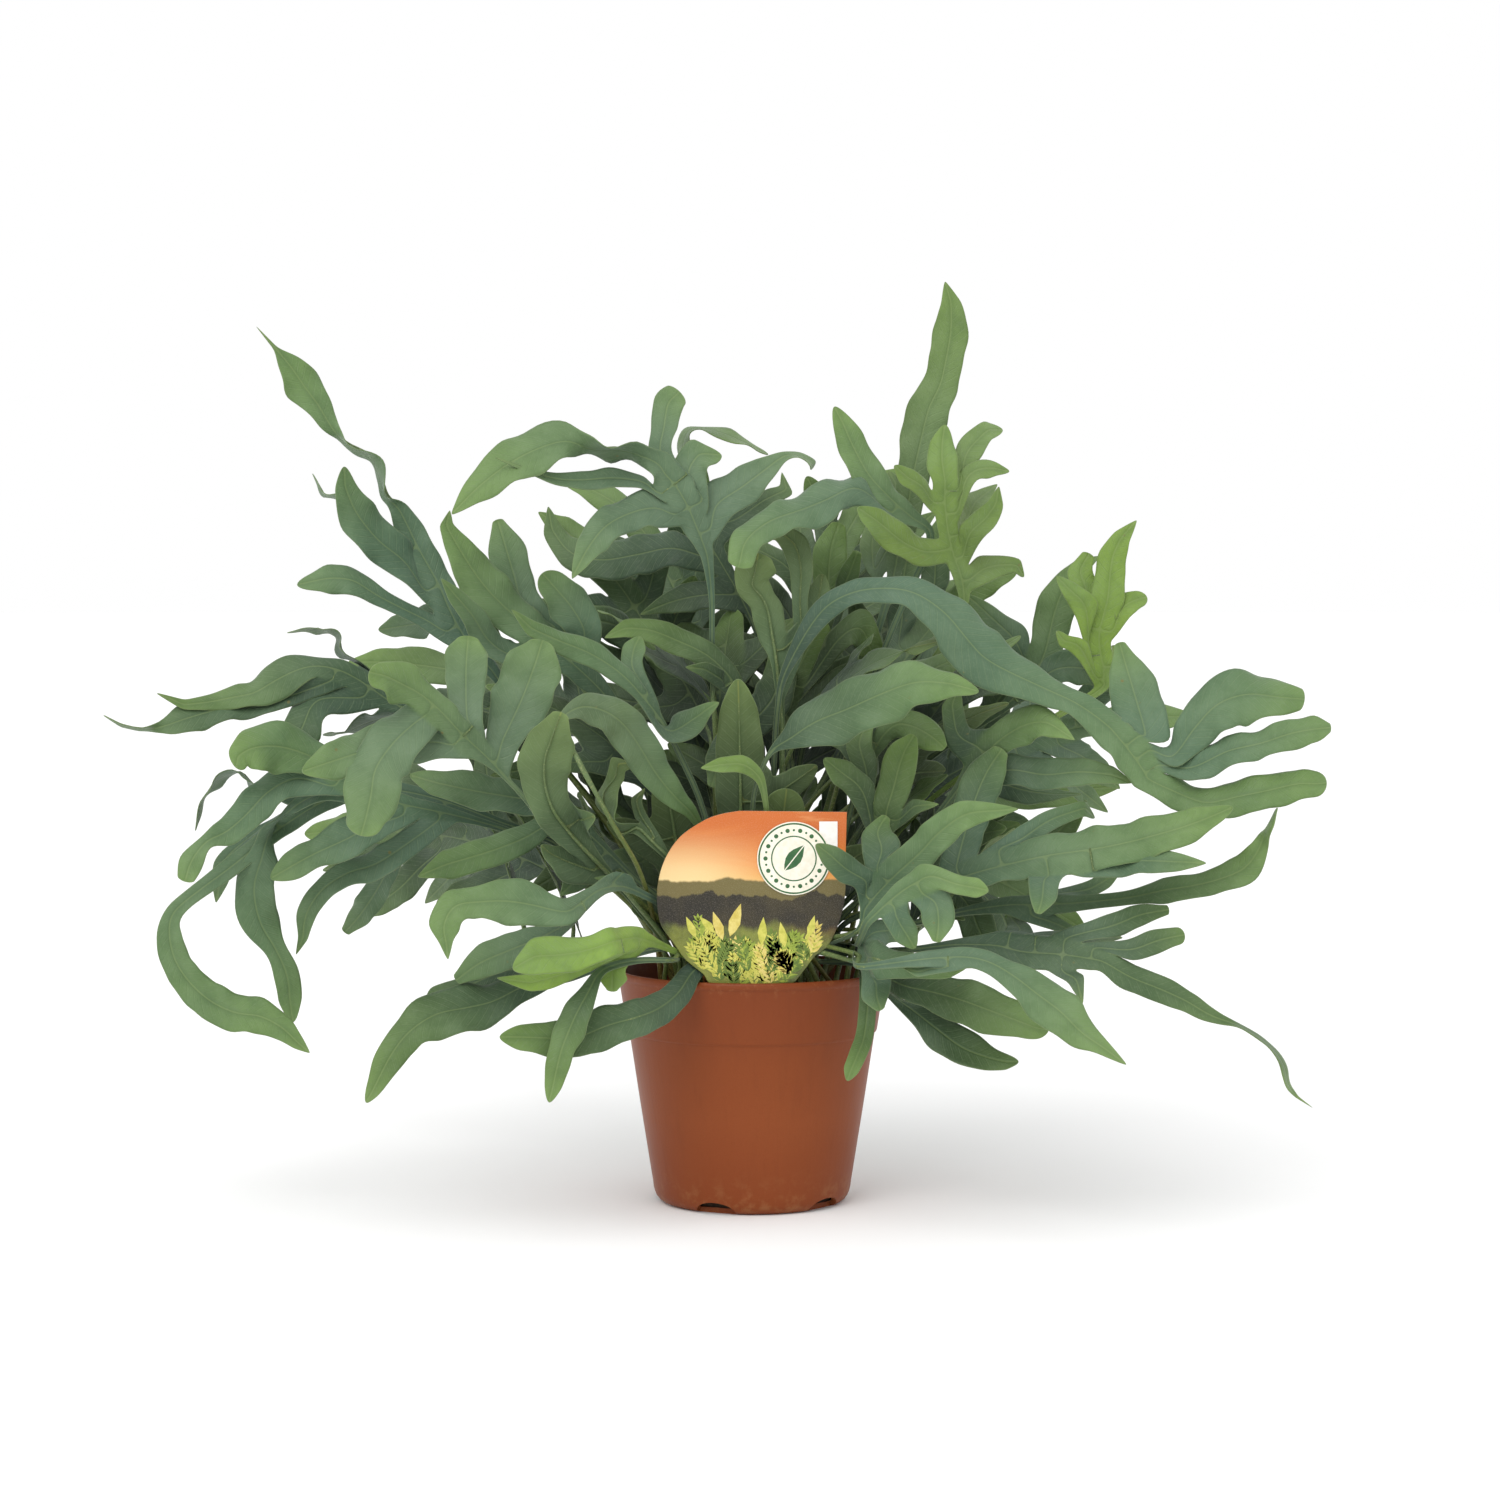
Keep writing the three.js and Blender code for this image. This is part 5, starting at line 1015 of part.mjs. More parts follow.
    lobes: [
      { side: 1, at: 5, tip: [36.8, 38.8, 196.1], rows: [
        [38.3, 59.2, 168.7, -5.97, -0.29, -0.91], [36.8, 49.2, 182.5, -5.69, -0.02, -0.07],
      ] },
      { side: 1, at: 7, tip: [61.2, 53.6, 211.5], rows: [
        [63.2, 86.1, 176.7, -5.57, 0.29, 0.64], [63, 76.2, 188.4, -6.16, 0, 0], [62.3, 64.4, 200.1, -4.65, -0.07, -0.16],
      ] },
      { side: 1, at: 10, tip: [105.9, 163.6, 222.9], rows: [
        [90.7, 145.6, 183.9, -7.05, 0.39, 0.69], [94.7, 151, 197.2, -7.45, 1.3, 2.32], [99.8, 157.1, 210.2, -5.53, 1.23, 2.19],
      ] },
      { side: 1, at: 12, tip: [135.1, 151.9, 207.6], rows: [
        [118.5, 163.9, 186.1, -5.29, 1.07, 2.39], [125.6, 158.3, 197.9, -4.15, 1.6, 3.52],
      ] },
      { side: -1, at: 4, tip: [93.8, 68.9, 146.4], rows: [
        [54.3, 58.3, 145.3, -0.24, -1.44, -5.22], [67.5, 61.5, 144.4, -0.05, -1.6, -5.79], [80.6, 65.1, 144.8, 0.4, 3.77, -2.33],
      ] },
      { side: -1, at: 7, tip: [108.6, 84.3, 145.2], rows: [
        [72.5, 94.7, 149.1, -3.55, -2.1, -5.71], [84.2, 91.5, 145.4, -1.79, -2.65, -7.13], [96.4, 88, 144.1, 0.21, 4.68, -2.95],
      ] },
      { side: -1, at: 9, tip: [126.5, 102, 158.2], rows: [
        [98.4, 118.6, 158, -2.05, -2.85, -6.34], [112.5, 110.7, 156.4, -0.39, -2.82, -6.23],
      ] },
      { side: -1, at: 11, tip: [149.5, 152.1, 142.8], rows: [
        [118.4, 154.2, 158.3, -3.93, -3.32, -5.87], [128.2, 153.6, 152.1, -4.14, -3.76, -6.61], [138.6, 152.9, 146.9, -2.64, -3.03, -5.28],
      ] },
    ] },
  { name: 'frond_46', tint: 0.59, stalk: 4, tip: [124.3, 172.4, 276.1],
    axis: [
      [-27.2, 36.9, 88.6, -1.26, 0.18, 0.44, 1.2], [-17.7, 37.3, 114.2, -1.27, 0.16, 0.3, 1.18], [-8.3, 41.6, 135.8, -1.08, 0.14, 0.59, 1.13],
      [5.5, 40.7, 160.6, -0.98, 0.18, 0.51, 1.07], [14.9, 49.1, 180.7, -1.99, 0.25, 0.47, 0.9], [17.3, 58.4, 189.5, -3.98, 0.57, 1.08, 0.55],
      [20.5, 67.8, 198.2, -5.37, 1.09, 2.05, 0.55], [24.5, 77.1, 206.7, -6.17, 1.57, 2.95, 0.55], [29.3, 86.3, 214.9, -5.91, 1.84, 3.44, 0.55],
      [34.8, 95.4, 222.9, -5.37, 2.01, 3.74, 0.55], [41, 104.6, 230.5, -5.13, 2.29, 4.24, 0.55], [47.9, 114.2, 237.6, -4.69, 2.49, 4.59, 0.55],
      [55.5, 124.1, 244.3, -4.06, 2.56, 4.69, 0.55], [63.8, 134.2, 250.3, -3.53, 2.79, 5.08, 0.55], [72.6, 143.8, 256, -3.63, 2.86, 5.22, 0.55],
      [84.5, 149.3, 262.8, -3.1, 3.45, 6.23, 0.5], [97.2, 156.1, 268.4, -2.46, 3.64, 6.56, 0.5], [110.4, 163.7, 272.9, -1.28, 2.74, 4.91, 0.5],
    ],
    lobes: [
      { side: 1, at: 6, tip: [-2.4, 97.1, 234], rows: [
        [8.4, 76.8, 210.3, -5.61, -2.81, -4.29], [1.7, 86.4, 221.5, -6.21, -1.71, -2.7],
      ] },
      { side: 1, at: 8, tip: [3.9, 137.7, 272.5], rows: [
        [19.4, 98.1, 231.9, -5.8, -1.72, -3.24], [12.4, 110, 244.5, -6.72, -1.63, -3.1], [7.2, 123.3, 258.1, -5.44, -0.86, -1.66],
      ] },
      { side: 1, at: 11, tip: [30.3, 142.8, 275.1], rows: [
        [36.7, 122.9, 249.9, -5.74, -1.8, -3.62], [32.5, 132.3, 262.2, -6.26, -0.81, -1.66],
      ] },
      { side: 1, at: 13, tip: [49.2, 156.2, 299.7], rows: [
        [58.1, 138.6, 265.4, -5.73, -1.04, -1.97], [54.9, 143.6, 276.7, -6.46, -0.97, -1.85], [51.9, 149.6, 288.1, -4.96, -0.68, -1.31],
      ] },
      { side: -1, at: 5, tip: [70.8, 82.7, 215.2], rows: [
        [35.9, 65.2, 195.9, 2.18, -4.59, -5.92], [48.5, 71.2, 200.4, 2.99, -4.84, -6.34], [60.3, 77, 206.9, 3.06, -3.29, -4.42],
      ] },
      { side: -1, at: 8, tip: [84.2, 121.1, 239.7], rows: [
        [46.2, 92.7, 217.6, 1.55, -3.49, -5.36], [59.4, 99.9, 223.4, 2.91, -3.49, -5.47], [72.1, 109.3, 230.8, 1.1, -3.95, -1.67],
      ] },
      { side: -1, at: 10, tip: [95.4, 151.4, 241.7], rows: [
        [58.4, 116.2, 231.7, 0.71, -4.31, -6.26], [70.9, 128.3, 233.8, 1.58, -4.66, -6.81], [83.4, 140.7, 237.1, 1.72, -3.44, -5.07],
      ] },
      { side: -1, at: 12, tip: [113.2, 128, 247.7], rows: [
        [75.4, 127.2, 243.7, -0.3, -3.67, -5.62], [88.3, 129.2, 243.4, 0.06, -4.06, -6.21], [101, 128.6, 244.7, 0.64, -3.04, -4.67],
      ] },
    ] },
  { name: 'frond_47', tint: 0.12, stalk: 4, tip: [216.4, 153.1, 208.4],
    axis: [
      [19.1, 7.4, 88.6, -1.21, 0.48, 0.37, 1.2], [27.8, 7.4, 114.5, -1.18, 0.53, 0.24, 1.18], [37.3, 9.2, 134.3, -1.05, 0.46, 0.46, 1.13],
      [50.4, 17.3, 155.4, -0.92, 0.34, 0.54, 1.07], [63.8, 30, 169.7, -0.78, 0.57, 1.06, 0.9], [66.9, 33.5, 171.7, -1.47, 1.05, 1.97, 0.55],
      [75.2, 42.6, 176.9, -3.11, 2.37, 4.44, 0.55], [83.9, 51.4, 181.8, -3.33, 2.95, 5.5, 0.55], [93, 60.1, 186.3, -2.87, 2.89, 5.38, 0.55],
      [102.4, 68.9, 190.5, -2.56, 2.96, 5.49, 0.55], [112.2, 77.6, 194.2, -2.21, 2.98, 5.52, 0.55], [122.3, 86.2, 197.5, -1.82, 2.91, 5.38, 0.55],
      [132.6, 94.9, 200.4, -1.49, 2.9, 5.35, 0.55], [143.2, 103.7, 202.8, -1.2, 2.96, 5.47, 0.55], [154, 112.4, 204.7, -0.8, 2.92, 5.38, 0.55],
      [165.1, 121.1, 206.2, -0.75, 2.76, 5.1, 0.55], [177.4, 127.1, 207.7, -0.52, 3.96, 7.32, 0.5], [190.2, 135, 208.5, -0.13, 4, 7.39, 0.5],
      [203.2, 143.7, 208.8, 0.19, 2.9, 5.36, 0.5],
    ],
    lobes: [
      { side: 1, at: 7, tip: [101.1, 90.7, 233.9], rows: [
        [84.6, 60.2, 198.3, -6.12, 0.4, 0.63], [88, 69.4, 210.8, -6.48, 1.28, 2], [93.5, 79.7, 222.8, -4.62, 1.49, 2.31],
      ] },
      { side: 1, at: 9, tip: [118.7, 28.4, 229.8], rows: [
        [107.3, 54.9, 208.7, -6.52, 1.54, 2.68], [111.7, 42.8, 220.2, -5.4, 2.2, 3.77],
      ] },
      { side: 1, at: 12, tip: [137.2, 145.1, 239.5], rows: [
        [131.7, 110.3, 215.4, -8.02, -0.12, -0.19], [134.4, 126.7, 227.3, -2.93, 6.14, 0.19],
      ] },
      { side: 1, at: 14, tip: [174.7, 63.6, 238.5], rows: [
        [160.4, 97.1, 220, -5.79, 1.88, 3.89], [167, 81.3, 230.2, -4.47, 2.33, 4.76],
      ] },
      { side: -1, at: 6, tip: [114.2, 17.5, 169.9], rows: [
        [92, 33.8, 172, -2.11, -3.3, -6.49], [103, 26.1, 169.7, -1.1, -3.23, -6.32],
      ] },
      { side: -1, at: 9, tip: [153.2, 73.4, 175.5], rows: [
        [115, 69.8, 180.9, -3.01, -2.05, -5.28], [127.4, 70.9, 177.1, -1.64, -2.54, -6.46], [140.2, 72.1, 175.3, -0.51, -4.29, -2.05],
      ] },
      { side: -1, at: 11, tip: [170.4, 121.8, 163.6], rows: [
        [137.4, 94.6, 187.8, -3.22, -1.68, -4.61], [148.5, 102.8, 180.3, -2.09, -5.07, -2], [159.5, 112, 172.2, -3.04, -1.34, -3.71],
      ] },
      { side: -1, at: 13, tip: [176.3, 123.7, 174.8], rows: [
        [157.5, 110.8, 190.7, -4.09, -2.28, -4.2], [166.4, 116.9, 182.4, -3.85, -2.2, -4.05],
      ] },
    ] },
  { name: 'frond_48', tint: 0.37, stalk: 5, tip: [-96.7, 173.5, 325],
    axis: [
      [19.9, 21.5, 88.6, -1.3, -0.17, -0.34, 1.2], [12.8, 27.5, 114.1, -1.29, -0.14, -0.23, 1.18], [7.1, 27.3, 135.6, -1.21, -0.15, -0.33, 1.15],
      [-0.6, 30.9, 160.9, -1.12, -0.15, -0.33, 1.1], [-8.3, 37.8, 185.5, -1.04, -0.14, -0.27, 1.05], [-13.7, 50.1, 204.2, -2.11, -0.25, -0.48, 0.9],
      [-16.2, 61.6, 214, -4.98, -0.63, -1.2, 0.55], [-19, 72.9, 223.8, -5.78, -0.85, -1.62, 0.55], [-22.3, 84, 233.7, -5.51, -0.91, -1.73, 0.55],
      [-25.8, 94.8, 243.7, -5.17, -0.95, -1.81, 0.55], [-29.7, 105.8, 253.6, -5.69, -1.15, -2.19, 0.55], [-34, 117, 263.6, -6.39, -1.41, -2.7, 0.55],
      [-38.6, 128.1, 273.6, -5.66, -1.36, -2.6, 0.55], [-43.7, 139.3, 283.5, -5.53, -1.47, -2.82, 0.55], [-49, 150.5, 293.5, -6.17, -1.65, -3.16, 0.55],
      [-58.1, 154.9, 304.8, -4.8, -2.58, -4.84, 0.5], [-69.4, 160.5, 314, -3.69, -3.13, -5.79, 0.5], [-82.4, 166.8, 320.9, -1.73, -2.56, -4.67, 0.5],
    ],
    lobes: [
      { side: 1, at: 7, tip: [-58.5, 119.6, 229.3], rows: [
        [-34.5, 87.2, 224.7, -0.97, -2.56, -6.55], [-46.4, 102.4, 227, -1.45, -2.41, -6.19],
      ] },
      { side: 1, at: 9, tip: [-71.1, 69.9, 261.6], rows: [
        [-40.2, 89.1, 248.3, -1.95, -3.6, -5.66], [-50.6, 83.3, 252.7, -2.45, -3.87, -6.12], [-60.9, 76.9, 257.2, -1.85, -2.93, -4.65],
      ] },
      { side: 1, at: 11, tip: [-67.4, 140.9, 280.2], rows: [
        [-48.2, 124.8, 269, -2.89, -2.72, -6.61], [-58, 132.4, 274.1, -3.5, -2.42, -5.93],
      ] },
      { side: 1, at: 13, tip: [-95.1, 90.7, 297.3], rows: [
        [-60.8, 127.8, 286.5, -1.3, -4.53, -7.3], [-72.7, 116.6, 289.3, -1.96, -4.87, -7.89], [-84.2, 104.1, 292.9, -1.86, -3.59, -5.84],
      ] },
      { side: -1, at: 6, tip: [11.9, 75.9, 255], rows: [
        [-6.2, 67.1, 232.2, 5.79, -2.47, -3.54], [2.5, 71.7, 243.8, 5.09, -2.8, -3.96],
      ] },
      { side: -1, at: 8, tip: [2.9, 78.3, 273.5], rows: [
        [-10.6, 82.5, 250, 5.58, -1.56, -3.92], [-2.8, 80.7, 261.2, 5.62, -1.27, -3.21],
      ] },
      { side: -1, at: 10, tip: [-7.6, 100.2, 303], rows: [
        [-23.3, 104.3, 271.9, 4.97, -0.85, -2.07], [-17.7, 103, 282.2, 5.28, -1.13, -2.73], [-12.5, 101.7, 292.5, 4.07, -0.81, -1.97],
      ] },
      { side: -1, at: 12, tip: [-23.6, 101.1, 333.1], rows: [
        [-33.1, 120.8, 294.9, 7.21, -1.32, -2.07], [-28.6, 114.8, 307.4, 7.93, -1.46, -2.31], [-25.4, 108.2, 320.2, 6.15, -0.71, -1.13],
      ] },
    ] },
  { name: 'frond_49', tint: 0.54, stalk: 4, tip: [-202.8, 207.8, 233.9],
    axis: [
      [-29.7, 12, 88.6, -1.33, -0.08, -0.23, 1.2], [-34.8, 24.8, 113.9, -1.3, -0.16, -0.13, 1.18], [-38.1, 34, 139.2, -1.22, -0.09, -0.14, 1.13],
      [-43.6, 44.6, 167.6, -1.08, -0.02, -0.29, 1.07], [-52.8, 61.4, 187, -1.72, -0.62, -1.52, 0.55], [-59.6, 73, 193.6, -3.86, -1.48, -3.64, 0.55],
      [-67.1, 84.6, 199.7, -3.99, -1.85, -4.53, 0.55], [-75.1, 96.2, 205.4, -3.11, -1.68, -4.1, 0.55], [-83.7, 107.7, 210.6, -3.05, -1.93, -4.72, 0.55],
      [-92.8, 119.3, 215.3, -3, -2.26, -5.49, 0.55], [-102.4, 130.9, 219.5, -2.62, -2.39, -5.8, 0.55], [-112.4, 142.5, 223.1, -2.08, -2.35, -5.7, 0.55],
      [-122.7, 154.1, 226, -1.46, -2.14, -5.19, 0.55], [-133.5, 165.7, 228.2, -0.98, -2.22, -5.37, 0.55], [-144.5, 177.3, 230, -1.07, -2.4, -5.83, 0.55],
      [-158.6, 183.1, 232, -0.91, -3.55, -8.62, 0.5], [-173.1, 190.6, 233.4, -0.43, -3.59, -8.71, 0.5], [-187.8, 198.9, 234, 0.04, -2.6, -6.32, 0.5],
    ],
    lobes: [
      { side: 1, at: 6, tip: [-121.1, 66.5, 184.5], rows: [
        [-83.4, 80.4, 193, 1.97, -1.93, -5.01], [-95.8, 76.2, 189.3, 1.69, -2.19, -5.68], [-108.4, 71.5, 186.5, 1.02, -1.69, -4.38],
      ] },
      { side: 1, at: 8, tip: [-128, 157.3, 206.1], rows: [
        [-102.9, 125.8, 208.8, 0.65, -2.89, -6.85], [-115.3, 140.8, 207.2, 0.55, -5.28, -2.79],
      ] },
      { side: 1, at: 11, tip: [-151.6, 93.5, 199.4], rows: [
        [-123.3, 132.4, 215, 3.97, -2.24, -6.19], [-133.2, 120.8, 210.1, 3.88, -2.56, -7.07], [-142.7, 107.7, 204.9, 0.91, 4.93, -2.59],
      ] },
      { side: 1, at: 13, tip: [-166.7, 118, 201.6], rows: [
        [-146.6, 150.8, 216.6, 4.97, -3.45, -5.84], [-156.8, 135.3, 208.8, 4.4, -3.4, -5.7],
      ] },
      { side: -1, at: 5, tip: [-50.1, 98.4, 235.6], rows: [
        [-55.4, 81.7, 211.4, 6.99, -0.99, -1.83], [-52, 89.6, 223.3, 6.73, -0.82, -1.53],
      ] },
      { side: -1, at: 8, tip: [-90.6, 119.1, 256.3], rows: [
        [-83.3, 111, 227.9, 6.14, 0.21, 0.43], [-86.3, 114.8, 242.2, 5.67, 0.69, 1.39],
      ] },
      { side: -1, at: 10, tip: [-104.4, 150.8, 262.6], rows: [
        [-102.3, 137.3, 236.8, 5.78, -0.01, -0.02], [-103, 143.7, 249.7, 5.49, 0.09, 0.3],
      ] },
      { side: -1, at: 12, tip: [-138.9, 141.1, 269.9], rows: [
        [-128.7, 149.7, 245.2, 7.34, 0.61, 2.51], [-132.9, 145.6, 258, 6.7, 0.72, 3],
      ] },
    ] },
  { name: 'frond_50', tint: 0.37, stalk: 2, tip: [153.8, 58.2, 113.1],
    axis: [
      [25.7, 39.5, 88.6, -0.61, 1.17, 0.28, 1.2], [26.8, 36.6, 113.8, -0.61, 1.15, 0.19, 1.18], [31.9, 21.7, 141.2, -0.68, 1.23, 1.88, 0.9],
      [41.7, 26.7, 144.1, -1.46, 3.13, 4.79, 0.55], [52.4, 30.5, 146, -1.02, 4.1, 6.24, 0.55], [63.4, 34.1, 146.9, -0.31, 4.15, 6.3, 0.55],
      [74.3, 38.1, 146.8, 0.33, 3.44, 5.22, 0.55], [85, 42.9, 145.5, 0.83, 3.09, 4.71, 0.55], [95.5, 48, 143.2, 1.42, 3.17, 4.85, 0.55],
      [105.8, 53.2, 139.8, 2.39, 3.74, 5.76, 0.55], [115.7, 58.5, 135.3, 3.23, 3.58, 5.58, 0.55], [125.3, 63.7, 129.9, 2.85, 3.09, 4.82, 0.55],
      [132.7, 62.7, 126, 3.7, 3.69, 5.76, 0.5], [139.8, 61.3, 121.9, 3.88, 3.61, 5.65, 0.5], [146.9, 59.8, 117.6, 2.92, 2.54, 3.99, 0.5],
    ],
    lobes: [
      { side: 1, at: 4, tip: [57.3, 65.8, 196.1], rows: [
        [53.4, 38.1, 161.2, -6.72, 0.21, 0.33], [55.2, 45.4, 172.8, -7.43, 0.49, 0.79], [56.2, 54.6, 184.4, -2.76, -4.85, 0.52],
      ] },
      { side: 1, at: 6, tip: [113.5, 42.2, 171], rows: [
        [83.8, 38.6, 157.5, -3.81, 2.44, 4], [92.8, 39.5, 163.8, -3.01, 3.29, 5.25], [102.8, 40.8, 168.3, -1.03, -4.12, 2.33],
      ] },
      { side: 1, at: 8, tip: [122.3, 44.5, 164.1], rows: [
        [104.8, 46.8, 154.3, -3.81, 1.68, 3.99], [113, 45.7, 160.2, -2.44, 1.96, 4.6],
      ] },
      { side: 1, at: 10, tip: [151.1, 32, 175.6], rows: [
        [127.8, 52.3, 147, -4.79, 2.81, 5.18], [136.1, 46.2, 156.3, -5.58, 2.92, 5.44], [143.9, 39.3, 165.8, -4.4, 2.11, 3.96],
      ] },
      { side: -1, at: 3, tip: [74.9, 68, 116.6], rows: [
        [56.2, 39.9, 132.6, -4.85, -3.4, -5.39], [65.4, 52.7, 124.4, -4.57, -3.31, -5.23],
      ] },
      { side: -1, at: 5, tip: [93.5, -16.7, 125.8], rows: [
        [76.4, 15.2, 135.9, -3.77, -2.85, -3.75], [84.6, -0.1, 129.8, -3.1, -3.01, -3.87],
      ] },
      { side: -1, at: 7, tip: [111.5, 3.6, 95.7], rows: [
        [96.7, 32.5, 129.2, -6.33, -1.65, -3.66], [101.9, 23.7, 117.9, -7.36, -1.46, -3.24], [106.8, 14, 106.7, -5.61, -1.07, -2.38],
      ] },
      { side: -1, at: 9, tip: [130, 104.4, 78.3], rows: [
        [115.7, 67, 119.7, -5.9, -1.15, -2.18], [120, 78.4, 106.1, -3.45, -5.74, -0.26], [124.8, 90.9, 92.3, -5.16, -0.81, -1.54],
      ] },
    ] },
  { name: 'frond_51', tint: 0.53, stalk: 5, tip: [72.2, 150, 328.2],
    axis: [
      [29.1, 11.3, 88.6, -1.34, -0.02, -0.12, 1.2], [27.4, 23, 113.8, -1.31, 0.03, -0.09, 1.18], [24.5, 26.3, 136.2, -1.25, 0.02, -0.17, 1.15],
      [20.8, 32, 162.9, -1.17, 0, -0.15, 1.1], [18.1, 41.3, 189.1, -1.09, -0.01, -0.06, 1.05], [18.3, 56.1, 210, -2.14, 0.15, 0.29, 0.9],
      [19.7, 66.7, 219.9, -5.33, 0.43, 0.82, 0.55], [21.5, 76.4, 229.9, -5.83, 0.6, 1.16, 0.55], [23.8, 82.7, 240, -5.11, 0.63, 1.21, 0.55],
      [26.8, 91.1, 250.1, -5.11, 0.73, 1.41, 0.55], [30.2, 99.6, 260.1, -5.35, 0.88, 1.69, 0.55], [34, 108, 270.1, -5.69, 1.05, 2.04, 0.55],
      [38.1, 116.8, 280.1, -5.91, 1.22, 2.37, 0.55], [42.5, 125.8, 290.1, -5.9, 1.39, 2.69, 0.55], [47.2, 135, 300, -5.84, 1.39, 2.69, 0.55],
      [52.1, 137.9, 308, -6.56, 2.4, 4.61, 0.5], [58, 141.6, 315.5, -5.95, 2.83, 5.4, 0.5], [64.7, 145.6, 322.2, -3.78, 2.33, 4.41, 0.5],
    ],
    lobes: [
      { side: 1, at: 7, tip: [-13, 49.5, 251.9], rows: [
        [7.3, 64.3, 237.6, -3.24, -4.25, -5.4], [-2.8, 56.8, 244.8, -3.39, -3.8, -4.9],
      ] },
      { side: 1, at: 9, tip: [-2.4, 55, 281.6], rows: [
        [14.7, 79, 262, -4.45, -2.99, -4.22], [6.1, 67.4, 271.9, -4.36, -2.66, -3.81],
      ] },
      { side: 1, at: 11, tip: [23.1, 149.8, 312.2], rows: [
        [25.9, 121.2, 285.5, -5.66, -0.86, -2.3], [23, 134.7, 298.6, -5.8, -0.27, -0.71],
      ] },
      { side: 1, at: 13, tip: [26, 127.2, 324.5], rows: [
        [35.8, 126.5, 304.6, -6.29, -1.25, -2.95], [30.9, 126.9, 314.5, -5.93, -1.23, -2.91],
      ] },
      { side: -1, at: 6, tip: [51.1, 72.4, 235.9], rows: [
        [33.2, 70.7, 227.4, 3.17, -2.78, -6.44], [42.1, 72.3, 231.4, 1.15, -5.83, -2.67],
      ] },
      { side: -1, at: 8, tip: [75.4, 117.4, 273.4], rows: [
        [39.6, 93.6, 253.2, 3.21, -2.64, -4.21], [51.2, 99.9, 260.2, 3.07, -3.18, -5.02], [63.3, 107.9, 266.9, 2.23, -2.48, -3.92],
      ] },
      { side: -1, at: 10, tip: [61.4, 135.9, 288.8], rows: [
        [46.2, 112.9, 271.9, 4.63, -2.11, -5.63], [54.9, 123.4, 279.4, 5.28, -1.69, -4.56],
      ] },
      { side: -1, at: 12, tip: [87.8, 116.2, 307.3], rows: [
        [56.6, 115.9, 289.5, 2.44, -2.29, -5.33], [67.9, 115.6, 294, 2.76, -2.52, -5.87], [78.3, 115.8, 300, 2.64, -1.77, -4.17],
      ] },
    ] },
  { name: 'frond_52', tint: 0.6, stalk: 5, tip: [-225, 205, 147.3],
    axis: [
      [23.3, 32.4, 88.6, -0.98, -0.78, -0.52, 1.2], [8.7, 34.9, 113.9, -0.97, -0.82, -0.35, 1.18], [-7.8, 32.8, 126.9, -0.3, -0.61, -1.06, 1.15],
      [-35.5, 26, 133.8, -0.09, -0.59, -1.01, 1.1], [-65, 37.9, 135.9, -0.19, -0.61, -0.88, 1.05], [-87, 54.2, 138.3, -0.71, -0.94, -1.43, 0.9],
      [-96.7, 65.9, 142, -1.46, -2.04, -3.09, 0.55], [-105.9, 75.1, 145.4, -1.67, -2.9, -4.37, 0.55], [-115.5, 84.1, 148.2, -1.64, -3.5, -5.26, 0.55],
      [-126.1, 99.1, 150, -1.48, -4.06, -6.09, 0.55], [-137.4, 117.2, 151.1, -1.13, -4.22, -6.33, 0.55], [-149.2, 135.4, 151.7, -0.69, -4.06, -6.07, 0.55],
      [-161.1, 152.4, 151.8, -0.29, -3.84, -5.74, 0.55], [-173.3, 168.9, 151.4, 0.15, -3.81, -5.69, 0.55], [-185.7, 185.4, 150.5, 0.2, -3.95, -5.9, 0.55],
      [-195.3, 189.1, 150.2, 0.7, -5.54, -8.3, 0.5], [-205.1, 193.9, 149.6, 1.02, -5.55, -8.31, 0.5], [-215, 199.3, 148.6, 0.96, -3.99, -5.99, 0.5],
    ],
    lobes: [
      { side: 1, at: 7, tip: [-147.6, 81.6, 123.4], rows: [
        [-120.5, 75.4, 134.8, 4.2, -4.35, -6.19], [-133.6, 77.8, 128.5, 3.08, -4.54, -6.33],
      ] },
      { side: 1, at: 9, tip: [-159.5, 152.3, 117.1], rows: [
        [-139.4, 118.3, 137.2, 4.29, -2.55, -4.07], [-149.5, 134.6, 127.5, 4.23, -2.37, -3.79],
      ] },
      { side: 1, at: 11, tip: [-196.7, 163.7, 108.6], rows: [
        [-160.6, 142.2, 135.8, 5.35, -1.86, -4.06], [-171.1, 148.7, 125.2, 5.1, -2.5, -5.39], [-183.3, 155.9, 116, 3.26, -2.17, -4.6],
      ] },
      { side: 1, at: 13, tip: [-210.8, 162.5, 132.5], rows: [
        [-187.2, 166.8, 140.4, 4.8, -5.26, -6.16], [-198.6, 164.7, 135, 0.39, 5.69, -3.64],
      ] },
      { side: -1, at: 6, tip: [-104.8, 63.9, 178.3], rows: [
        [-99.7, 65.6, 158.4, 6.91, 0.77, 1.38], [-101.4, 65.7, 168.5, 6.42, 1.05, 1.87],
      ] },
      { side: -1, at: 8, tip: [-127.4, 100, 202], rows: [
        [-121.3, 83.9, 166.1, 6.16, 0.73, 1.63], [-122.9, 84.6, 178.3, 7.02, 0.47, 1.05], [-124.8, 89.2, 190.3, 5.37, 0.36, 0.81],
      ] },
      { side: -1, at: 10, tip: [-183.1, 164.9, 194.8], rows: [
        [-152.2, 130.2, 166.7, 4.49, 2.12, 3.58], [-161.3, 141.3, 176.9, 4.91, 2.41, 4.08], [-171.6, 152.9, 186.3, 3.37, 2.1, 3.52],
      ] },
      { side: -1, at: 13, tip: [-204.1, 189, 180.8], rows: [
        [-180.6, 174.5, 165, 4.69, 1.73, 3.49], [-191.6, 181.3, 173.7, 3.25, 2.25, 4.46],
      ] },
    ] },
  { name: 'frond_53', tint: 0.39, stalk: 4, tip: [127.2, 133.1, 278.5],
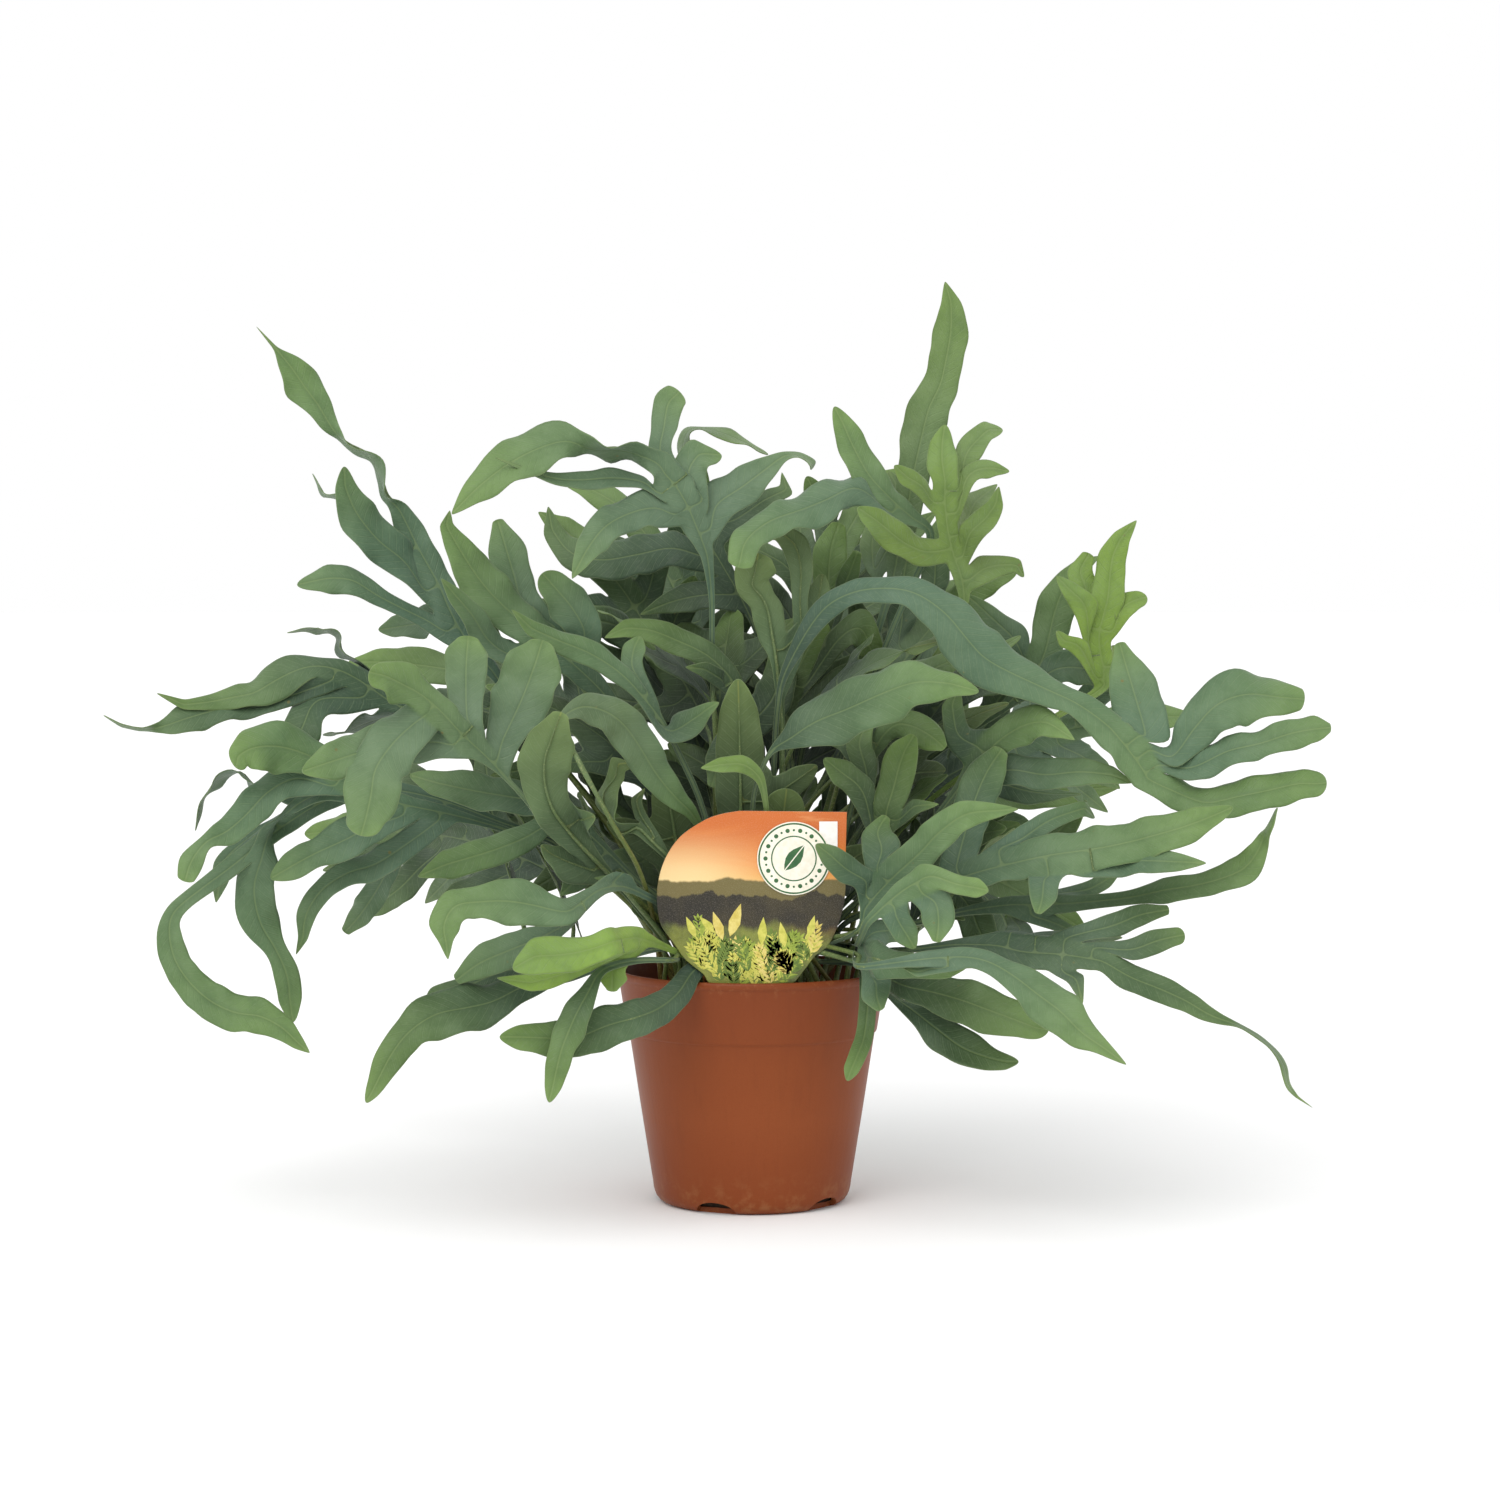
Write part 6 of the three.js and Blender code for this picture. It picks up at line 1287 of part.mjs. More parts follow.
    axis: [
      [-10.7, 27.2, 88.6, -1.21, 0.31, 0.5, 1.2], [1.6, 24.9, 114.4, -1.23, 0.31, 0.34, 1.18], [10.9, 19.6, 142.3, -1.07, 0.31, 0.52, 1.13],
      [25.2, 22.2, 173.4, -0.97, 0.26, 0.48, 1.07], [38.4, 31.8, 195.5, -1.32, 0.38, 0.82, 0.9], [43.8, 42.3, 202.9, -2.93, 0.86, 1.84, 0.55],
      [49.2, 52.1, 210.4, -4.04, 1.26, 2.71, 0.55], [54.9, 64.8, 217.8, -4.68, 1.54, 3.31, 0.55], [61, 79.1, 225, -4.95, 1.72, 3.69, 0.55],
      [67.5, 93.6, 232.3, -4.9, 1.79, 3.85, 0.55], [74, 106.1, 239.6, -4.7, 1.81, 3.9, 0.55], [80.7, 117.5, 246.9, -4.79, 1.94, 4.18, 0.55],
      [87.9, 131, 254.2, -4.77, 2.06, 4.43, 0.55], [95.6, 144.7, 261.4, -4.77, 2.07, 4.47, 0.55], [102.6, 142.7, 267.3, -3.87, 2.61, 5.56, 0.5],
      [110.2, 139.7, 272.2, -3.04, 2.86, 6.05, 0.5], [118.5, 136.5, 276, -1.55, 2.2, 4.62, 0.5],
    ],
    lobes: [
      { side: 1, at: 6, tip: [28.5, 71.1, 252.5], rows: [
        [40.2, 56.1, 226.4, -6.58, -1.04, -3.36], [34.2, 62, 239.3, -6.43, -0.89, -2.88],
      ] },
      { side: 1, at: 8, tip: [40.8, 37.6, 276.4], rows: [
        [55.1, 66.6, 241.3, -6.18, -1.13, -2.09], [50.7, 57.9, 253.3, -6.74, -1.3, -2.4], [45.9, 48.9, 265, -2.11, 4.6, -0.92],
      ] },
      { side: 1, at: 10, tip: [77.5, 133.3, 295.1], rows: [
        [71.3, 113.2, 256.8, -7.3, -0.29, -0.77], [71.5, 120.2, 269.7, -8.11, 0.19, 0.5], [73.6, 127.1, 282.5, -6.05, 0.49, 1.31],
      ] },
      { side: 1, at: 12, tip: [93.9, 138.6, 309.8], rows: [
        [87.5, 134.5, 271.9, -6.6, -0.02, -0.03], [88.3, 136.4, 284.7, -7.23, 0.47, 0.77], [90.4, 137.6, 297.4, -5.4, 0.72, 1.19],
      ] },
      { side: -1, at: 5, tip: [83.2, 46, 212.5], rows: [
        [61.4, 42.4, 206.4, 1.17, -1.79, -6.16], [72.5, 43.6, 208.6, 1.6, -1.67, -5.74],
      ] },
      { side: -1, at: 7, tip: [101.7, 64, 221], rows: [
        [75, 64.8, 217, -0.3, -4.9, -6.97], [88.6, 64.9, 217.4, 0.75, -4.59, -6.54],
      ] },
      { side: -1, at: 9, tip: [107.2, 116.1, 246.3], rows: [
        [86.1, 102.4, 238.4, 2.22, -2.2, -6.95], [96.7, 108.2, 241.6, 2.46, -2.06, -6.51],
      ] },
      { side: -1, at: 12, tip: [133.3, 104.4, 240.3], rows: [
        [100.1, 123.3, 247, -2.43, -1.93, -5.79], [110.9, 115.8, 244.7, -1.57, -2.25, -6.71], [122.1, 110.4, 242.4, -1.15, -1.71, -5.1],
      ] },
    ] },
];
const LOBE_HALF_THICK = 0.5;
const OTHER_SPLIT = new Set([3, 4, 31, 35, 44, 45, 49, 53].map((k) => `frond_${String(k).padStart(2, '0')}`));
const buildFrond = ({ name, axis, tip, lobes }) => {
  const verts = [];
  const half = [];
  const add = (v, t) => { verts.push(v); half.push(t); return verts.length - 1; };
  const V = (r, s) => new THREE.Vector3(r[0] + s * r[3], r[1] + s * r[4], r[2] + s * r[5]);
  const L = []; const C = []; const R = []; const faces = [];
  for (const r of axis) { L.push(add(V(r, 1), r[6])); C.push(add(V(r, 0), r[6])); R.push(add(V(r, -1), r[6])); }
  for (let i = 0; i + 1 < axis.length; i++) {
    faces.push([L[i], C[i], C[i + 1], L[i + 1]], [C[i], R[i], R[i + 1], C[i + 1]]);
  }
  const n = axis.length - 1;
  const end = add(new THREE.Vector3(...tip), 0.3);
  faces.push([L[n], C[n], end], [C[n], R[n], end]);
  for (const lobe of lobes) {
    const S = lobe.side === 1 ? L : R;
    let prev = [S[lobe.at - 1], S[lobe.at], S[lobe.at + 1]];
    for (const r of lobe.rows) {
      const row = [add(V(r, 1), LOBE_HALF_THICK), add(V(r, 0), LOBE_HALF_THICK), add(V(r, -1), LOBE_HALF_THICK)];
      if (lobe.side === 1) faces.push([prev[0], prev[1], row[1], row[0]], [prev[1], prev[2], row[2], row[1]]);
      else faces.push([row[0], row[1], prev[1], prev[0]], [row[1], row[2], prev[2], prev[1]]);
      prev = row;
    }
    const t = add(new THREE.Vector3(...lobe.tip), 0.3);
    if (lobe.side === 1) faces.push([prev[0], prev[1], t], [prev[1], prev[2], t]);
    else faces.push([t, prev[1], prev[0]], [t, prev[2], prev[1]]);
  }
  // edges used once are the margin, where the upper and lower faces meet
  const uses = new Map();
  for (const f of faces) {
    for (let i = 0; i < f.length; i++) {
      const a = f[i]; const b = f[(i + 1) % f.length];
      const key = a < b ? `${a}_${b}` : `${b}_${a}`;
      uses.set(key, (uses.get(key) || 0) + 1);
    }
  }
  const margin = new Set();
  for (const [key, count] of uses) if (count === 1) key.split('_').forEach((v) => margin.add(Number(v)));
  const normals = verts.map(() => new THREE.Vector3());
  const u = new THREE.Vector3(); const w = new THREE.Vector3(); const c = new THREE.Vector3();
  for (const f of faces) {
    const p = f.map((i) => verts[i]);
    if (f.length === 4) { u.subVectors(p[2], p[0]); w.subVectors(p[3], p[1]); } else { u.subVectors(p[1], p[0]); w.subVectors(p[2], p[0]); }
    c.crossVectors(u, w);
    for (const i of f) normals[i].add(c);
  }
  normals.forEach((v) => v.normalize());
  const out = []; const top = []; const bottom = [];
  verts.forEach((v, i) => {
    if (margin.has(i) && i !== C[0]) { top[i] = out.length; bottom[i] = out.length; out.push(v); return; }
    top[i] = out.length; out.push(v.clone().addScaledVector(normals[i], half[i]));
    bottom[i] = out.length; out.push(v.clone().addScaledVector(normals[i], -half[i]));
  });
  const index = [];
  const fan = (ids) => { for (let k = 1; k + 1 < ids.length; k++) index.push(ids[0], ids[k], ids[k + 1]); };
  // both faces of a blade split along the same diagonal, so they never cross,
  // except where the other diagonal keeps a frond clear of its neighbour
  const low = (f) => (OTHER_SPLIT.has(name) ? f.map((i) => bottom[i]).reverse() : [bottom[f[0]], ...f.slice(1).reverse().map((i) => bottom[i])]);
  for (const f of faces) { fan(f.map((i) => top[i])); fan(low(f)); }
  index.push(top[L[0]], bottom[C[0]], top[R[0]], top[L[0]], top[R[0]], top[C[0]]);
  const g = new THREE.BufferGeometry();
  g.setAttribute('position', new THREE.BufferAttribute(new Float32Array(out.flatMap((v) => [v.x, v.y, v.z])), 3));
  g.setIndex(index);
  let solid = toSolid(g);
  if (solid.volume() < 0) { g.setIndex(index.reverse()); solid = toSolid(g); }
  return fromSolid(solid);
};
const leafColour = (tint) => {
  const base = new THREE.Color(0x4c6b4c);
  if (tint < -0.5) return base.lerp(new THREE.Color(0x7f9c48), Math.min(1, -tint));
  if (tint < 0) return base.lerp(new THREE.Color(0x7d9474), Math.min(1, -tint * 2));
  return base.lerp(new THREE.Color(0x35502f), Math.min(1, tint * 2));
};
for (const frond of fronds) addMesh(frond.name, buildFrond(frond), leafColour(frond.tint), 0.6);

export default group;
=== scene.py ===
# Potted fern, in looks: long lobed fronds, a round nursery pot, potting mix,
# scaly rhizomes and a printed plant label. Metres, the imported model's frame.
import math
import bpy
import numpy as np
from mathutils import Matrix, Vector


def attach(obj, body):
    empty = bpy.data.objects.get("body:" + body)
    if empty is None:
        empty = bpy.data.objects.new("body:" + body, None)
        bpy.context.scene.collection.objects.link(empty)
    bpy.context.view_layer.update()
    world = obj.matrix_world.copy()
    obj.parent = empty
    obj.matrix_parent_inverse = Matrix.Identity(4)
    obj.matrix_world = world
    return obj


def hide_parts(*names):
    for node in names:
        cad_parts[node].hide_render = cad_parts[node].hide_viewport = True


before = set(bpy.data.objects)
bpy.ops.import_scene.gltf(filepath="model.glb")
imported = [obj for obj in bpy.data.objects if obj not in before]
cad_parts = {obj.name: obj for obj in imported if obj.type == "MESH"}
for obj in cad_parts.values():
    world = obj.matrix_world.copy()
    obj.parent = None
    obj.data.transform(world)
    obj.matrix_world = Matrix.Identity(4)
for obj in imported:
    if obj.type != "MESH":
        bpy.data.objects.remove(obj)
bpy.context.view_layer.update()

MM = 0.001

# ---------------------------------------------------------------- materials
def srgb(h):
    h = h.lstrip("#")
    c = [int(h[i:i + 2], 16) / 255 for i in (0, 2, 4)]
    return tuple(x / 12.92 if x <= 0.04045 else ((x + 0.055) / 1.055) ** 2.4 for x in c) + (1.0,)


class Mat:
    """A node material, with short calls for the nodes used here."""

    def __init__(self, name, rough=0.5, spec=0.4):
        self.m = bpy.data.materials.new(name)
        self.m.use_nodes = True
        self.t = self.m.node_tree
        self.t.nodes.clear()
        self.out = self.t.nodes.new("ShaderNodeOutputMaterial")
        self.p = self.t.nodes.new("ShaderNodeBsdfPrincipled")
        self.t.links.new(self.p.outputs[0], self.out.inputs[0])
        self.p.inputs["Roughness"].default_value = rough
        self.p.inputs["Specular IOR Level"].default_value = spec

    def n(self, kind, **kw):
        node = self.t.nodes.new("ShaderNode" + kind)
        for k, v in kw.items():
            setattr(node, k, v)
        return node

    def link(self, a, b):
        self.t.links.new(a, b)

    def set(self, sock, v):
        if hasattr(v, "is_output"):
            self.link(v, sock)
        else:
            sock.default_value = v

    def math(self, op, a, b=0.0, c=None, clamp=False):
        x = self.n("Math", operation=op, use_clamp=clamp)
        self.set(x.inputs[0], a)
        self.set(x.inputs[1], b)
        if c is not None:
            self.set(x.inputs[2], c)
        return x.outputs[0]

    def ramp(self, fac, stops, interp="LINEAR"):
        x = self.n("ValToRGB")
        x.color_ramp.interpolation = interp
        e = x.color_ramp.elements
        while len(e) > 1:
            e.remove(e[-1])
        e[0].position, e[0].color = stops[0]
        for pos, col in stops[1:]:
            k = e.new(pos)
            k.color = col
        self.set(x.inputs[0], fac)
        return x.outputs[0]

    def smooth(self, v, lo, hi, a=0.0, b=1.0):
        x = self.n("MapRange", interpolation_type="SMOOTHSTEP")
        self.set(x.inputs[0], v)
        x.inputs[1].default_value, x.inputs[2].default_value = lo, hi
        x.inputs[3].default_value, x.inputs[4].default_value = a, b
        return x.outputs[0]

    def mix(self, fac, a, b, blend="MIX"):
        x = self.n("Mix", data_type="RGBA", blend_type=blend)
        self.set(x.inputs[0], fac)
        self.set(x.inputs[6], a)
        self.set(x.inputs[7], b)
        return x.outputs[2]

    def attr(self, name):
        return self.n("Attribute", attribute_name=name).outputs["Fac"]

    def coord(self):
        return self.n("TexCoord").outputs["Object"]

    def noise(self, scale, detail=3.0, rough=0.55, vec=None, distort=0.0):
        x = self.n("TexNoise")
        x.inputs["Scale"].default_value = scale
        x.inputs["Detail"].default_value = detail
        x.inputs["Roughness"].default_value = rough
        x.inputs["Distortion"].default_value = distort
        self.link(vec if vec is not None else self.coord(), x.inputs["Vector"])
        return x.outputs["Fac"]

    def bump(self, height, strength, dist, normal=None):
        x = self.n("Bump")
        x.inputs["Strength"].default_value = strength
        x.inputs["Distance"].default_value = dist
        self.link(height, x.inputs["Height"])
        if normal is not None:
            self.link(normal, x.inputs["Normal"])
        return x.outputs[0]


LEAF_STOPS = [
    (0.00, srgb("#7e9d34")), (0.12, srgb("#607731")), (0.22, srgb("#4f6131")), (0.31, srgb("#53674d")), (0.40, srgb("#506752")),
    (0.50, srgb("#45604f")), (0.62, srgb("#2f4638")), (0.75, srgb("#203428")), (1.00, srgb("#142419")),
]


def leaf_material(name, under):
    m = Mat(name, 0.56 if not under else 0.66, 0.34 if not under else 0.25)
    # tint holds each frond's own tone plus painted shade deep in the crown; higher is darker
    tint = m.attr("tint")
    young = m.attr("young")
    rib = m.attr("rib")
    margin = m.attr("margin")
    col = m.ramp(m.math("MULTIPLY_ADD", tint, 0.5, 0.5), LEAF_STOPS)
    big = m.noise(26, 3, 0.5)
    mid = m.noise(120, 3, 0.55)
    fine = m.noise(900, 2, 0.5)
    # young ends are more yellow
    yfac = m.math("MULTIPLY", young, m.smooth(big, 0.25, 0.7, 0.55, 1.0), clamp=True)
    col = m.mix(yfac, col, srgb("#6d8a3a") if not under else srgb("#6f8440"))
    # the bloom lies unevenly
    col = m.mix(m.smooth(big, 0.35, 0.72, 0.0, 0.22), col, srgb("#6f856e"))
    col = m.mix(m.smooth(mid, 0.45, 0.75, 0.0, 0.18), col, srgb("#304b2b"))
    col = m.mix(m.smooth(fine, 0.5, 0.72, 0.0, 0.10), col, srgb("#7d8c73"))
    if under:
        col = m.mix(0.38, col, srgb("#596a44"))
    # side veins leave the midrib at an angle and fork towards the margin
    uv = m.n("UVMap", uv_map="strip").outputs[0]
    sep = m.n("SeparateXYZ")
    m.link(uv, sep.inputs[0])
    across = m.math("ABSOLUTE", m.math("SUBTRACT", sep.outputs[0], 0.5))
    wob = m.math("MULTIPLY", m.math("SUBTRACT", m.noise(60, 2, 0.5), 0.5), 0.02)
    ph = m.math("ADD", m.math("SUBTRACT", sep.outputs[1], m.math("MULTIPLY", across, 0.95)), wob)
    tri = m.math("PINGPONG", ph, 0.021)
    vein = m.smooth(tri, 0.0, 0.0042, 1.0, 0.0)
    tri2 = m.math("PINGPONG", m.math("ADD", m.math("MULTIPLY", ph, 1.0), m.math("MULTIPLY", m.math("SUBTRACT", mid, 0.5), 0.016)), 0.0065)
    vein2 = m.smooth(tri2, 0.0, 0.0022, 1.0, 0.0)
    inside = m.math("MULTIPLY", m.smooth(rib, 0.4, 1.6), m.smooth(margin, 0.2, 2.2))
    v1 = m.math("MULTIPLY", vein, inside)
    v2 = m.math("MULTIPLY", vein2, inside)
    col = m.mix(m.math("MULTIPLY", v1, 0.17 if not under else 0.2), col, srgb("#7b8f65"))
    col = m.mix(m.math("MULTIPLY", v2, 0.07), col, srgb("#7b8f65"))
    # midrib: a pale line with a soft shade beside it
    col = m.mix(m.smooth(rib, 0.5, 2.6, 0.16, 0.0), col, srgb("#294222"))
    col = m.mix(m.smooth(rib, 0.12, 0.50, 0.30, 0.0), col, srgb("#7d8f58") if not under else srgb("#98994f"))
    # thin pale margin
    col = m.mix(m.smooth(margin, 0.10, 0.45, 0.34, 0.0), col, srgb("#7e8d5c"))
    # a few small pale or brown marks
    spot = m.n("TexVoronoi", feature="F1")
    spot.inputs["Scale"].default_value = 75
    m.link(m.coord(), spot.inputs["Vector"])
    col = m.mix(m.math("MULTIPLY", m.smooth(spot.outputs["Distance"], 0.03, 0.075, 1.0, 0.0), m.smooth(mid, 0.5, 0.62)), col, srgb("#6b6a3c"))
    m.link(col, m.p.inputs["Base Color"])
    rgh = m.smooth(mid, 0.3, 0.7, 0.48, 0.62) if not under else m.smooth(mid, 0.3, 0.7, 0.6, 0.74)
    m.link(rgh, m.p.inputs["Roughness"])
    h = m.math("ADD", m.math("MULTIPLY", v1, -0.55 if not under else 0.6), m.math("MULTIPLY", v2, -0.22 if not under else 0.25))
    h = m.math("ADD", h, m.smooth(rib, 0.1, 0.9, -0.9 if not under else 0.8, 0.0))
    h = m.math("ADD", h, m.math("MULTIPLY", m.noise(300, 3, 0.6), 0.5))
    h = m.math("ADD", h, m.math("MULTIPLY", mid, 0.9))
    m.link(m.bump(h, 0.42, 0.0005), m.p.inputs["Normal"])
    m.p.inputs["Sheen Weight"].default_value = 0.12 if not under else 0.05
    m.p.inputs["Sheen Roughness"].default_value = 0.5
    m.p.inputs["Sheen Tint"].default_value = (0.86, 0.95, 0.95, 1)
    return m.m


def stalk_material():
    m = Mat("stalk", 0.42, 0.4)
    z = m.attr("young")       # 0 at the soil, 1 where the blade starts
    col = m.ramp(z, [(0.0, srgb("#4c3a1c")), (0.12, srgb("#6b5a2a")), (0.4, srgb("#646a31")), (0.8, srgb("#5f713b")), (1.0, srgb("#5c7045"))])
    n1 = m.noise(300, 3, 0.6)
    col = m.mix(m.smooth(n1, 0.4, 0.75, 0.0, 0.4), col, srgb("#4d5a2c"))
    col = m.mix(m.smooth(m.noise(1400, 2, 0.5), 0.55, 0.7, 0.0, 0.35), col, srgb("#b3b277"))
    m.link(col, m.p.inputs["Base Color"])
    m.link(m.smooth(n1, 0.3, 0.7, 0.34, 0.52), m.p.inputs["Roughness"])
    m.link(m.bump(m.noise(700, 3, 0.6), 0.35, 0.0003), m.p.inputs["Normal"])
    return m.m


def pot_material():
    m = Mat("pot_plastic", 0.46, 0.20)
    c = m.coord()
    sep = m.n("SeparateXYZ")
    m.link(c, sep.inputs[0])
    z = sep.outputs[2]
    # painted light and shade: the body is lighter a little below its middle and darker towards the foot and the lip
    col = m.ramp(m.smooth(z, 0.0, 0.103), [(0.0, srgb("#7c3a17")), (0.35, srgb("#85421d")), (0.7, srgb("#813f1a")), (1.0, srgb("#7a3a19"))])
    big = m.noise(14, 3, 0.5)
    fine = m.noise(1500, 2, 0.6)
    col = m.mix(m.smooth(big, 0.35, 0.7, 0.0, 0.16), col, srgb("#934f27"))
    col = m.mix(m.smooth(fine, 0.5, 0.72, 0.0, 0.12), col, srgb("#662e13"))
    # flow lines of the moulding, faint, and a little dust and wear near the foot and the lip
    st = m.n("Mapping")
    st.inputs["Scale"].default_value = (38, 38, 3)
    m.link(c, st.inputs["Vector"])
    flow = m.noise(6, 3, 0.6, st.outputs[0])
    col = m.mix(m.smooth(flow, 0.5, 0.75, 0.0, 0.10), col, srgb("#642d13"))
    dust = m.math("MULTIPLY", m.smooth(z, 0.022, 0.0, 0.0, 1.0), m.smooth(m.noise(160, 4, 0.65), 0.45, 0.7))
    col = m.mix(m.math("MULTIPLY", dust, 0.30), col, srgb("#a4794d"))
    scuff = m.math("MULTIPLY", m.smooth(z, 0.094, 0.1025), m.smooth(m.noise(240, 3, 0.7), 0.52, 0.68))
    col = m.mix(m.math("MULTIPLY", scuff, 0.22), col, srgb("#a77147"))
    m.link(col, m.p.inputs["Base Color"])
    m.link(m.smooth(big, 0.3, 0.75, 0.38, 0.5), m.p.inputs["Roughness"])
    h = m.math("ADD", m.math("MULTIPLY", fine, 0.6), m.math("MULTIPLY", flow, 1.2))
    m.link(m.bump(h, 0.16, 0.0004), m.p.inputs["Normal"])
    return m.m


def mix_material(name, a, b, c, rough=0.95):
    m = Mat(name, rough, 0.2)
    n1 = m.noise(160, 4, 0.7)
    n2 = m.noise(700, 3, 0.6)
    col = m.ramp(n1, [(0.25, a), (0.5, b), (0.75, c)])
    col = m.mix(m.smooth(n2, 0.45, 0.75, 0.0, 0.6), col, a)
    m.link(col, m.p.inputs["Base Color"])
    m.link(m.bump(m.math("ADD", n1, m.math("MULTIPLY", n2, 0.5)), 0.8, 0.0012), m.p.inputs["Normal"])
    return m.m


def scale_material():
    m = Mat("rhizome_scale", 0.6, 0.3)
    t = m.attr("young")
    col = m.ramp(t, [(0.0, srgb("#5a3314")), (0.45, srgb("#a46a2a")), (1.0, srgb("#d9a75a"))])
    col = m.mix(m.smooth(m.noise(500, 3, 0.6), 0.4, 0.7, 0.0, 0.5), col, srgb("#7a4a1d"))
    m.link(col, m.p.inputs["Base Color"])
    m.link(m.bump(m.noise(1500, 3, 0.6), 0.4, 0.0003), m.p.inputs["Normal"])
    return m.m


LEAF_TOP = leaf_material("leaf_upper", False)
LEAF_UNDER = leaf_material("leaf_under", True)
STALK = stalk_material()
POT = pot_material()
SOIL = mix_material("potting_mix_dark", srgb("#17100a"), srgb("#2c2016"), srgb("#46331f"))
BARK = mix_material("bark_chip", srgb("#2a1a0f"), srgb("#4f3420"), srgb("#7a5733"), 0.85)
PERLITE = mix_material("perlite", srgb("#b9b3a4"), srgb("#d8d3c6"), srgb("#eeeae0"), 0.9)
FIBRE = mix_material("fibre", srgb("#3b2816"), srgb("#6a4a28"), srgb("#8d6a3d"), 0.8)
SCALE = scale_material()

# ---------------------------------------------------------------- mesh helpers
def make(name, verts, faces, mats, face_mat=None, smooth=True, attrs=None, replaces=()):
    me = bpy.data.meshes.new(name)
    me.from_pydata([tuple(v) for v in np.asarray(verts) * MM], [], [tuple(int(i) for i in f) for f in faces])
    for m in mats:
        me.materials.append(m)
    if face_mat is not None:
        me.polygons.foreach_set("material_index", np.asarray(face_mat, dtype=np.int32))
    me.polygons.foreach_set("use_smooth", np.full(len(me.polygons), bool(smooth)))
    for k, v in (attrs or {}).items():
        a = me.attributes.new(k, "FLOAT", "POINT")
        a.data.foreach_set("value", np.asarray(v, dtype=np.float32))
    me.update()
    o = bpy.data.objects.new(name, me)
    bpy.context.scene.collection.objects.link(o)
    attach(o, "root")
    if replaces:
        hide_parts(*replaces)
    return o


def unit(v):
    v = np.asarray(v, float)
    return v / np.maximum(np.linalg.norm(v, axis=-1, keepdims=True), 1e-9)


def catmull(P, k):
    """P rows, k steps between neighbours; passes through every row."""
    P = np.asarray(P, float)
    n = len(P)
    E = np.vstack([2 * P[0] - P[1], P, 2 * P[-1] - P[-2]])
    out = []
    for i in range(n - 1):
        p0, p1, p2, p3 = E[i], E[i + 1], E[i + 2], E[i + 3]
        for j in range(k):
            u = j / k
            out.append(0.5 * (2 * p1 + (-p0 + p2) * u + (2 * p0 - 5 * p1 + 4 * p2 - p3) * u * u + (-p0 + 3 * p1 - 3 * p2 + p3) * u ** 3))
    out.append(P[-1])
    return np.array(out)


def arclen(P):
    return np.concatenate([[0], np.cumsum(np.linalg.norm(np.diff(P, axis=0), axis=1))])


def tube(P, R, sides=8, side_dir=None, close=True):
    """verts, faces of a tube along P with radii R."""
    P = np.asarray(P, float)
    n = len(P)
    T = unit(np.gradient(P, axis=0))
    a = np.array(side_dir if side_dir is not None else [0.31, 0.2, 0.93], float)
    V = []
    for i in range(n):
        a = a - T[i] * (a @ T[i])
        if np.linalg.norm(a) < 1e-3:
            a = np.cross(T[i], [0.3, 1, 0.2])
        a = unit(a)
        b = np.cross(T[i], a)
        for s in range(sides):
            w = 2 * math.pi * s / sides
            V.append(P[i] + R[i] * (math.cos(w) * a + math.sin(w) * b))
    F = []
    for i in range(n - 1):
        for s in range(sides):
            q = (s + 1) % sides
            F.append((i * sides + s, i * sides + q, (i + 1) * sides + q, (i + 1) * sides + s))
    if close:
        F.append(tuple(range(sides))[::-1])
        F.append(tuple((n - 1) * sides + s for s in range(sides)))
    return np.array(V), F


# ---------------------------------------------------------------- fronds
K = 3                                             # steps between rows
U = np.array([1, 0.66, 0.3, 0, -0.3, -0.66, -1])  # 7 columns, left edge to right edge
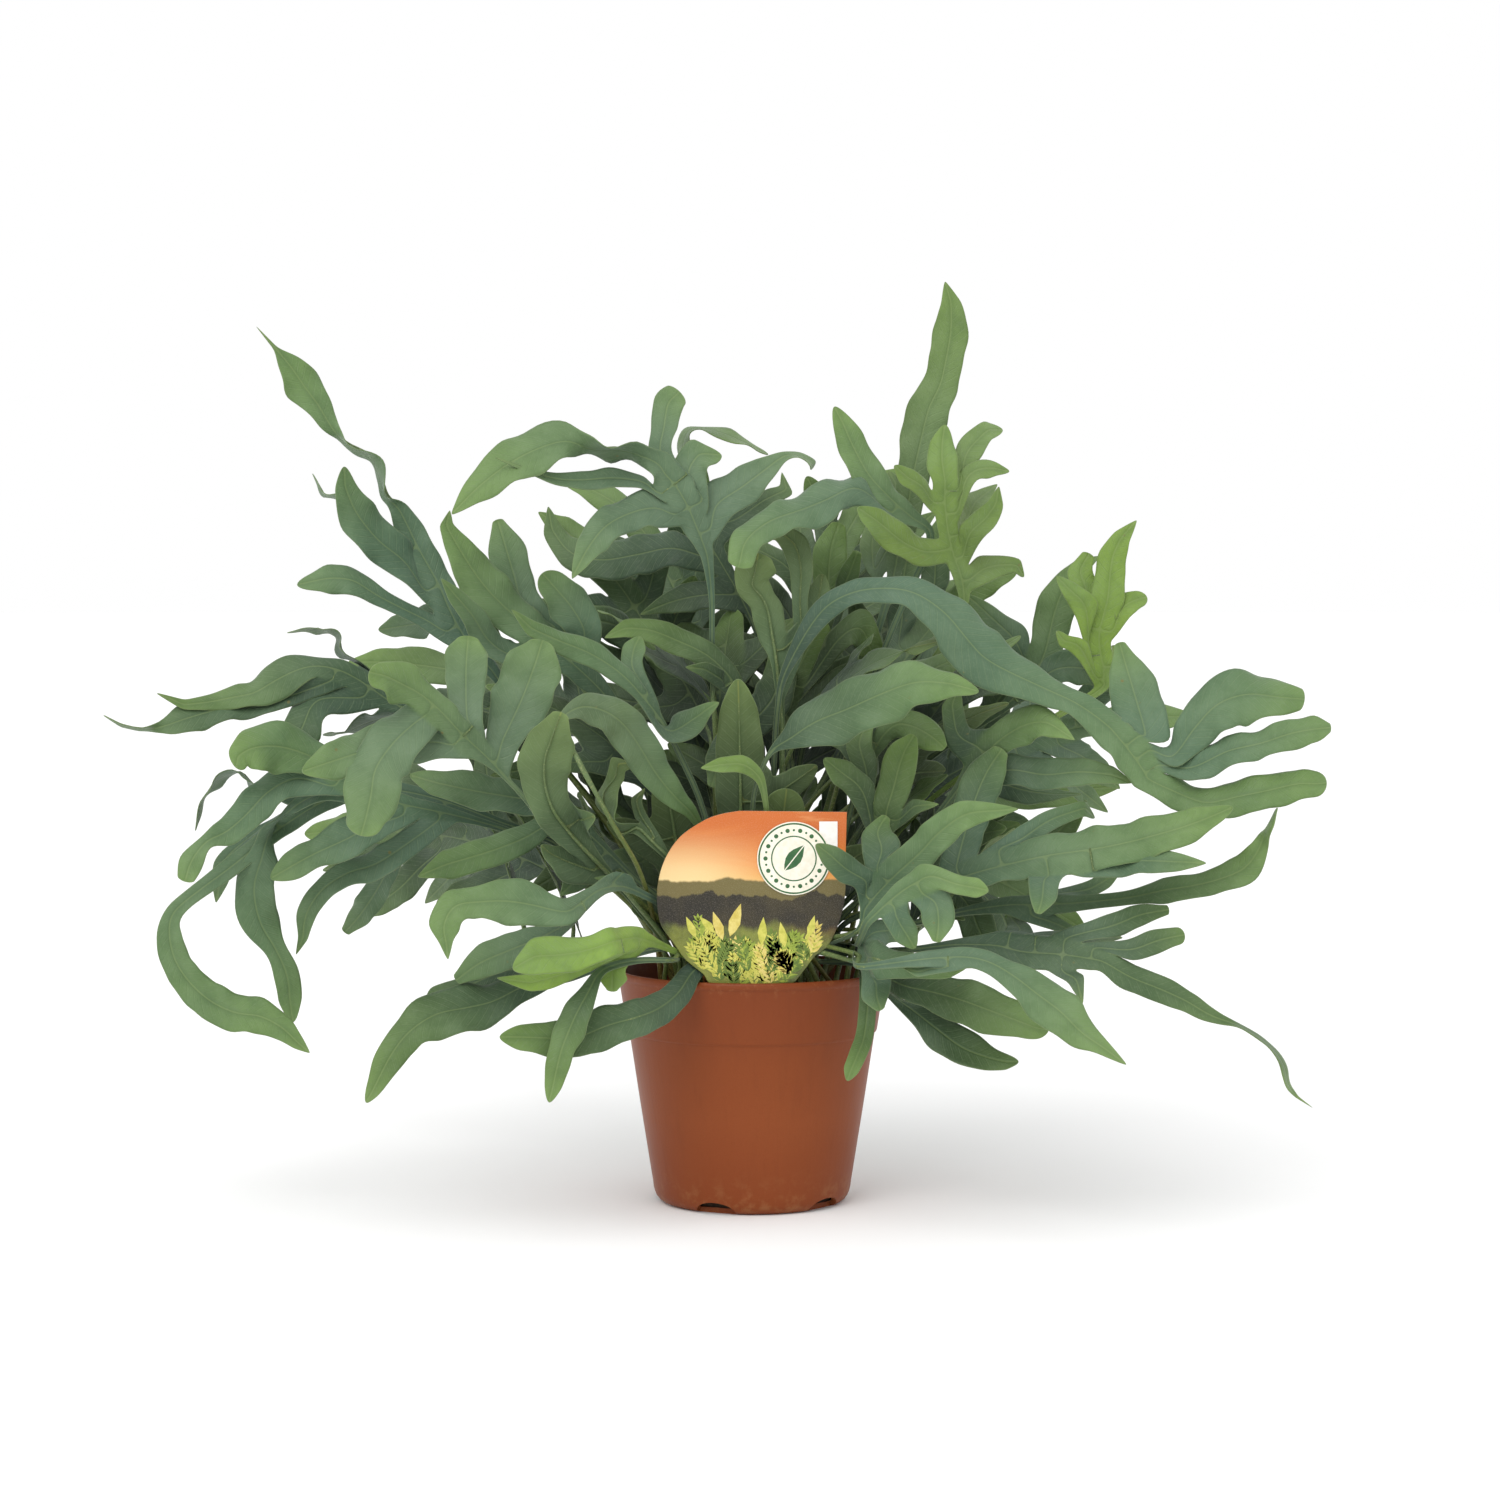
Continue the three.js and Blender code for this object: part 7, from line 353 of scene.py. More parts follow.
# name, tint, stalk rows, tip, axis rows (middle, half-width vector), lobes (side, at, tip, rows)
FRONDS = [
    ('frond_01', 0, 6, (-217.9,1,386),
     [(-13.5,5.4,88.6,-1.11,-0.47,-0.61), (-27.5,5.3,114,-1.15,-0.47,-0.43), (-38,4.9,134,-1,-0.45,-0.66), (-53.8,3.9,155.9,-0.89,-0.42,-0.71), (-72.2,3.2,178.5,-0.82,-0.4,-0.69), (-90.6,3.4,200.8,-0.79,-0.38,-0.62), (-106.3,5,221.6,-1.07,-0.48,-0.73), (-113,6.3,231.5,-2,-0.91,-1.4), (-119,7.4,239.1,-2.69,-1.69,-2.55), (-125.4,8.5,246.3,-4.22,-2.01,-3.08), (-130.6,9.6,254.5,-5.07,-1.88,-2.93), (-135.1,10.7,263.3,-5.75,-1.57,-2.49), (-138.9,11.7,272.3,-5.85,-1.79,-2.84), (-143.8,12.8,280.9,-5.57,-2.2,-3.46), (-148.6,13.9,289.4,-5.7,-1.86,-2.97), (-152.9,15,298.2,-5.41,-1.74,-2.79), (-157.3,14.3,306.6,-3.12,-1.49,-2.34), (-162.5,13.6,311.9,-1.5,6.9,-0.27), (-165.4,12.6,320.7,-2.86,7.64,-0.67), (-170.1,11.4,329.5,-2.52,8.66,-1.26), (-180.1,10,335.2,-1.24,6.91,-0.23), (-186.6,8.7,343.1,-3.08,-1.48,-2.36), (-191.6,7.3,351.8,-4.54,-2.03,-3.28), (-197.6,5.9,360.1,-6.46,-3.1,-5.01), (-203.1,4.5,368.3,-4.29,-2.22,-3.58), (-209.4,3,376.1,-0.62,-0.37,-0.59)],
     [(1, 12, (-178.2,-10.8,324.3), [(-153.6,7.6,282.6,-4.07,-4.32,-6.07), (-165,2.9,292.2,-5.86,-4.3,-6.22), (-174,-2.6,304.4,-6.77,-2.98,-4.46), (-178.2,-7.1,315.3,-4.57,-0.79,-1.24)]),
      (1, 10, (-200.2,-5.4,272.4), [(-142.7,8,256,-0.93,-2.28,-3.8), (-153.5,5.9,261.4,-1.41,-1.86,-3.15), (-165.2,3.3,267.6,-1.75,-2.02,-3.45), (-176.3,0.4,274.6,-1.72,-3.44,-5.8), (-186.5,-2,275.5,0.97,-3.67,-6.13)]),
      (1, 14, (-200.1,51.4,323.3), [(-163.8,20.4,292.5,-1.91,-1.65,-3.46), (-183.3,35.6,309.3,-2.1,8.75,-1.25), (-193.2,42.3,312.2,-1.47,6.89,-0.49)]),
      (-1, 8, (-169,37.4,252.1), [(-135.6,17.7,255.9,2.48,4.67,4.98), (-148.8,25,254.9,-1.36,6.58,6.6), (-160.7,32.3,253.1,-1.07,4.38,4.4)])]),
    ('frond_02', 0.25, 6, (-254.9,-46,226.3),
     [(-20,-2,88.6,-0.29,-1.31,-0.18), (-34,-2.4,114,-0.07,-1.31,-0.04), (-45.7,-2.1,138,-0.32,-1.23,-0.15), (-64.1,-1.5,166.8,-0.39,-1.12,-0.25), (-85.5,-1.2,194.2,-0.41,-1,-0.37), (-106.7,-2.1,213.9,-0.32,-0.84,-0.57), (-124,-5,219.7,0.4,-0.95,-1.24), (-136.9,-8.8,216.8,0.15,-0.99,-1.28), (-145.1,-11,217.4,-0.11,-1.22,-1.58), (-153.1,-13.3,219,-0.52,-1.71,-2.24), (-159.8,-15.7,222.8,-2.18,-2.73,-3.71), (-166.5,-18,227.8,-2.64,-3.05,-4.18), (-173.3,-20.3,232.4,-2.08,-3.06,-4.16), (-180.5,-22.7,235.9,-1.18,-3.33,-4.43), (-188.3,-25,237.3,-0.06,-3.56,-4.66), (-195.9,-26.4,236.1,2.79,-4.84,-6.46), (-205.9,-29.2,231.4,4.25,-4.97,-6.76), (-215,-32.2,225.9,2.82,-4.08,-5.47), (-223.3,-34.7,224.2,1.44,-3.44,-4.53), (-233.2,-38,222.2,0.92,-2.52,-3.31), (-243.7,-41.6,221,-0.11,-1.57,-2.06)],
     [(-1, 11, (-208.1,19.5,251), [(-178.6,-7.6,241.7,2.4,-7.75,1.12), (-182.4,-1.4,249.1,1.77,-6.82,1.04), (-192.2,6.7,253.4,1,-6.82,1.41)]),
      (1, 11, (-199.7,-51,197), [(-187.8,-29.5,222.7,4.83,-6.15,-6.92), (-193.2,-38.1,211.8,7.95,-3.16,-3.97), (-197,-45.7,202.7,4.78,-1.84,-2.31)]),
      (1, 13, (-275,-60.2,217.4), [(-211.6,-32.2,220.7,1.85,-3.18,-3.97), (-226.8,-37.8,219.6,1.6,-4.36,-5.35), (-241.7,-44.1,215.5,2.59,-4.82,-5.97), (-250.8,-48.2,212.3,1.3,-2.59,-3.2), (-258,-51.5,211.1,-0.87,4.85,-1.06), (-267.8,-56.1,212.6,-0.73,2.88,-0.73)]),
      (1, 9, (-190.1,1.7,206.2), [(-168.6,-8.1,212.3,0.11,8.55,-2.75), (-179.3,-3.2,207.3,-0.57,8.76,-2.08)])]),
    ('frond_03', 0, 4, (-217.3,-70.2,195.5),
     [(-25.9,-16.2,88.6,-0.96,-0.75,-0.57), (-39.8,-17.8,114,-0.96,-0.81,-0.39), (-53.8,-18.9,133.5,-0.74,-0.58,-0.8), (-76.9,-21,151.7,-0.5,-0.49,-0.87), (-100.9,-25,163.9,-0.37,-0.56,-1.2), (-117.9,-29.1,169.8,-0.43,-0.76,-1.62), (-127.4,-31.3,172.5,-0.54,-1.18,-2.52), (-134.6,-33,174.3,-0.63,-1.52,-3.25), (-142.1,-34.7,176,-0.54,-1.75,-3.75), (-149.2,-36.4,177.6,-0.87,-1.88,-4.04), (-156.5,-38.1,179.8,-1.3,-2.04,-4.4), (-163.3,-39.9,182.7,-2.12,-2.11,-4.58), (-169.6,-41.6,186.8,-2.96,-2.17,-4.75), (-175.8,-43.3,191,-3.18,-2.23,-4.9), (-181.7,-45,195.4,-3.16,-2.2,-4.83), (-192.9,-50.6,201.3,-2.7,-3.98,-8.65), (-202.7,-56.6,204.1,-0.3,-4.98,-10.78), (-211.6,-62.5,203.5,2.96,-4.04,-8.8), (-216.9,-66.8,200.4,4.14,-1.37,-3.1)],
     [(1, 13, (-238.7,-73.3,147.7), [(-194.2,-47.9,190,2.03,-3.45,-6.9), (-206.4,-52.5,184.3,4.56,-2.8,-5.74), (-215.1,-57.4,174.8,5.31,-2.45,-5.08), (-223,-61.8,167.9,3.64,-2.33,-4.76), (-230.9,-65.7,163.9,2.08,-1.06,-2.17), (-236.6,-70.2,155.8,4.97,-1.22,-2.57), (-238.2,-73.3,149.3,3.69,-0.51,-1.09)]),
      (1, 11, (-200.5,-21.9,81.3), [(-181.7,-38.4,183.4,0.66,-2.04,-3.3), (-194.9,-36.9,178.6,1.77,-1.48,-2.47), (-207.3,-34.9,167.6,-0.4,7.86,-1.06), (-212,-33.2,154.5,6.34,-1,-1.79), (-215.8,-31.3,141.3,8.68,-0.14,-0.26), (-213.6,-29.1,126.3,7.99,1.55,2.72), (-207.4,-27.2,114.8,4.11,1.19,2.05), (-202.6,-25.2,102.8,5.34,0.84,1.48), (-201.6,-23.5,91.6,5.15,0.35,0.61)]),
      (1, 9, (-206.4,-48.4,146.7), [(-163.7,-38.6,168.8,3.62,-2.19,-5.85), (-175.1,-40.9,162.9,4.23,-2.99,-7.93), (-186.4,-43.3,157.9,3.07,-2.12,-5.63), (-197.3,-46,152.1,3.39,-2.05,-5.45)]),
      (1, 7, (-199.6,-18,110.7), [(-161.4,-28.7,152.4,3.86,-2.82,-5.22), (-174.7,-26.5,147.9,2.74,-2.66,-4.88), (-187.3,-23.9,139.8,3.55,-1.74,-3.28), (-194.6,-21.5,128.6,4.15,-0.79,-1.53), (-196.2,-19.6,118.3,2.15,-0.26,-0.5)])]),
    ('frond_04', 0.05, 3, (-188.5,-58,73.1),
     [(-30.1,-9.8,88.6,-0.98,-0.79,-0.49), (-42,-11,114,-0.96,-0.84,-0.33), (-58.4,-12.4,139.3,-0.72,-0.59,-0.71), (-84.1,-15,158.7,-0.44,-0.62,-1.18), (-110.1,-18,169,-0.56,-0.82,-1.58), (-124.6,-19.6,174.8,-0.78,-1.15,-2.22), (-133.5,-20.7,178.1,-0.78,-1.41,-2.71), (-142.8,-21.7,180.8,-0.69,-1.64,-3.16), (-152,-22.8,182.8,-0.35,-1.87,-3.59), (-161.3,-23.8,183.5,0.21,-2.04,-3.9), (-171,-24.8,182.9,0.78,-2.12,-4.07), (-180.2,-25.9,181,1.54,-2.08,-4.03), (-188.8,-26.9,177.1,2.36,-1.9,-3.72), (-196.9,-27.9,172.3,2.51,-1.81,-3.55), (-204.7,-29,166.9,2.66,-1.62,-3.21), (-212.4,-30,161.2,2.48,-1.55,-3.06), (-226,-32.3,150.1,2.88,-1.67,-3.3), (-240.3,-35.4,139.5,2.37,-1.3,-2.58), (-250.3,-37.9,130.2,3.56,-0.85,-1.74), (-250.8,-40.2,118.8,5.94,0.33,0.67), (-247.1,-42.4,108.6,5.51,1.41,2.84), (-240.3,-44.7,100.2,4.96,2.42,4.75), (-231.9,-47,93.6,3.85,3.4,6.52), (-221.2,-49.5,89.2,1.79,3.9,7.35), (-211,-51.7,88.2,1.81,3.68,6.92), (-201.3,-54.1,83.8,2.88,2.24,4.3), (-193.8,-56.4,77.2,1.86,1.08,2.09)],
     [(-1, 12, (-245.5,-4.4,163.7), [(-213.5,-21,183.2,1.95,-8.72,2.14), (-223.6,-17.2,190.9,1.47,-7.79,1.71), (-233.8,-13.7,187.2,0.47,-7.78,1.53), (-241,-10.1,179,-0.11,-6.78,0.96)]),
      (-1, 14, (-237.4,1,131.7), [(-229.5,-14.9,153.9,-2.41,0.97,2.59), (-234.3,-6.9,142.7,-3.89,0.35,0.95)]),
      (1, 6, (-183.3,24.3,116.2), [(-155,-6.1,155.8,3.62,-1.69,-2.6), (-166.2,6.7,137.9,5.11,-1.85,-2.87), (-175.5,17.2,124.8,4.52,-1.98,-3.03), (-182.7,24.3,116.9,1.79,-0.92,-1.39)])]),
    ('frond_05', -0.25, 4, (-156.8,-108.8,236.9),
     [(-18.9,-29.3,88.6,-1.06,-0.54,-0.65), (-30.9,-24.3,113.3,-1.1,-0.55,-0.46), (-43.4,-31,130.7,-0.73,-0.44,-0.89), (-65,-51.5,148.9,-0.6,-0.36,-0.87), (-83,-64.6,165.5,-0.82,-0.43,-0.63), (-95,-70.3,181.9,-0.77,-0.46,-0.67), (-103.2,-71.7,191,-0.68,-0.49,-0.72), (-108.9,-73.4,197.6,-1.75,-1.08,-1.59), (-114.5,-76.1,203.4,-2.77,-2.43,-3.51), (-120.7,-79.5,209.6,-3.74,-2.73,-4.01), (-126.4,-83.5,216.2,-4.05,-2.6,-3.87), (-132.2,-87.7,222.7,-3.87,-3.08,-4.53), (-138.8,-92,228.2,-3.37,-3.37,-4.91), (-144.6,-96.4,231.6,-3.64,-5.54,-7.91), (-150.5,-102.3,235.1,-1.82,-4.3,-6.06)],
     [(-1, 7, (-88.7,-57.3,249.1), [(-105.2,-70.6,206.4,6.7,-2.01,-2.79), (-100.6,-67,216.4,10.24,-3.11,-4.32), (-95.6,-63.3,228.1,12.01,-3.24,-4.54), (-91.5,-59.7,239.9,10.99,-2.57,-3.64), (-89.5,-57.4,246.6,5.75,-1.23,-1.75)]),
      (-1, 9, (-120.7,-52.6,250.9), [(-119.1,-76.9,215.1,6.29,-0.2,-0.38), (-120.3,-70.7,225,7.55,0.16,0.3), (-120.9,-63,235.7,8.88,-0.1,-0.19), (-121,-56.5,244,8.92,-0.3,-0.57), (-120.9,-52.6,248.6,5.1,-0.24,-0.46)]),
      (1, 9, (-183.8,-116.4,196.4), [(-131.1,-82.9,207,1.24,-3.48,-6.45), (-144.2,-89.2,206.5,1.57,-4.77,-8.85), (-159.3,-98.4,204,2.71,-4.83,-9), (-173,-108,200,2.68,-3.66,-6.84)]),
      (1, 11, (-157.7,-132.6,171.4), [(-139.3,-92.2,215.8,6.56,-4.05,-6.52), (-147.6,-99.8,207.8,8.49,-4.21,-6.84), (-154.1,-109.1,197.6,11.17,-2.74,-4.59), (-155.2,-117.9,187.1,11.31,-1.28,-2.16), (-156.4,-126,178.2,7.98,-1.1,-1.85)])]),
    ('frond_06', -0.2, 6, (-127.7,-55,302.1),
     [(-7,0,88.6,-1.34,0.01,-0.12), (-9.3,-1.1,114,-1.31,0.01,-0.08), (-11,-1.1,137,-1.28,0,-0.1), (-13.2,-0.7,164.3,-1.21,0,-0.1), (-15.3,-0.6,193.5,-1.14,0,-0.08), (-17,-1.8,222.3,-1.07,0.01,-0.05), (-17.6,-5,248.3,-1.32,0,0.01), (-17.6,-8.4,265.9,-1.31,-0.03,-0.06), (-19.3,-11.8,283.3,-2.56,-0.31,-0.55), (-20.9,-12.9,289.1,-3.55,-0.7,-1.23), (-23,-14.1,294.7,-4.77,-1.09,-1.93), (-25.3,-15.3,300.4,-5.67,-1.34,-2.37), (-27.7,-16.4,305.9,-6.08,-1.67,-2.95), (-30.6,-17.6,311.3,-6.18,-2.12,-3.72), (-33.7,-18.8,316.2,-5.78,-2.65,-4.59), (-37.8,-20,320.5,-4.94,-2.84,-4.89), (-42.1,-21.3,325.7,-2.46,-2.77,-4.63), (-56.2,-25.2,330.7,-1.08,11.48,-2.94), (-69,-29.1,330.6,-1.09,11.48,-2.95), (-80,-33,334.3,0.37,-4.85,-7.92), (-94.3,-38.2,329.8,4.14,-5.59,-9.28), (-106,-43.2,322.8,5.02,-4.29,-7.23), (-116.7,-48.5,314.1,4.49,-2.81,-4.8)],
     [(-1, 14, (-31.7,3.7,357.4), [(-39.7,-13,329,4.7,0.64,0.89), (-38.5,-6.3,341.1,5.65,-0.57,-0.8), (-36.9,0.4,351.9,6.21,-1.73,-2.4), (-33.5,3.7,355.6,4.11,-3.26,-4.21)]),
      (-1, 12, (-13.1,-8.9,329.2), [(-27.9,-13.9,320.7,8.14,-0.67,-1.61), (-23.2,-11.6,329.5,3.66,-2.85,-6.56)]),
      (1, 14, (-109.8,-48.8,326.8), [(-47.3,-22.1,317,-0.21,-1.63,-2.63), (-60.5,-26.6,318.6,-0.04,-2.72,-4.39), (-73.2,-31.5,317.6,0.18,-2.44,-3.94), (-84.2,-36.1,317.9,-0.36,-1.59,-2.58), (-95,-41.2,321.1,-0.38,-0.75,-1.23)]),
      (1, 12, (-76.3,-58.4,275), [(-41.6,-22.7,305.8,0.88,-4.99,-8.73), (-52.7,-29.6,303.4,2.61,-3.95,-6.97), (-62.7,-37.5,297.7,4.68,-3.17,-5.74), (-69.2,-45.4,289.5,4.97,-1.86,-3.45), (-73.2,-52.3,281.8,3.04,-0.85,-1.59)]),
      (-1, 10, (26.4,0.9,323.4), [(-15.7,-11.9,306.9,6.48,-2.79,-5.93), (-4.8,-9.1,314.8,5.16,-3.4,-7.14), (5.2,-6.1,322.3,3.39,-2.19,-4.63), (14,-3.3,328.9,0.88,-0.98,-2.04), (20.2,-1.6,329,-0.31,-4.92,-1.03), (26.4,0.3,325.6,-1.3,-5.73,-1.49)])]),
    ('frond_07', 0.35, 6, (7.6,34,330.8),
     [(1.6,12.3,88.6,-1.33,-0.24,0.08), (2.2,15.7,114.2,-1.28,-0.28,0.06), (4.1,19.3,137.4,-1.23,-0.29,0.19), (7.4,25.3,165,-1.17,-0.27,0.18), (10.1,30.1,194.5,-1.11,-0.25,0.1), (9.6,34.8,222.9,-1.04,-0.23,-0.07), (3.6,39.4,247.5,-1.24,-0.37,-0.55), (-1.7,41.6,259.7,-1.39,-0.42,-0.62), (-6.4,43.3,269.2,-1.92,-0.72,-1.05), (-11.8,45.2,278.4,-3.13,-1.28,-1.87), (-17.3,47.8,287.7,-4.11,-1.7,-2.5), (-22.8,50.9,296.6,-4.71,-1.96,-2.89), (-28.3,54,305.6,-4.64,-1.95,-2.88), (-31.4,50.8,324.6,-2.44,8.7,0.1), (-30.8,47.3,338.1,-1.9,7.78,0.79), (-26.3,45.3,343.4,-0.54,8.81,2.16), (-14.5,41.8,341.4,0.42,8.81,2.12), (-2.7,37.8,336.3,0.76,7.79,1.95)],
     [(1, 8, (-51.3,58.1,258.7), [(-21.3,45.2,267.9,0.88,-3.42,-6.3), (-33.7,49,265.6,1.67,-3.34,-6.16), (-44.3,54.1,261.9,1.04,-1.37,-2.54)]),
      (1, 10, (-95,87.7,309.1), [(-36.5,53,289.2,0.48,-4.76,-8.25), (-53.6,60.6,286.1,1.67,-5.23,-9.08), (-70,68.7,283.9,-0.2,-5.07,-8.77), (-84.2,75.6,287.6,-3.52,-3.32,-5.9), (-92.8,82,297.9,-4.13,-1.07,-2.02)]),
      (-1, 11, (13.8,70.6,324.4), [(-7.7,56,302,1.86,-2.67,-3.72), (6,62.5,311.3,2.05,-2.58,-3.63), (16.1,67,316,3.13,-1.28,-1.94)])]),
    ('frond_08', -0.1, 4, (-130.9,-23.4,304.9),
     [(-15,-10,88.6,-1.27,-0.34,-0.32), (-21.6,-9.6,114,-1.25,-0.34,-0.22), (-26.8,-8.6,138,-1.16,-0.3,-0.28), (-34.8,-7.4,166,-1.03,-0.28,-0.33), (-44.8,-8,191.2,-1.17,-0.34,-0.56), (-53.5,-9.7,208.9,-1.49,-0.52,-0.88), (-64.4,-11.3,224.3,-2.96,-1.5,-2.49), (-74.2,-12.5,234.3,-3.87,-2.65,-4.35), (-79.7,-13.1,239,-3.9,-3.15,-5.12), (-85.3,-13.8,243.4,-4.2,-3.26,-5.33), (-90.7,-14.4,248.1,-4.58,-3.26,-5.37), (-96,-15,252.8,-4.68,-3.36,-5.54), (-105.5,-16.1,260.7,-5.61,-3.87,-6.41), (-115,-17.7,270.2,-7.28,-3.89,-6.56), (-122.6,-19.4,280.7,-6.62,-2.71,-4.66), (-128.5,-21.1,290.6,-4.37,-1.53,-2.64), (-132.7,-22.4,298.4,-2.96,-0.31,-0.55)],
     [(-1, 10, (-112.6,6.6,301.4), [(-99.9,-9.3,263.7,7.05,1.87,3.28), (-104.6,-4,276.8,7.45,1.34,2.39), (-108.9,1.8,290,7.51,1.29,2.3), (-112.3,6.6,300.2,2.51,0.43,0.78)]),
      (-1, 8, (-91,-25.1,277.6), [(-72.9,-15.9,251.9,7.85,-0.18,-0.32), (-78.3,-19,262.4,7.76,3.16,5.37), (-85.5,-22.4,271.1,5.13,2.68,4.51)]),
      (1, 10, (-133.3,-41.4,275.4), [(-105.4,-19.4,242,0.21,-4.59,-6), (-114.5,-24.3,248.6,-3.9,-2.69,-3.84), (-120.9,-30.4,259.5,-4.02,-2.08,-3.04), (-127.7,-36.2,268.1,-2.51,-1.51,-2.2)])]),
    ('frond_09', 0.1, 2, (-77.7,-115.4,220.7),
     [(-30.5,-24.8,88.6,-1.06,-0.76,-0.34), (-35.4,-29.7,114,-1.06,-0.75,-0.23), (-51.7,-46.1,137.4,-0.89,-0.61,-0.86), (-58.5,-50.9,145.5,-1.27,-0.88,-1.24), (-65,-59.4,153.5,-2.14,-1.34,-1.91), (-71.8,-69.3,161.9,-3.88,-2.23,-3.22), (-77.9,-79.4,170.5,-5.6,-2.68,-3.94), (-83,-90.2,179.1,-6.63,-3.11,-4.59), (-85.6,-96.2,189.9,-9.39,-0.82,-1.27), (-85.2,-103.6,200.6,-11.08,1.02,1.59), (-81.9,-110.2,209.9,-8.66,1.84,2.84), (-78.3,-115.6,219.2,-3.5,0.79,1.23)],
     [(1, 4, (-88.6,-77.5,163.5), [(-77.6,-66.8,155.5,-1.79,-6.37,-7.67), (-85.3,-73.6,159.9,-1.72,-2.1,-2.65)]),
      (-1, 6, (-65,-93.5,176.8), [(-70.6,-86.1,174.7,2.08,-2.41,-4.43)])]),
    ('frond_10', -0.45, 6, (-19.2,-29.3,162.9),
     [(-38.9,-19.1,88.6,-1.19,-0.59,-0.26), (-40.9,-27,113.9,-1.18,-0.55,-0.17), (-43.5,-38.7,133.2,-1.04,-0.36,-0.65), (-48.5,-65.4,153.4,-0.96,-0.23,-0.7), (-57.6,-94.4,173.4,-0.88,-0.2,-0.69), (-66.6,-109.1,192,-0.83,-0.27,-0.61), (-75.5,-105,208.9,-0.54,-0.19,-0.34), (-79.7,-98.7,216,-1.19,0.19,0.34), (-71.7,-91.2,221.9,-1.23,2.6,4.32), (-62.3,-84.4,220.4,2.42,4.11,6.87), (-54,-77,214.3,5.67,3.41,5.91), (-47.1,-67.7,203.8,6.95,2.57,4.54), (-40.7,-57.5,192.2,5.83,2.31,4.05), (-32.9,-47.2,181.8,3.66,2,3.44), (-26.6,-40.2,175.3,2.29,1.08,1.86)],
     []),
    ('frond_11', -0.1, 4, (-101.9,-61.8,262.3),
     [(-10.1,-33.8,88.6,-1.3,-0.35,-0.12), (-12.9,-32.6,114,-1.27,-0.35,-0.08), (-14.1,-30.5,134.3,-1.2,-0.29,-0.05), (-16.8,-27.9,158,-1.07,-0.28,-0.16), (-22.6,-28,179.3,-1.18,-0.35,-0.51), (-30.3,-30.6,196.8,-1.16,-0.37,-0.55), (-35.3,-32.1,207,-1.06,-0.37,-0.55), (-40.7,-33.6,216.1,-1.21,-0.59,-0.85), (-47,-35,224,-2.1,-1.16,-1.67), (-53.8,-36.3,231.9,-2.63,-1.99,-2.81), (-62,-37.4,238.5,-3.06,-2.87,-4), (-71.7,-41.2,244.2,-2.24,-3.65,-4.95), (-82.1,-46.3,248.5,-1.63,-3.17,-4.28), (-93.6,-53.6,253.8,-1.74,-2.03,-2.81)],
     [(-1, 8, (-48.7,-20,250.3), [(-51.9,-28.8,236.6,4.66,0.56,0.84), (-51.2,-23.7,245.1,5.08,-0.82,-1.25)]),
      (1, 7, (-14.1,-51.6,222.6), [(-35.3,-36.9,209.2,0.58,4.84,5.35), (-25.8,-42.8,214.6,-2.98,3.91,4.59), (-18.4,-48.3,220,-1.44,1.74,2.07)])]),
    ('frond_12', 0.2, 4, (-64.4,-21.2,249.4),
     [(-0.7,-12.7,88.6,-1.35,-0.04,0.01), (-0.5,-9.9,114,-1.31,-0.04,0.01), (0.1,-5.7,138.8,-1.23,-0.02,0.04), (0.7,-0.3,168,-1.12,-0.03,0.01), (0,0,195.2,-1.32,-0.05,-0.12), (-0.6,-1.3,202.8,-1.44,-0.05,-0.1), (-1.6,-3.1,212.2,-1.68,-0.13,-0.3), (-4.2,-4.8,221.7,-2.61,-0.42,-0.96), (-8.4,-6.5,230.1,-3.47,-1.02,-2.31), (-14.5,-8.3,237.3,-3.63,-1.76,-3.95), (-21.9,-10,243.1,-3.45,-2,-4.47), (-33.3,-12.4,248.4,-2.34,-2.54,-5.59), (-44.5,-15.3,252.8,-1.14,-2.31,-5.06), (-55.3,-18.3,253.7,0.73,-1.75,-3.84)],
     [(1, 8, (-29,-27.5,237), [(-13.2,-9.6,230.8,-1.55,-1.16,-3.59), (-20.9,-18.3,235.9,-1.14,-1.05,-3.26)]),
      (-1, 6, (9.5,11.9,244.7), [(8.8,1.4,221.7,7.44,-2.07,-4.67), (12.4,7,233.9,7.08,-0.12,-0.28), (9.8,11.9,243.6,2.57,0.3,0.7)]),
      (1, 6, (-17.7,-24.1,184.7), [(-7.5,-7.4,205.3,6.47,-2.25,-4.46), (-14,-15.8,195.2,6.29,-1.5,-3), (-17.4,-24.1,185.6,2.06,-0.35,-0.69)])]),
    ('frond_13', 0.1, 2, (-139,-93.9,151.5),
     [(-26.2,-31,88.6,-1.17,-0.65,-0.17), (-28.9,-31.7,113.8,-1.15,-0.63,-0.11), (-37.2,-32.3,134,-0.81,-0.43,-0.96), (-49.9,-36.2,145.2,-0.86,-0.41,-0.91), (-56.3,-38.6,151.7,-1.14,-0.48,-1.09), (-62.5,-40.6,158,-1.42,-0.64,-1.45), (-69.1,-42.3,164.5,-1.81,-0.87,-1.97), (-75.8,-45.2,169.5,-1.42,-1.52,-3.37), (-83.8,-49,172.1,-1.44,-2.32,-5.13), (-96.6,-57.5,165,2.63,-2.33,-5.19), (-112.3,-73.7,159.9,2.32,-2.79,-6.16), (-127.3,-85.5,156.2,2.29,-2.57,-5.7)],
     [(-1, 7, (-147.3,-41.7,190.9), [(-88.7,-45.5,179.1,2.15,3.2,5.28), (-104.5,-46.4,181.8,0.93,4.23,6.89), (-121.6,-46.8,184.8,1.13,4.46,7.29), (-135.5,-44.8,187.7,1.1,3.18,5.22)]),
      (1, 5, (-81.4,-63.1,140.8), [(-69.4,-43.6,151.9,4.73,-2.73,-4.79), (-75.6,-51.1,146.5,3.99,-2.11,-3.72)])]),
    ('frond_14', -0.15, 2, (-123.6,-124,120.3),
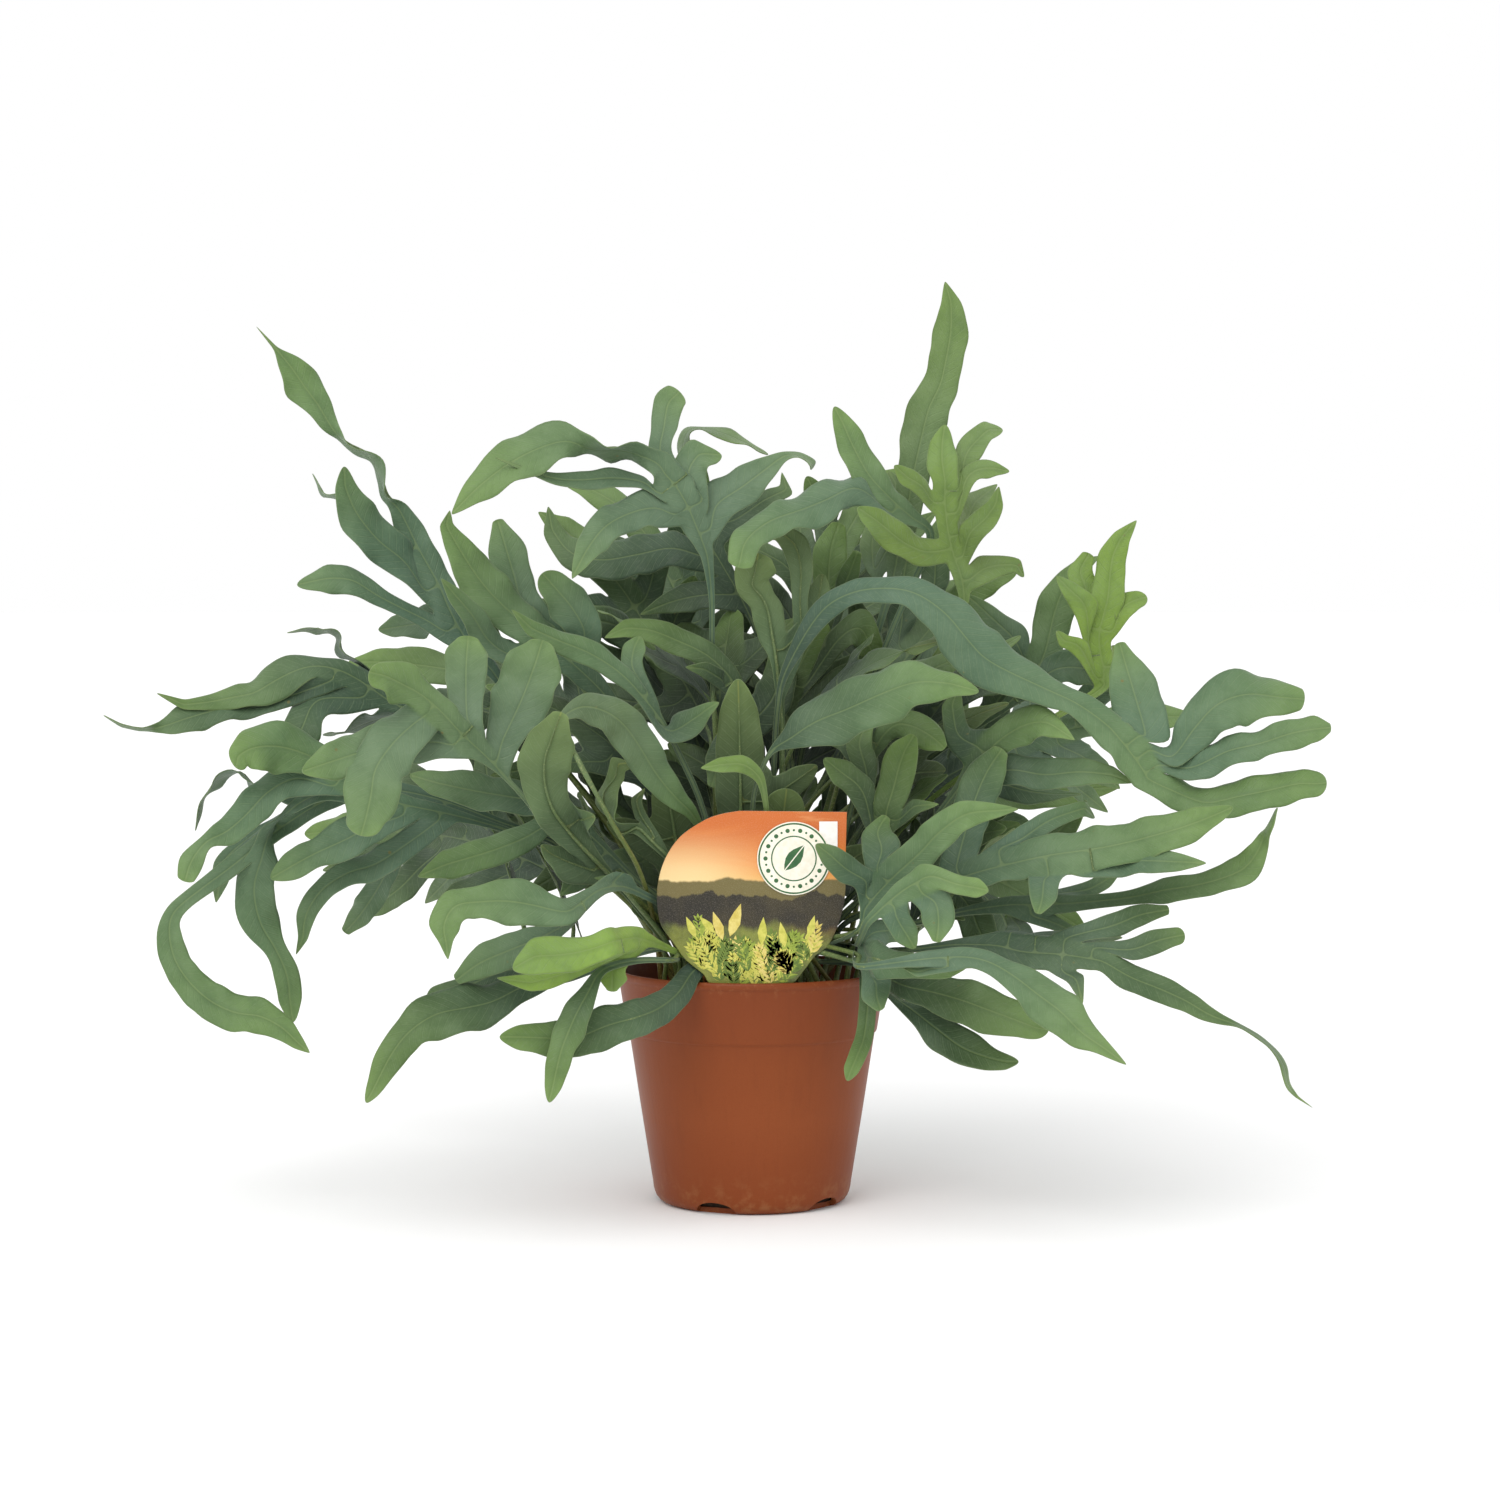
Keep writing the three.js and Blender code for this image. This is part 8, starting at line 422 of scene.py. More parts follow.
     [(-22.1,-37.6,88.6,-1.25,-0.51,-0.08), (-23.8,-40.4,114.5,-1.2,-0.53,-0.05), (-32.8,-36.3,130.1,-0.8,-0.42,-0.98), (-50.2,-60.2,143.1,-0.53,-0.74,-1.67), (-58.5,-71.6,145.6,0.01,-0.98,-2.21), (-65.1,-81.4,144.3,1.6,-1.06,-2.44), (-70.8,-91.5,140.7,2.05,-1.53,-3.51), (-77,-102,137.7,3.07,-2.28,-5.23), (-88.3,-104.5,140.4,-1.34,-3.44,-7.79), (-100.3,-108,142.8,-0.41,-4.19,-9.48), (-111.5,-111.7,142.8,0.81,-2.77,-6.29), (-121.4,-115.3,141.5,3.93,-2.44,-5.64), (-125.7,-118.5,134,6.38,-0.63,-1.52), (-124.6,-121.2,127.3,2.82,0.13,0.31)],
     [(1, 6, (-125.5,-66,105.1), [(-86.9,-84.4,126,2.78,-1.2,-4.1), (-101.8,-77.6,119.3,2.85,-1.89,-6.42), (-114.8,-71.4,113.2,3.4,-1.68,-5.73), (-124.6,-66,105.8,1.54,-0.58,-2)]),
      (-1, 4, (-67.2,-60.6,148.2), [(-54.3,-68.7,151.5,2.39,-0.25,-0.87), (-57.9,-66.8,147.9,-0.52,0.72,2.44)])]),
    ('frond_15', -1, 2, (-97.4,-127.6,117),
     [(-29.6,-37.8,88.6,-0.63,-1.19,-0.08), (-28.7,-35,110.3,-0.65,-1.14,-0.05), (-26.8,-40.6,111.8,-0.42,-0.64,-0.91), (-39,-66.8,120.3,-0.56,-1.03,-1.48), (-43.2,-78.5,123.2,-0.88,-1.85,-2.64), (-46.7,-86.8,125.1,-0.74,-2.85,-4.03), (-50.3,-94.2,126.1,0.48,-3.49,-4.91), (-54,-101.1,126.1,1.45,-3.56,-5.05), (-57.6,-108,125.9,1.32,-3.72,-5.26), (-67.3,-111.5,123,1.67,-3.92,-5.57), (-78.5,-116.8,121.5,1.14,-5.1,-7.18), (-88.4,-121.9,121.7,2.32,-4.61,-6.55)],
     [(1, 5, (-58.2,-96.4,104), [(-57.5,-91.8,115.9,4.5,-1.45,-2.93), (-57.8,-94.5,109.5,6.22,-0.21,-0.44), (-58.1,-96.4,105.1,2.48,-0.1,-0.21)]),
      (1, 7, (-107.2,-83.2,108.2), [(-79.8,-93.2,110.6,1.71,-2.08,-3.16), (-92.6,-88.6,106.7,0.32,-2.36,-3.49)])]),
    ('frond_16', 0.3, 2, (-161.3,-88.4,56.3),
     [(-39.5,-26.6,88.6,0.47,-1.25,-0.19), (-37.1,-33.6,112.5,0.47,-1.22,-0.12), (-39.9,-48.3,116.9,0.33,-0.81,-1.17), (-56.7,-53.2,113.2,0.49,-1.07,-1.54), (-70.3,-57.2,109.5,0.98,-1.92,-2.77), (-78.6,-60.1,107.5,1.03,-2.38,-3.42), (-86.6,-63.3,105.9,1.16,-2.67,-3.83), (-98.4,-65.3,101.9,2.54,-3.48,-5.07), (-109.2,-68,96.6,3.25,-5.09,-7.36), (-121.2,-71.1,94,2.71,-6.39,-9.14), (-133.2,-74.3,91.9,4.41,-5.94,-8.62), (-143.8,-77.9,85.2,5.33,-3.47,-5.24), (-150.7,-81.1,76.8,5.42,-2.08,-3.25), (-155.4,-84.2,67.9,4.59,-1.37,-2.15), (-158.9,-86.8,60.7,2.68,-0.78,-1.23)],
     [(-1, 5, (-140.2,-41.8,85.9), [(-103.3,-54.6,108.3,-0.64,2.68,3.53), (-120.9,-49.4,101.2,-1.82,2.73,3.67), (-135.9,-44.3,94.2,-3.3,2.76,3.83), (-139.7,-41.8,86.9,-2.38,0.72,1.07)])]),
    ('frond_17', 0.25, 2, (-103.7,-114.8,87.6),
     [(-15.1,-40.3,88.6,0.03,-1.35,-0.05), (-15,-38.4,109.1,0.03,-1.31,-0.03), (-14.7,-41,111.1,0.01,-0.59,-1.23), (-24.8,-52.6,108.1,3.09,-1.31,-2.82), (-30.9,-67.8,100.4,4.45,-1.74,-3.74), (-39.4,-82.5,95.1,3.56,-2.8,-5.88), (-49.1,-95.2,92.9,2.71,-3.39,-7.05), (-60.6,-98.2,90,2.98,-3.75,-7.78), (-72.8,-102.6,85.5,1.7,-3.52,-7.27), (-84.9,-107.1,86.2,0.05,-3.21,-6.61), (-95.3,-111.3,87.1,0.04,-2.45,-5.04)],
     []),
    ('frond_18', 0.25, 2, (-83,-119.6,61.1),
     [(-33.8,-31.6,88.6,-0.1,-1.3,-0.34), (-30.8,-38.2,111.4,-0.14,-1.29,-0.22), (-32.9,-77,114.9,-0.16,-0.75,-0.96), (-45.4,-86.9,116.2,0.02,-0.91,-1.16), (-56.8,-94.8,115,0.71,-1.07,-1.41), (-63.4,-99.4,112,1.76,-0.74,-1.06), (-67.4,-105.3,105.1,3.44,-0.95,-1.38), (-71.4,-111.2,98.2,5.2,-1.66,-2.4), (-74.7,-112.4,91,6.13,-1.62,-2.35), (-77.9,-114.2,83,5.12,-1.04,-1.51), (-79.9,-116,75,4.82,-0.71,-1.04), (-81.4,-117.8,67.9,3.61,-0.51,-0.75)],
     []),
    ('frond_19', -0.1, 6, (36.2,8.4,351.4),
     [(8.7,9,88.6,-1.21,0.33,0.51), (19.3,8.8,114,-1.22,0.33,0.35), (25.1,9,135.6,-1.2,0.32,0.32), (32,9.5,161.2,-1.13,0.3,0.3), (39.7,9.8,188.6,-1.06,0.28,0.31), (48,9.4,215.3,-0.98,0.27,0.33), (56.7,8,239.2,-1.22,0.34,0.5), (67.6,5.4,265.8,-1.2,0.35,0.52), (79.4,2.7,293.1,-1.76,-0.01,-0.01), (71,1.6,301.5,-2.13,-1.95,-2.79), (64.3,0.8,307.2,-3.22,-2.45,-3.57), (58.1,0,313.3,-3.85,-2.55,-3.76), (51.1,1.5,321.2,-5.91,-2.67,-4.04), (44.9,4,332.7,-5.97,-1.95,-3.03), (40.6,6.2,342.5,-4.42,-1.38,-2.14)],
     [(1, 10, (-5.9,-44.2,279.8), [(46.4,-6.3,314.9,-0.68,-6.22,-6.27), (32.2,-13.9,309.4,2.95,-8,-8.32), (19.9,-21.3,304.5,2.52,-6.79,-7.02), (6.9,-29.7,299.6,3.21,-5.33,-5.69), (-2.6,-37.9,291.3,5.63,-3.37,-3.97), (-5.2,-44.2,282.2,5.35,-1.24,-1.53)])]),
    ('frond_20', -0.75, 5, (84.9,1,343.1),
     [(14.7,13.6,88.6,-1.11,0.53,0.57), (24.9,14.8,113.6,-1.14,0.53,0.39), (33,9.9,138.3,-1.09,0.52,0.38), (42.7,5.3,167.5,-1,0.48,0.39), (53.9,2.2,196.7,-0.9,0.42,0.44), (67.5,0,221.7,-1.06,0.52,0.74), (82.8,-1.5,243.8,-1.09,0.48,0.7), (92.4,-2.7,261.4,-1.67,0.33,0.49), (93.1,-3.1,269.5,-2.81,-0.17,-0.26), (92.3,-3.4,274.2,-3.45,-0.4,-0.61), (91,-3.7,279.1,-3.6,-0.85,-1.28), (89.1,-4,283.7,-3.69,-0.89,-1.35), (87.7,-4.3,288.6,-3.94,-0.64,-0.99), (86.5,-4.6,293.5,-4.11,-0.55,-0.85), (85.6,-4.8,298.4,-4.34,-0.43,-0.66), (85,-5.1,303.6,-4.75,-0.24,-0.38), (84.6,-5.4,308.5,-5.18,-0.15,-0.24), (84.5,-5.7,313.5,-5.48,0.02,0.03), (84.5,-6,318.4,-5.69,0.03,0.05), (83.3,-4.2,326.3,-7.01,-0.37,-0.58), (83.4,-1.8,334.7,-5.24,0.27,0.42)],
     [(1, 16, (61.7,-17.4,324.5), [(74.2,-10,315.7,-2.28,-2.7,-3.3), (68,-13.1,319,-2.79,-2.84,-3.53)]),
      (-1, 17, (111.7,18.3,341.3), [(94.3,3.5,329.6,4.66,-2.52,-3.2), (99.9,9,336.5,3.8,-2.92,-3.62), (104.6,13.4,341.1,1.4,-3.78,-4.27)]),
      (-1, 15, (113.3,1,322.3), [(94.8,-2.5,320.2,2.82,-1.47,-2.72), (103.7,-0.7,323.8,0.41,-2.52,-4.43), (110.3,0.6,322.7,-0.36,-1,-1.76)]),
      (-1, 11, (107.7,-13,315.5), [(95.5,-6.4,295.2,4.36,-2.75,-3.5), (101.9,-8.4,300.8,4.35,-3.3,-4.14), (106.6,-10.7,307.8,3.16,-1.01,-1.35)]),
      (-1, 9, (120.5,8.6,275.9), [(101.2,-0.6,279,2.21,-2.95,-5.69), (109.4,2.6,281.2,0.52,-2.52,-4.81), (117.1,5.8,281.2,-1.49,-1.42,-2.77)]),
      (1, 12, (45.3,-28.3,306.1), [(76.2,-8.3,286.8,-1,-4.82,-6.12), (65.8,-13.6,291.2,-3.67,-4.18,-5.58), (55.5,-20.8,299.3,-4.08,-3.85,-5.24)]),
      (-1, 13, (111.1,40.4,318), [(99.4,19.1,309.3,3.82,-1.81,-3.67)])]),
    ('frond_21', -0.45, 5, (86.5,33.2,408.5),
     [(12.4,20.8,88.6,-1.28,0.25,0.34), (19.3,21.7,114,-1.27,0.24,0.23), (23.9,22.4,135.7,-1.21,0.23,0.26), (30.4,22.6,161.5,-1.12,0.22,0.27), (37.8,22.6,188,-1.03,0.2,0.28), (44.3,24,211.9,-1.28,0.25,0.39), (53.8,24,243.3,-1.28,0.25,0.39), (61.7,23.3,270.2,-2.15,0.36,0.57), (63.7,23.1,278.5,-3.25,0.45,0.72), (65.6,22.8,287.6,-4.86,0.63,1.01), (67.5,22.5,297.2,-5.79,0.72,1.16), (69.3,22.3,306.2,-6.3,0.74,1.2), (71,22,315.7,-6.99,0.81,1.31), (73.2,22.9,327.3,-7.38,0.98,1.6), (75.9,24.1,338.9,-9.49,1.44,2.35), (79.1,25.6,351.4,-8.75,1.97,3.21), (84.1,26.9,361.7,-7.5,1.69,2.77), (86.8,28.4,373,-7.41,0.93,1.55), (89.1,30.1,386.4,-8,0.44,0.73), (89.2,31.8,398.6,-4.47,-0.34,-0.57)],
     [(1, 9, (55.4,43.8,301.2), [(55.2,29.5,279.1,-0.67,-2.7,-5.36), (54.1,36.1,289.1,-5.86,-0.06,-0.13), (55.3,43.8,299.5,-3.61,0.15,0.32)]),
      (1, 11, (61.3,37.3,324.2), [(64.6,30.7,317.7,-3.26,-0.86,-1.6)])]),
    ('frond_22', 0, 4, (242.3,-69,189.1),
     [(8,-14.1,88.6,-1.35,0.06,0.03), (8.5,-15.4,114,-1.31,0.06,0.02), (8.5,-16,141.4,-1.23,0.05,0), (8.7,-17.2,173.9,-1.12,0.05,0.02), (10,-20,204.1,-1.3,0.06,0.1), (11.3,-22.4,220.3,-1.29,0.1,0.18), (14.3,-24.5,234.7,-2.06,0.37,0.64), (28.5,-28.8,259.5,-3.65,2.16,3.62), (41.4,-31.1,268.5,-1.92,2.94,4.76), (56,-33.3,271.1,0.04,3.51,5.59), (70.1,-35.4,269,2.71,3.94,6.38), (82.9,-37.7,260.4,6.57,4.15,6.96), (92.6,-40,248.9,8.9,4.53,7.64), (102,-42,239.5,7.29,5.55,9.14), (125.7,-46,228,2.88,3.59,5.76), (138.3,-48.1,222.1,3.02,2.92,4.72), (151,-50.4,213.2,5.19,3.17,5.24), (156.9,-51.8,206.6,6.27,2.81,4.72), (159.1,-52.3,203.8,6.39,2.75,4.63), (161.2,-52.9,201.1,6.33,2.7,4.55), (163.4,-53.4,198.2,6.22,2.49,4.2), (165.4,-53.9,195.3,5.92,2.27,3.84), (167.3,-54.5,192.4,5.5,2.1,3.55), (169.3,-55,189.5,5.08,1.98,3.33), (181.1,-56.6,184.1,2.84,3.6,5.69), (192.7,-58.7,180,0.87,3.69,5.7), (205.1,-61,182.7,-0.89,4.63,7.2), (217.4,-63.6,185.4,-0.91,4.35,6.78), (229.7,-66.2,188.5,-0.36,4.14,6.45), (237,-67.8,188.6,0.34,3.4,5.29)],
     [(1, 18, (159.1,-25.3,247.6), [(168.2,-48.7,208.4,-10.17,1.35,2.7), (165.2,-41.4,221.9,-10.88,-1.5,-3.01), (162.1,-33.2,234.9,-8.4,-1.19,-2.4), (159.5,-25.3,246.4,-2.53,-0.36,-0.73)]),
      (1, 20, (235.7,-50.4,223.7), [(178.9,-53,199.2,-1.97,3.46,4.36), (188.2,-52.5,211.2,-5.95,4.01,5.42), (198.5,-51.9,221.8,-5.32,7.25,9.4), (211.3,-51.4,226,-0.09,8.34,10.31), (224.2,-50.8,224.7,1.79,6.68,8.27), (233.6,-50.4,223.9,0.98,3.67,4.55)]),
      (1, 22, (244.3,-66.5,212.3), [(186.1,-56.4,194.7,-1.09,3.78,5.55), (201.9,-58.9,202.1,-1.58,3.93,5.83), (215.9,-61.3,205.6,-1.08,3.74,5.54), (228.2,-63.6,209.9,-1,4.02,5.97), (238.1,-65.4,211.7,-0.2,3.85,5.7), (243.4,-66.5,212.2,0.06,1.38,2.05)])]),
    ('frond_23', -0.9, 4, (171.3,16.4,301.3),
     [(23.9,1.7,88.6,-1.02,0.74,0.49), (42.6,16.6,113,-1.02,0.76,0.34), (48.1,7.7,135.2,-0.9,0.67,0.51), (60.8,0.3,159.1,-0.75,0.57,0.59), (78.6,0,177.5,-0.62,0.6,0.86), (103,2,195.1,-0.57,0.62,0.89), (131.9,4.2,212.7,-0.6,0.78,1.12), (153.9,5.8,225.7,-1.52,0.85,1.29), (155.7,6.2,230.6,-3.18,0.26,0.41), (155.7,6.5,236,-4.16,-0.45,-0.73), (154.6,6.9,241.6,-4.88,-0.46,-0.74), (153.8,7.3,247.2,-5.18,-0.27,-0.44), (154.1,7.6,252.7,-5.41,0.7,1.13), (155.5,8,258.2,-5.95,0.88,1.42), (157.8,9.2,267.1,-7.36,0.76,1.23), (158.8,10.8,276.8,-6.56,0.48,0.79), (160.3,12.5,285.7,-5.81,1.16,1.88), (164.4,14.3,293.7,-3.15,1.44,2.28)],
     [(1, 12, (150.8,22.6,286.6), [(148.6,14.4,270.2,-5.97,-1.03,-2.04), (146.2,18.5,278.2,-5.77,0.17,0.34), (150.2,22.6,285.4,-2.73,0.71,1.4)]),
      (1, 10, (133.7,-2.1,276.4), [(147.4,2.9,262.3,-5.31,-1.44,-2.47), (140.1,0.2,270.2,-3.03,-1.62,-2.71)]),
      (-1, 12, (175.3,10.6,267.1), [(164,9,262.2,3.4,-2.41,-4.44), (170.3,9.9,265.8,1.4,-2.01,-3.64)]),
      (1, 8, (133.2,-8.8,252.3), [(144.5,-1.3,245.1,-2.97,-2.26,-2.8), (137,-5.5,247.8,-1.89,-2.11,-2.52)]),
      (-1, 9, (169,15.5,241.8), [(161.7,11,241.3,2.13,-3.23,-4.66), (168,15.5,241.7,0.01,-1.56,-2.19)])]),
    ('frond_24', 0.1, 4, (157,37,285.5),
     [(22.3,14.3,88.6,-1.15,0.64,0.31), (29.1,17,113.9,-1.12,0.66,0.2), (35.7,16.2,134.7,-1.06,0.57,0.26), (44.9,18.1,158,-0.92,0.49,0.41), (57.6,21.4,176.1,-0.84,0.63,0.99), (84.4,24.3,198.4,-0.77,0.67,1.05), (110.1,25,215.5,-1.2,1.06,1.68), (117.5,25.3,221.8,-2.18,1.45,2.33), (123.1,25.9,227.8,-3.65,1.89,3.09), (128.3,26.9,235,-5.41,1.81,3.02), (131.8,28,242.8,-6.91,1.35,2.3), (133.9,29.1,251.3,-7.79,1.08,1.86), (136.7,31,262.1,-8.38,1.68,2.89), (141.4,33.1,272.4,-5.56,2.1,3.55), (148.7,35.2,281,-2.19,1.68,2.75)],
     [(-1, 7, (166.4,12.3,222.2), [(133.4,22,233.5,2.57,-2.69,-6.05), (146.5,19.3,235.4,-0.84,-3.35,-7.5), (157.4,16.4,231.9,-3.12,-2.41,-5.47), (164.7,13.5,225.7,-2.68,-1.05,-2.43)]),
      (1, 9, (94.8,37.5,269.2), [(118.2,29.6,247.7,-5.49,-2.38,-4.8), (108.1,33.1,257.6,-3.85,-1.94,-3.9), (100.6,35.7,264.7,-1.83,-1.02,-2.04)])]),
    ('frond_25', 0.05, 4, (95.2,-79.2,227.8),
     [(6.7,-34.6,88.6,-1.33,0.22,-0.05), (5.2,-37.6,114,-1.3,0.2,-0.04), (2.6,-39.7,134.5,-1.2,0.23,-0.17), (-0.7,-42.8,158.5,-1.1,0.2,-0.06), (0.5,-45.9,180.5,-1.04,0.14,0.22), (3.2,-48.1,191.3,-1.01,0.22,0.34), (8.3,-51.3,201.7,-0.95,0.54,0.82), (16.6,-54.6,207.4,-2.7,2.85,4.18), (27.3,-59,214.8,-4.84,6.59,9.58), (41.4,-63.8,220.5,-4.2,7.1,10.27), (56,-68.3,227.4,-3.87,7.16,10.37), (69.6,-72.2,231.8,-1.01,6.28,8.97), (82.1,-75.5,231.4,1.11,3.68,5.26)],
     []),
    ('frond_26', 0.3, 2, (69.7,-39.7,208),
     [(21,-20.3,88.6,-1.28,0.22,0.35), (26,-11.7,113,-1.27,0.22,0.24), (50.3,-33.3,140.6,-1.25,0.21,0.32), (54.3,-37.7,154,-1.68,0.25,0.37), (55.2,-38.5,158.3,-2.35,0.3,0.46), (56.1,-39.4,163,-3.37,0.4,0.61), (56.8,-40.2,167.5,-4.28,0.51,0.78), (57.5,-41.5,172.3,-5.14,0.57,0.89), (58,-43.2,176.8,-5.9,0.66,1.02), (60.7,-43.2,185.4,-6.9,1.42,2.18), (62.9,-42.8,194,-6.87,1.49,2.29), (65.7,-41.5,201.6,-5.74,1.79,2.73), (69.2,-39.8,207.2,-1.8,0.73,1.1)],
     [(1, 5, (30.4,-48.1,198.6), [(47.5,-44.1,183.8,-5.23,-1.98,-2.97), (38,-46.8,192.5,-3.68,-2.84,-4.1)]),
      (-1, 7, (79.8,-55,179.3), [(69.4,-48.3,178,0.78,-2.17,-3.18)]),
      (1, 7, (51.4,-24.1,214), [(49,-36.3,193.6,-4.98,-0.81,-1.53), (46.3,-30.3,204.6,-5.62,0.25,0.48), (50.8,-24.2,213,-2.32,0.61,1.15)])]),
    ('frond_27', 0, 2, (110.4,-95.6,179.9),
     [(31.8,-26.8,88.6,-1.31,0.26,0.2), (21.3,-15.8,111.7,-1.28,0.25,0.13), (43.8,-72.8,125.7,-1.19,0.17,0.43), (47.2,-69.8,134.9,-1.58,0.49,1.2), (50.3,-68.5,139.1,-2.66,1.13,2.77), (53.6,-68.8,143,-3.56,1.73,4.23), (57.4,-70.6,147.3,-4.76,1.9,4.67), (61.7,-73.7,151.9,-5.29,2.1,5.16), (70.7,-77.9,160.6,-5.08,1.93,4.77), (78.3,-82.1,169.3,-4.54,2.13,5.23), (89,-87,177.2,-1.99,2.19,5.3), (100.4,-91.5,178.8,-0.23,1.34,3.22)],
     [(1, 4, (26.5,-81.5,164.3), [(48.3,-68.7,147.4,-4.62,-1.68,-2.89), (40.4,-71.9,152.3,-3.61,-2.71,-4.5), (32.7,-76.8,159.3,-2.96,-2.04,-3.41)]),
      (1, 6, (57.4,-52.1,174), [(55.1,-63.6,160.4,-8.19,-0.51,-2.17), (53.1,-57.8,167.6,-6.36,0.09,0.39), (56.9,-52.1,173.2,-1.84,0.25,1.04)])]),
    ('frond_28', 0.05, 2, (97.1,-109.7,147.1),
     [(39.2,-27.7,88.6,-1.2,0.61,-0.02), (44,-22.5,115.9,-1.21,0.52,-0.03), (44.5,-70.6,120.7,-1.03,0.3,0.7), (47.2,-91.5,131.4,-1.28,0.44,1.03), (51.7,-94.2,136.5,-1.67,0.66,1.55), (56.8,-95.3,141.4,-2.15,0.97,2.26), (62.4,-96.1,146,-2.47,1.45,3.37), (68.1,-97.7,149.6,-2.2,1.98,4.55), (74.2,-100.2,152.5,-2.17,2.23,5.14), (83.6,-103.1,149.4,1.15,1.68,3.85), (92.4,-107.1,148.1,0.93,1.7,3.89)],
     [(-1, 7, (75.7,-108.3,125.9), [(75.8,-100.8,141.7,-6.19,-1.03,-3.34), (76.8,-104.6,133.8,-7.01,-0.05,-0.18), (75.8,-108.3,126.8,-2.04,0.07,0.22)]),
      (-1, 5, (67.5,-98.4,122), [(59.7,-97.1,134.8,-4.79,-0.86,-2.53), (63.7,-98,128.2,-4.65,-0.94,-2.74)])]),
    ('frond_29', 0.05, 2, (201.4,-81.2,179.8),
     [(28.6,-20.2,88.6,-0.64,1.13,0.37), (35.4,8,113.6,-0.65,1.12,0.25), (41.7,-25.5,126.5,-0.48,0.74,1.11), (59.3,-50.7,135.9,-0.46,0.74,1.12), (79,-59.3,144.8,-1.07,1.93,2.91), (88.1,-61.4,148.3,-1.39,2.87,4.33), (96.6,-63.3,151.2,-1.44,3.76,5.66), (105.7,-65,153.7,-1.33,4.26,6.4), (114.8,-66.6,156.1,-1.45,4.73,7.12), (123.9,-68.1,158.2,-1.09,5.27,7.92), (133.2,-69.7,159.7,-0.67,5.72,8.59), (142.3,-71.2,161.2,-0.89,5.78,8.69), (151.4,-72.8,162.8,-0.83,5.52,8.32), (165.1,-74.5,166.3,-1.6,5.11,7.76), (179.4,-76.9,170.6,-1.76,4.51,6.89), (190.9,-79,175,-1.46,2.92,4.49)],
     [(-1, 11, (189.2,-89.2,156.9), [(152.6,-74.1,156.1,-1.61,-3.82,-5.89), (165.9,-78.9,156.9,-0.37,-3.38,-5.19), (178.6,-84.2,156.9,-0.4,-2.32,-3.57)]),
      (1, 5, (107.7,-36.9,202), [(95.2,-50.1,180.7,-8.22,1.19,2.1), (101.2,-43.5,193.2,-7.12,2.1,3.67), (106.8,-37.1,200.6,-3.16,1.21,2.1)]),
      (-1, 9, (118.5,-91.9,136), [(122.6,-76.1,148.7,-6.68,0.28,0.51), (121,-85.4,141.1,-5.7,0.57,1.03), (118.8,-91.9,136.7,-1.55,0.28,0.5)]),
      (1, 7, (147.7,-37.9,172.2), [(113.7,-60.5,164.4,-3.41,1.6,3.57), (127.1,-52.6,172.3,-1.75,1.69,3.72), (143,-42.1,176.8,-0.02,1.53,3.34)])]),
    ('frond_30', 0.15, 2, (221.7,-68.8,178.9),
     [(34.6,-15.6,88.6,-0.26,1.3,0.27), (41.8,9.4,111.1,-0.24,1.28,0.17), (54.5,-15.6,122.5,-0.1,0.69,1.23), (67.9,-33.1,125.8,-0.18,0.68,1.21), (89.6,-42.8,132,-0.26,0.9,1.61), (109.1,-45.3,135.2,-0.21,1.99,3.56), (119.5,-45.7,135.4,0.33,2.28,4.08), (129.5,-46.2,135.6,-0.05,2.19,3.92), (139.8,-47.5,136.4,-0.04,1.81,3.25), (153.4,-50.1,137.9,-0.19,1.58,2.83), (165.2,-53.3,139.9,-0.45,1.78,3.2), (175.7,-56.1,142.7,-0.73,2.88,5.19), (187,-58.6,144.6,-0.69,2.65,4.78), (198.6,-60.9,147.8,-1.43,2.75,5), (208.8,-63.1,152.7,-3.88,2.71,5.08), (214.8,-65.2,161.7,-3.25,0.88,1.71), (217.1,-66.8,169.9,0.03,7.79,-0.04)],
     [(1, 7, (160,-28.7,148.1), [(144.3,-39.1,141.2,-1.39,1.28,2.99), (152.8,-33.8,145,-1.73,1.41,3.3)]),
      (-1, 6, (141.2,-57.8,122.5), [(127.7,-48.8,128.4,-1.98,-2,-2.7), (136.9,-54.2,124.7,-1.03,-1.35,-1.79)])]),
    ('frond_31', 0.3, 2, (231.5,-104.8,56.8),
     [(43,-13,88.6,-0.03,1.24,0.53), (50,-0.1,110.1,-0.04,1.27,0.35), (59.9,-39.7,115.1,-0.03,0.71,1.2), (69.2,-54.8,117.2,-0.06,0.71,1.2), (84.7,-66.3,120.3,-0.06,1.18,1.99), (101.5,-72.2,120.8,0.92,3.12,5.3), (107.2,-74,119.8,1.76,3.5,5.96), (112.8,-75.8,118.6,1.59,3.84,6.53), (118.6,-77.6,118.1,0.74,4.01,6.8), (124.4,-79.4,118.1,0.6,3.9,6.6), (130.1,-80.9,117.8,1.08,3.59,6.1), (136,-82.3,117.1,1.18,3.04,5.17), (141.6,-83.4,116.2,1.18,2.57,4.38), (147.1,-84.4,115,1.11,2.26,3.85), (157.9,-85.2,108.8,2.84,2.87,4.96), (170.3,-86.8,104,2.44,2.72,4.69), (180.9,-88.7,99.2,2.38,2.2,3.82), (189,-90.6,94.4,1.75,1.59,2.76), (195.5,-92.1,91.7,0.89,1.06,1.81), (203.6,-94,89,0.7,2.88,0.18), (214,-96.9,82.3,1.27,3.78,0.26), (219.9,-99.2,74.3,1.52,3.78,-0.08), (221.7,-101.4,65.8,1.73,3.72,-0.06), (225.2,-102.8,61.1,0.36,0.19,0.34)],
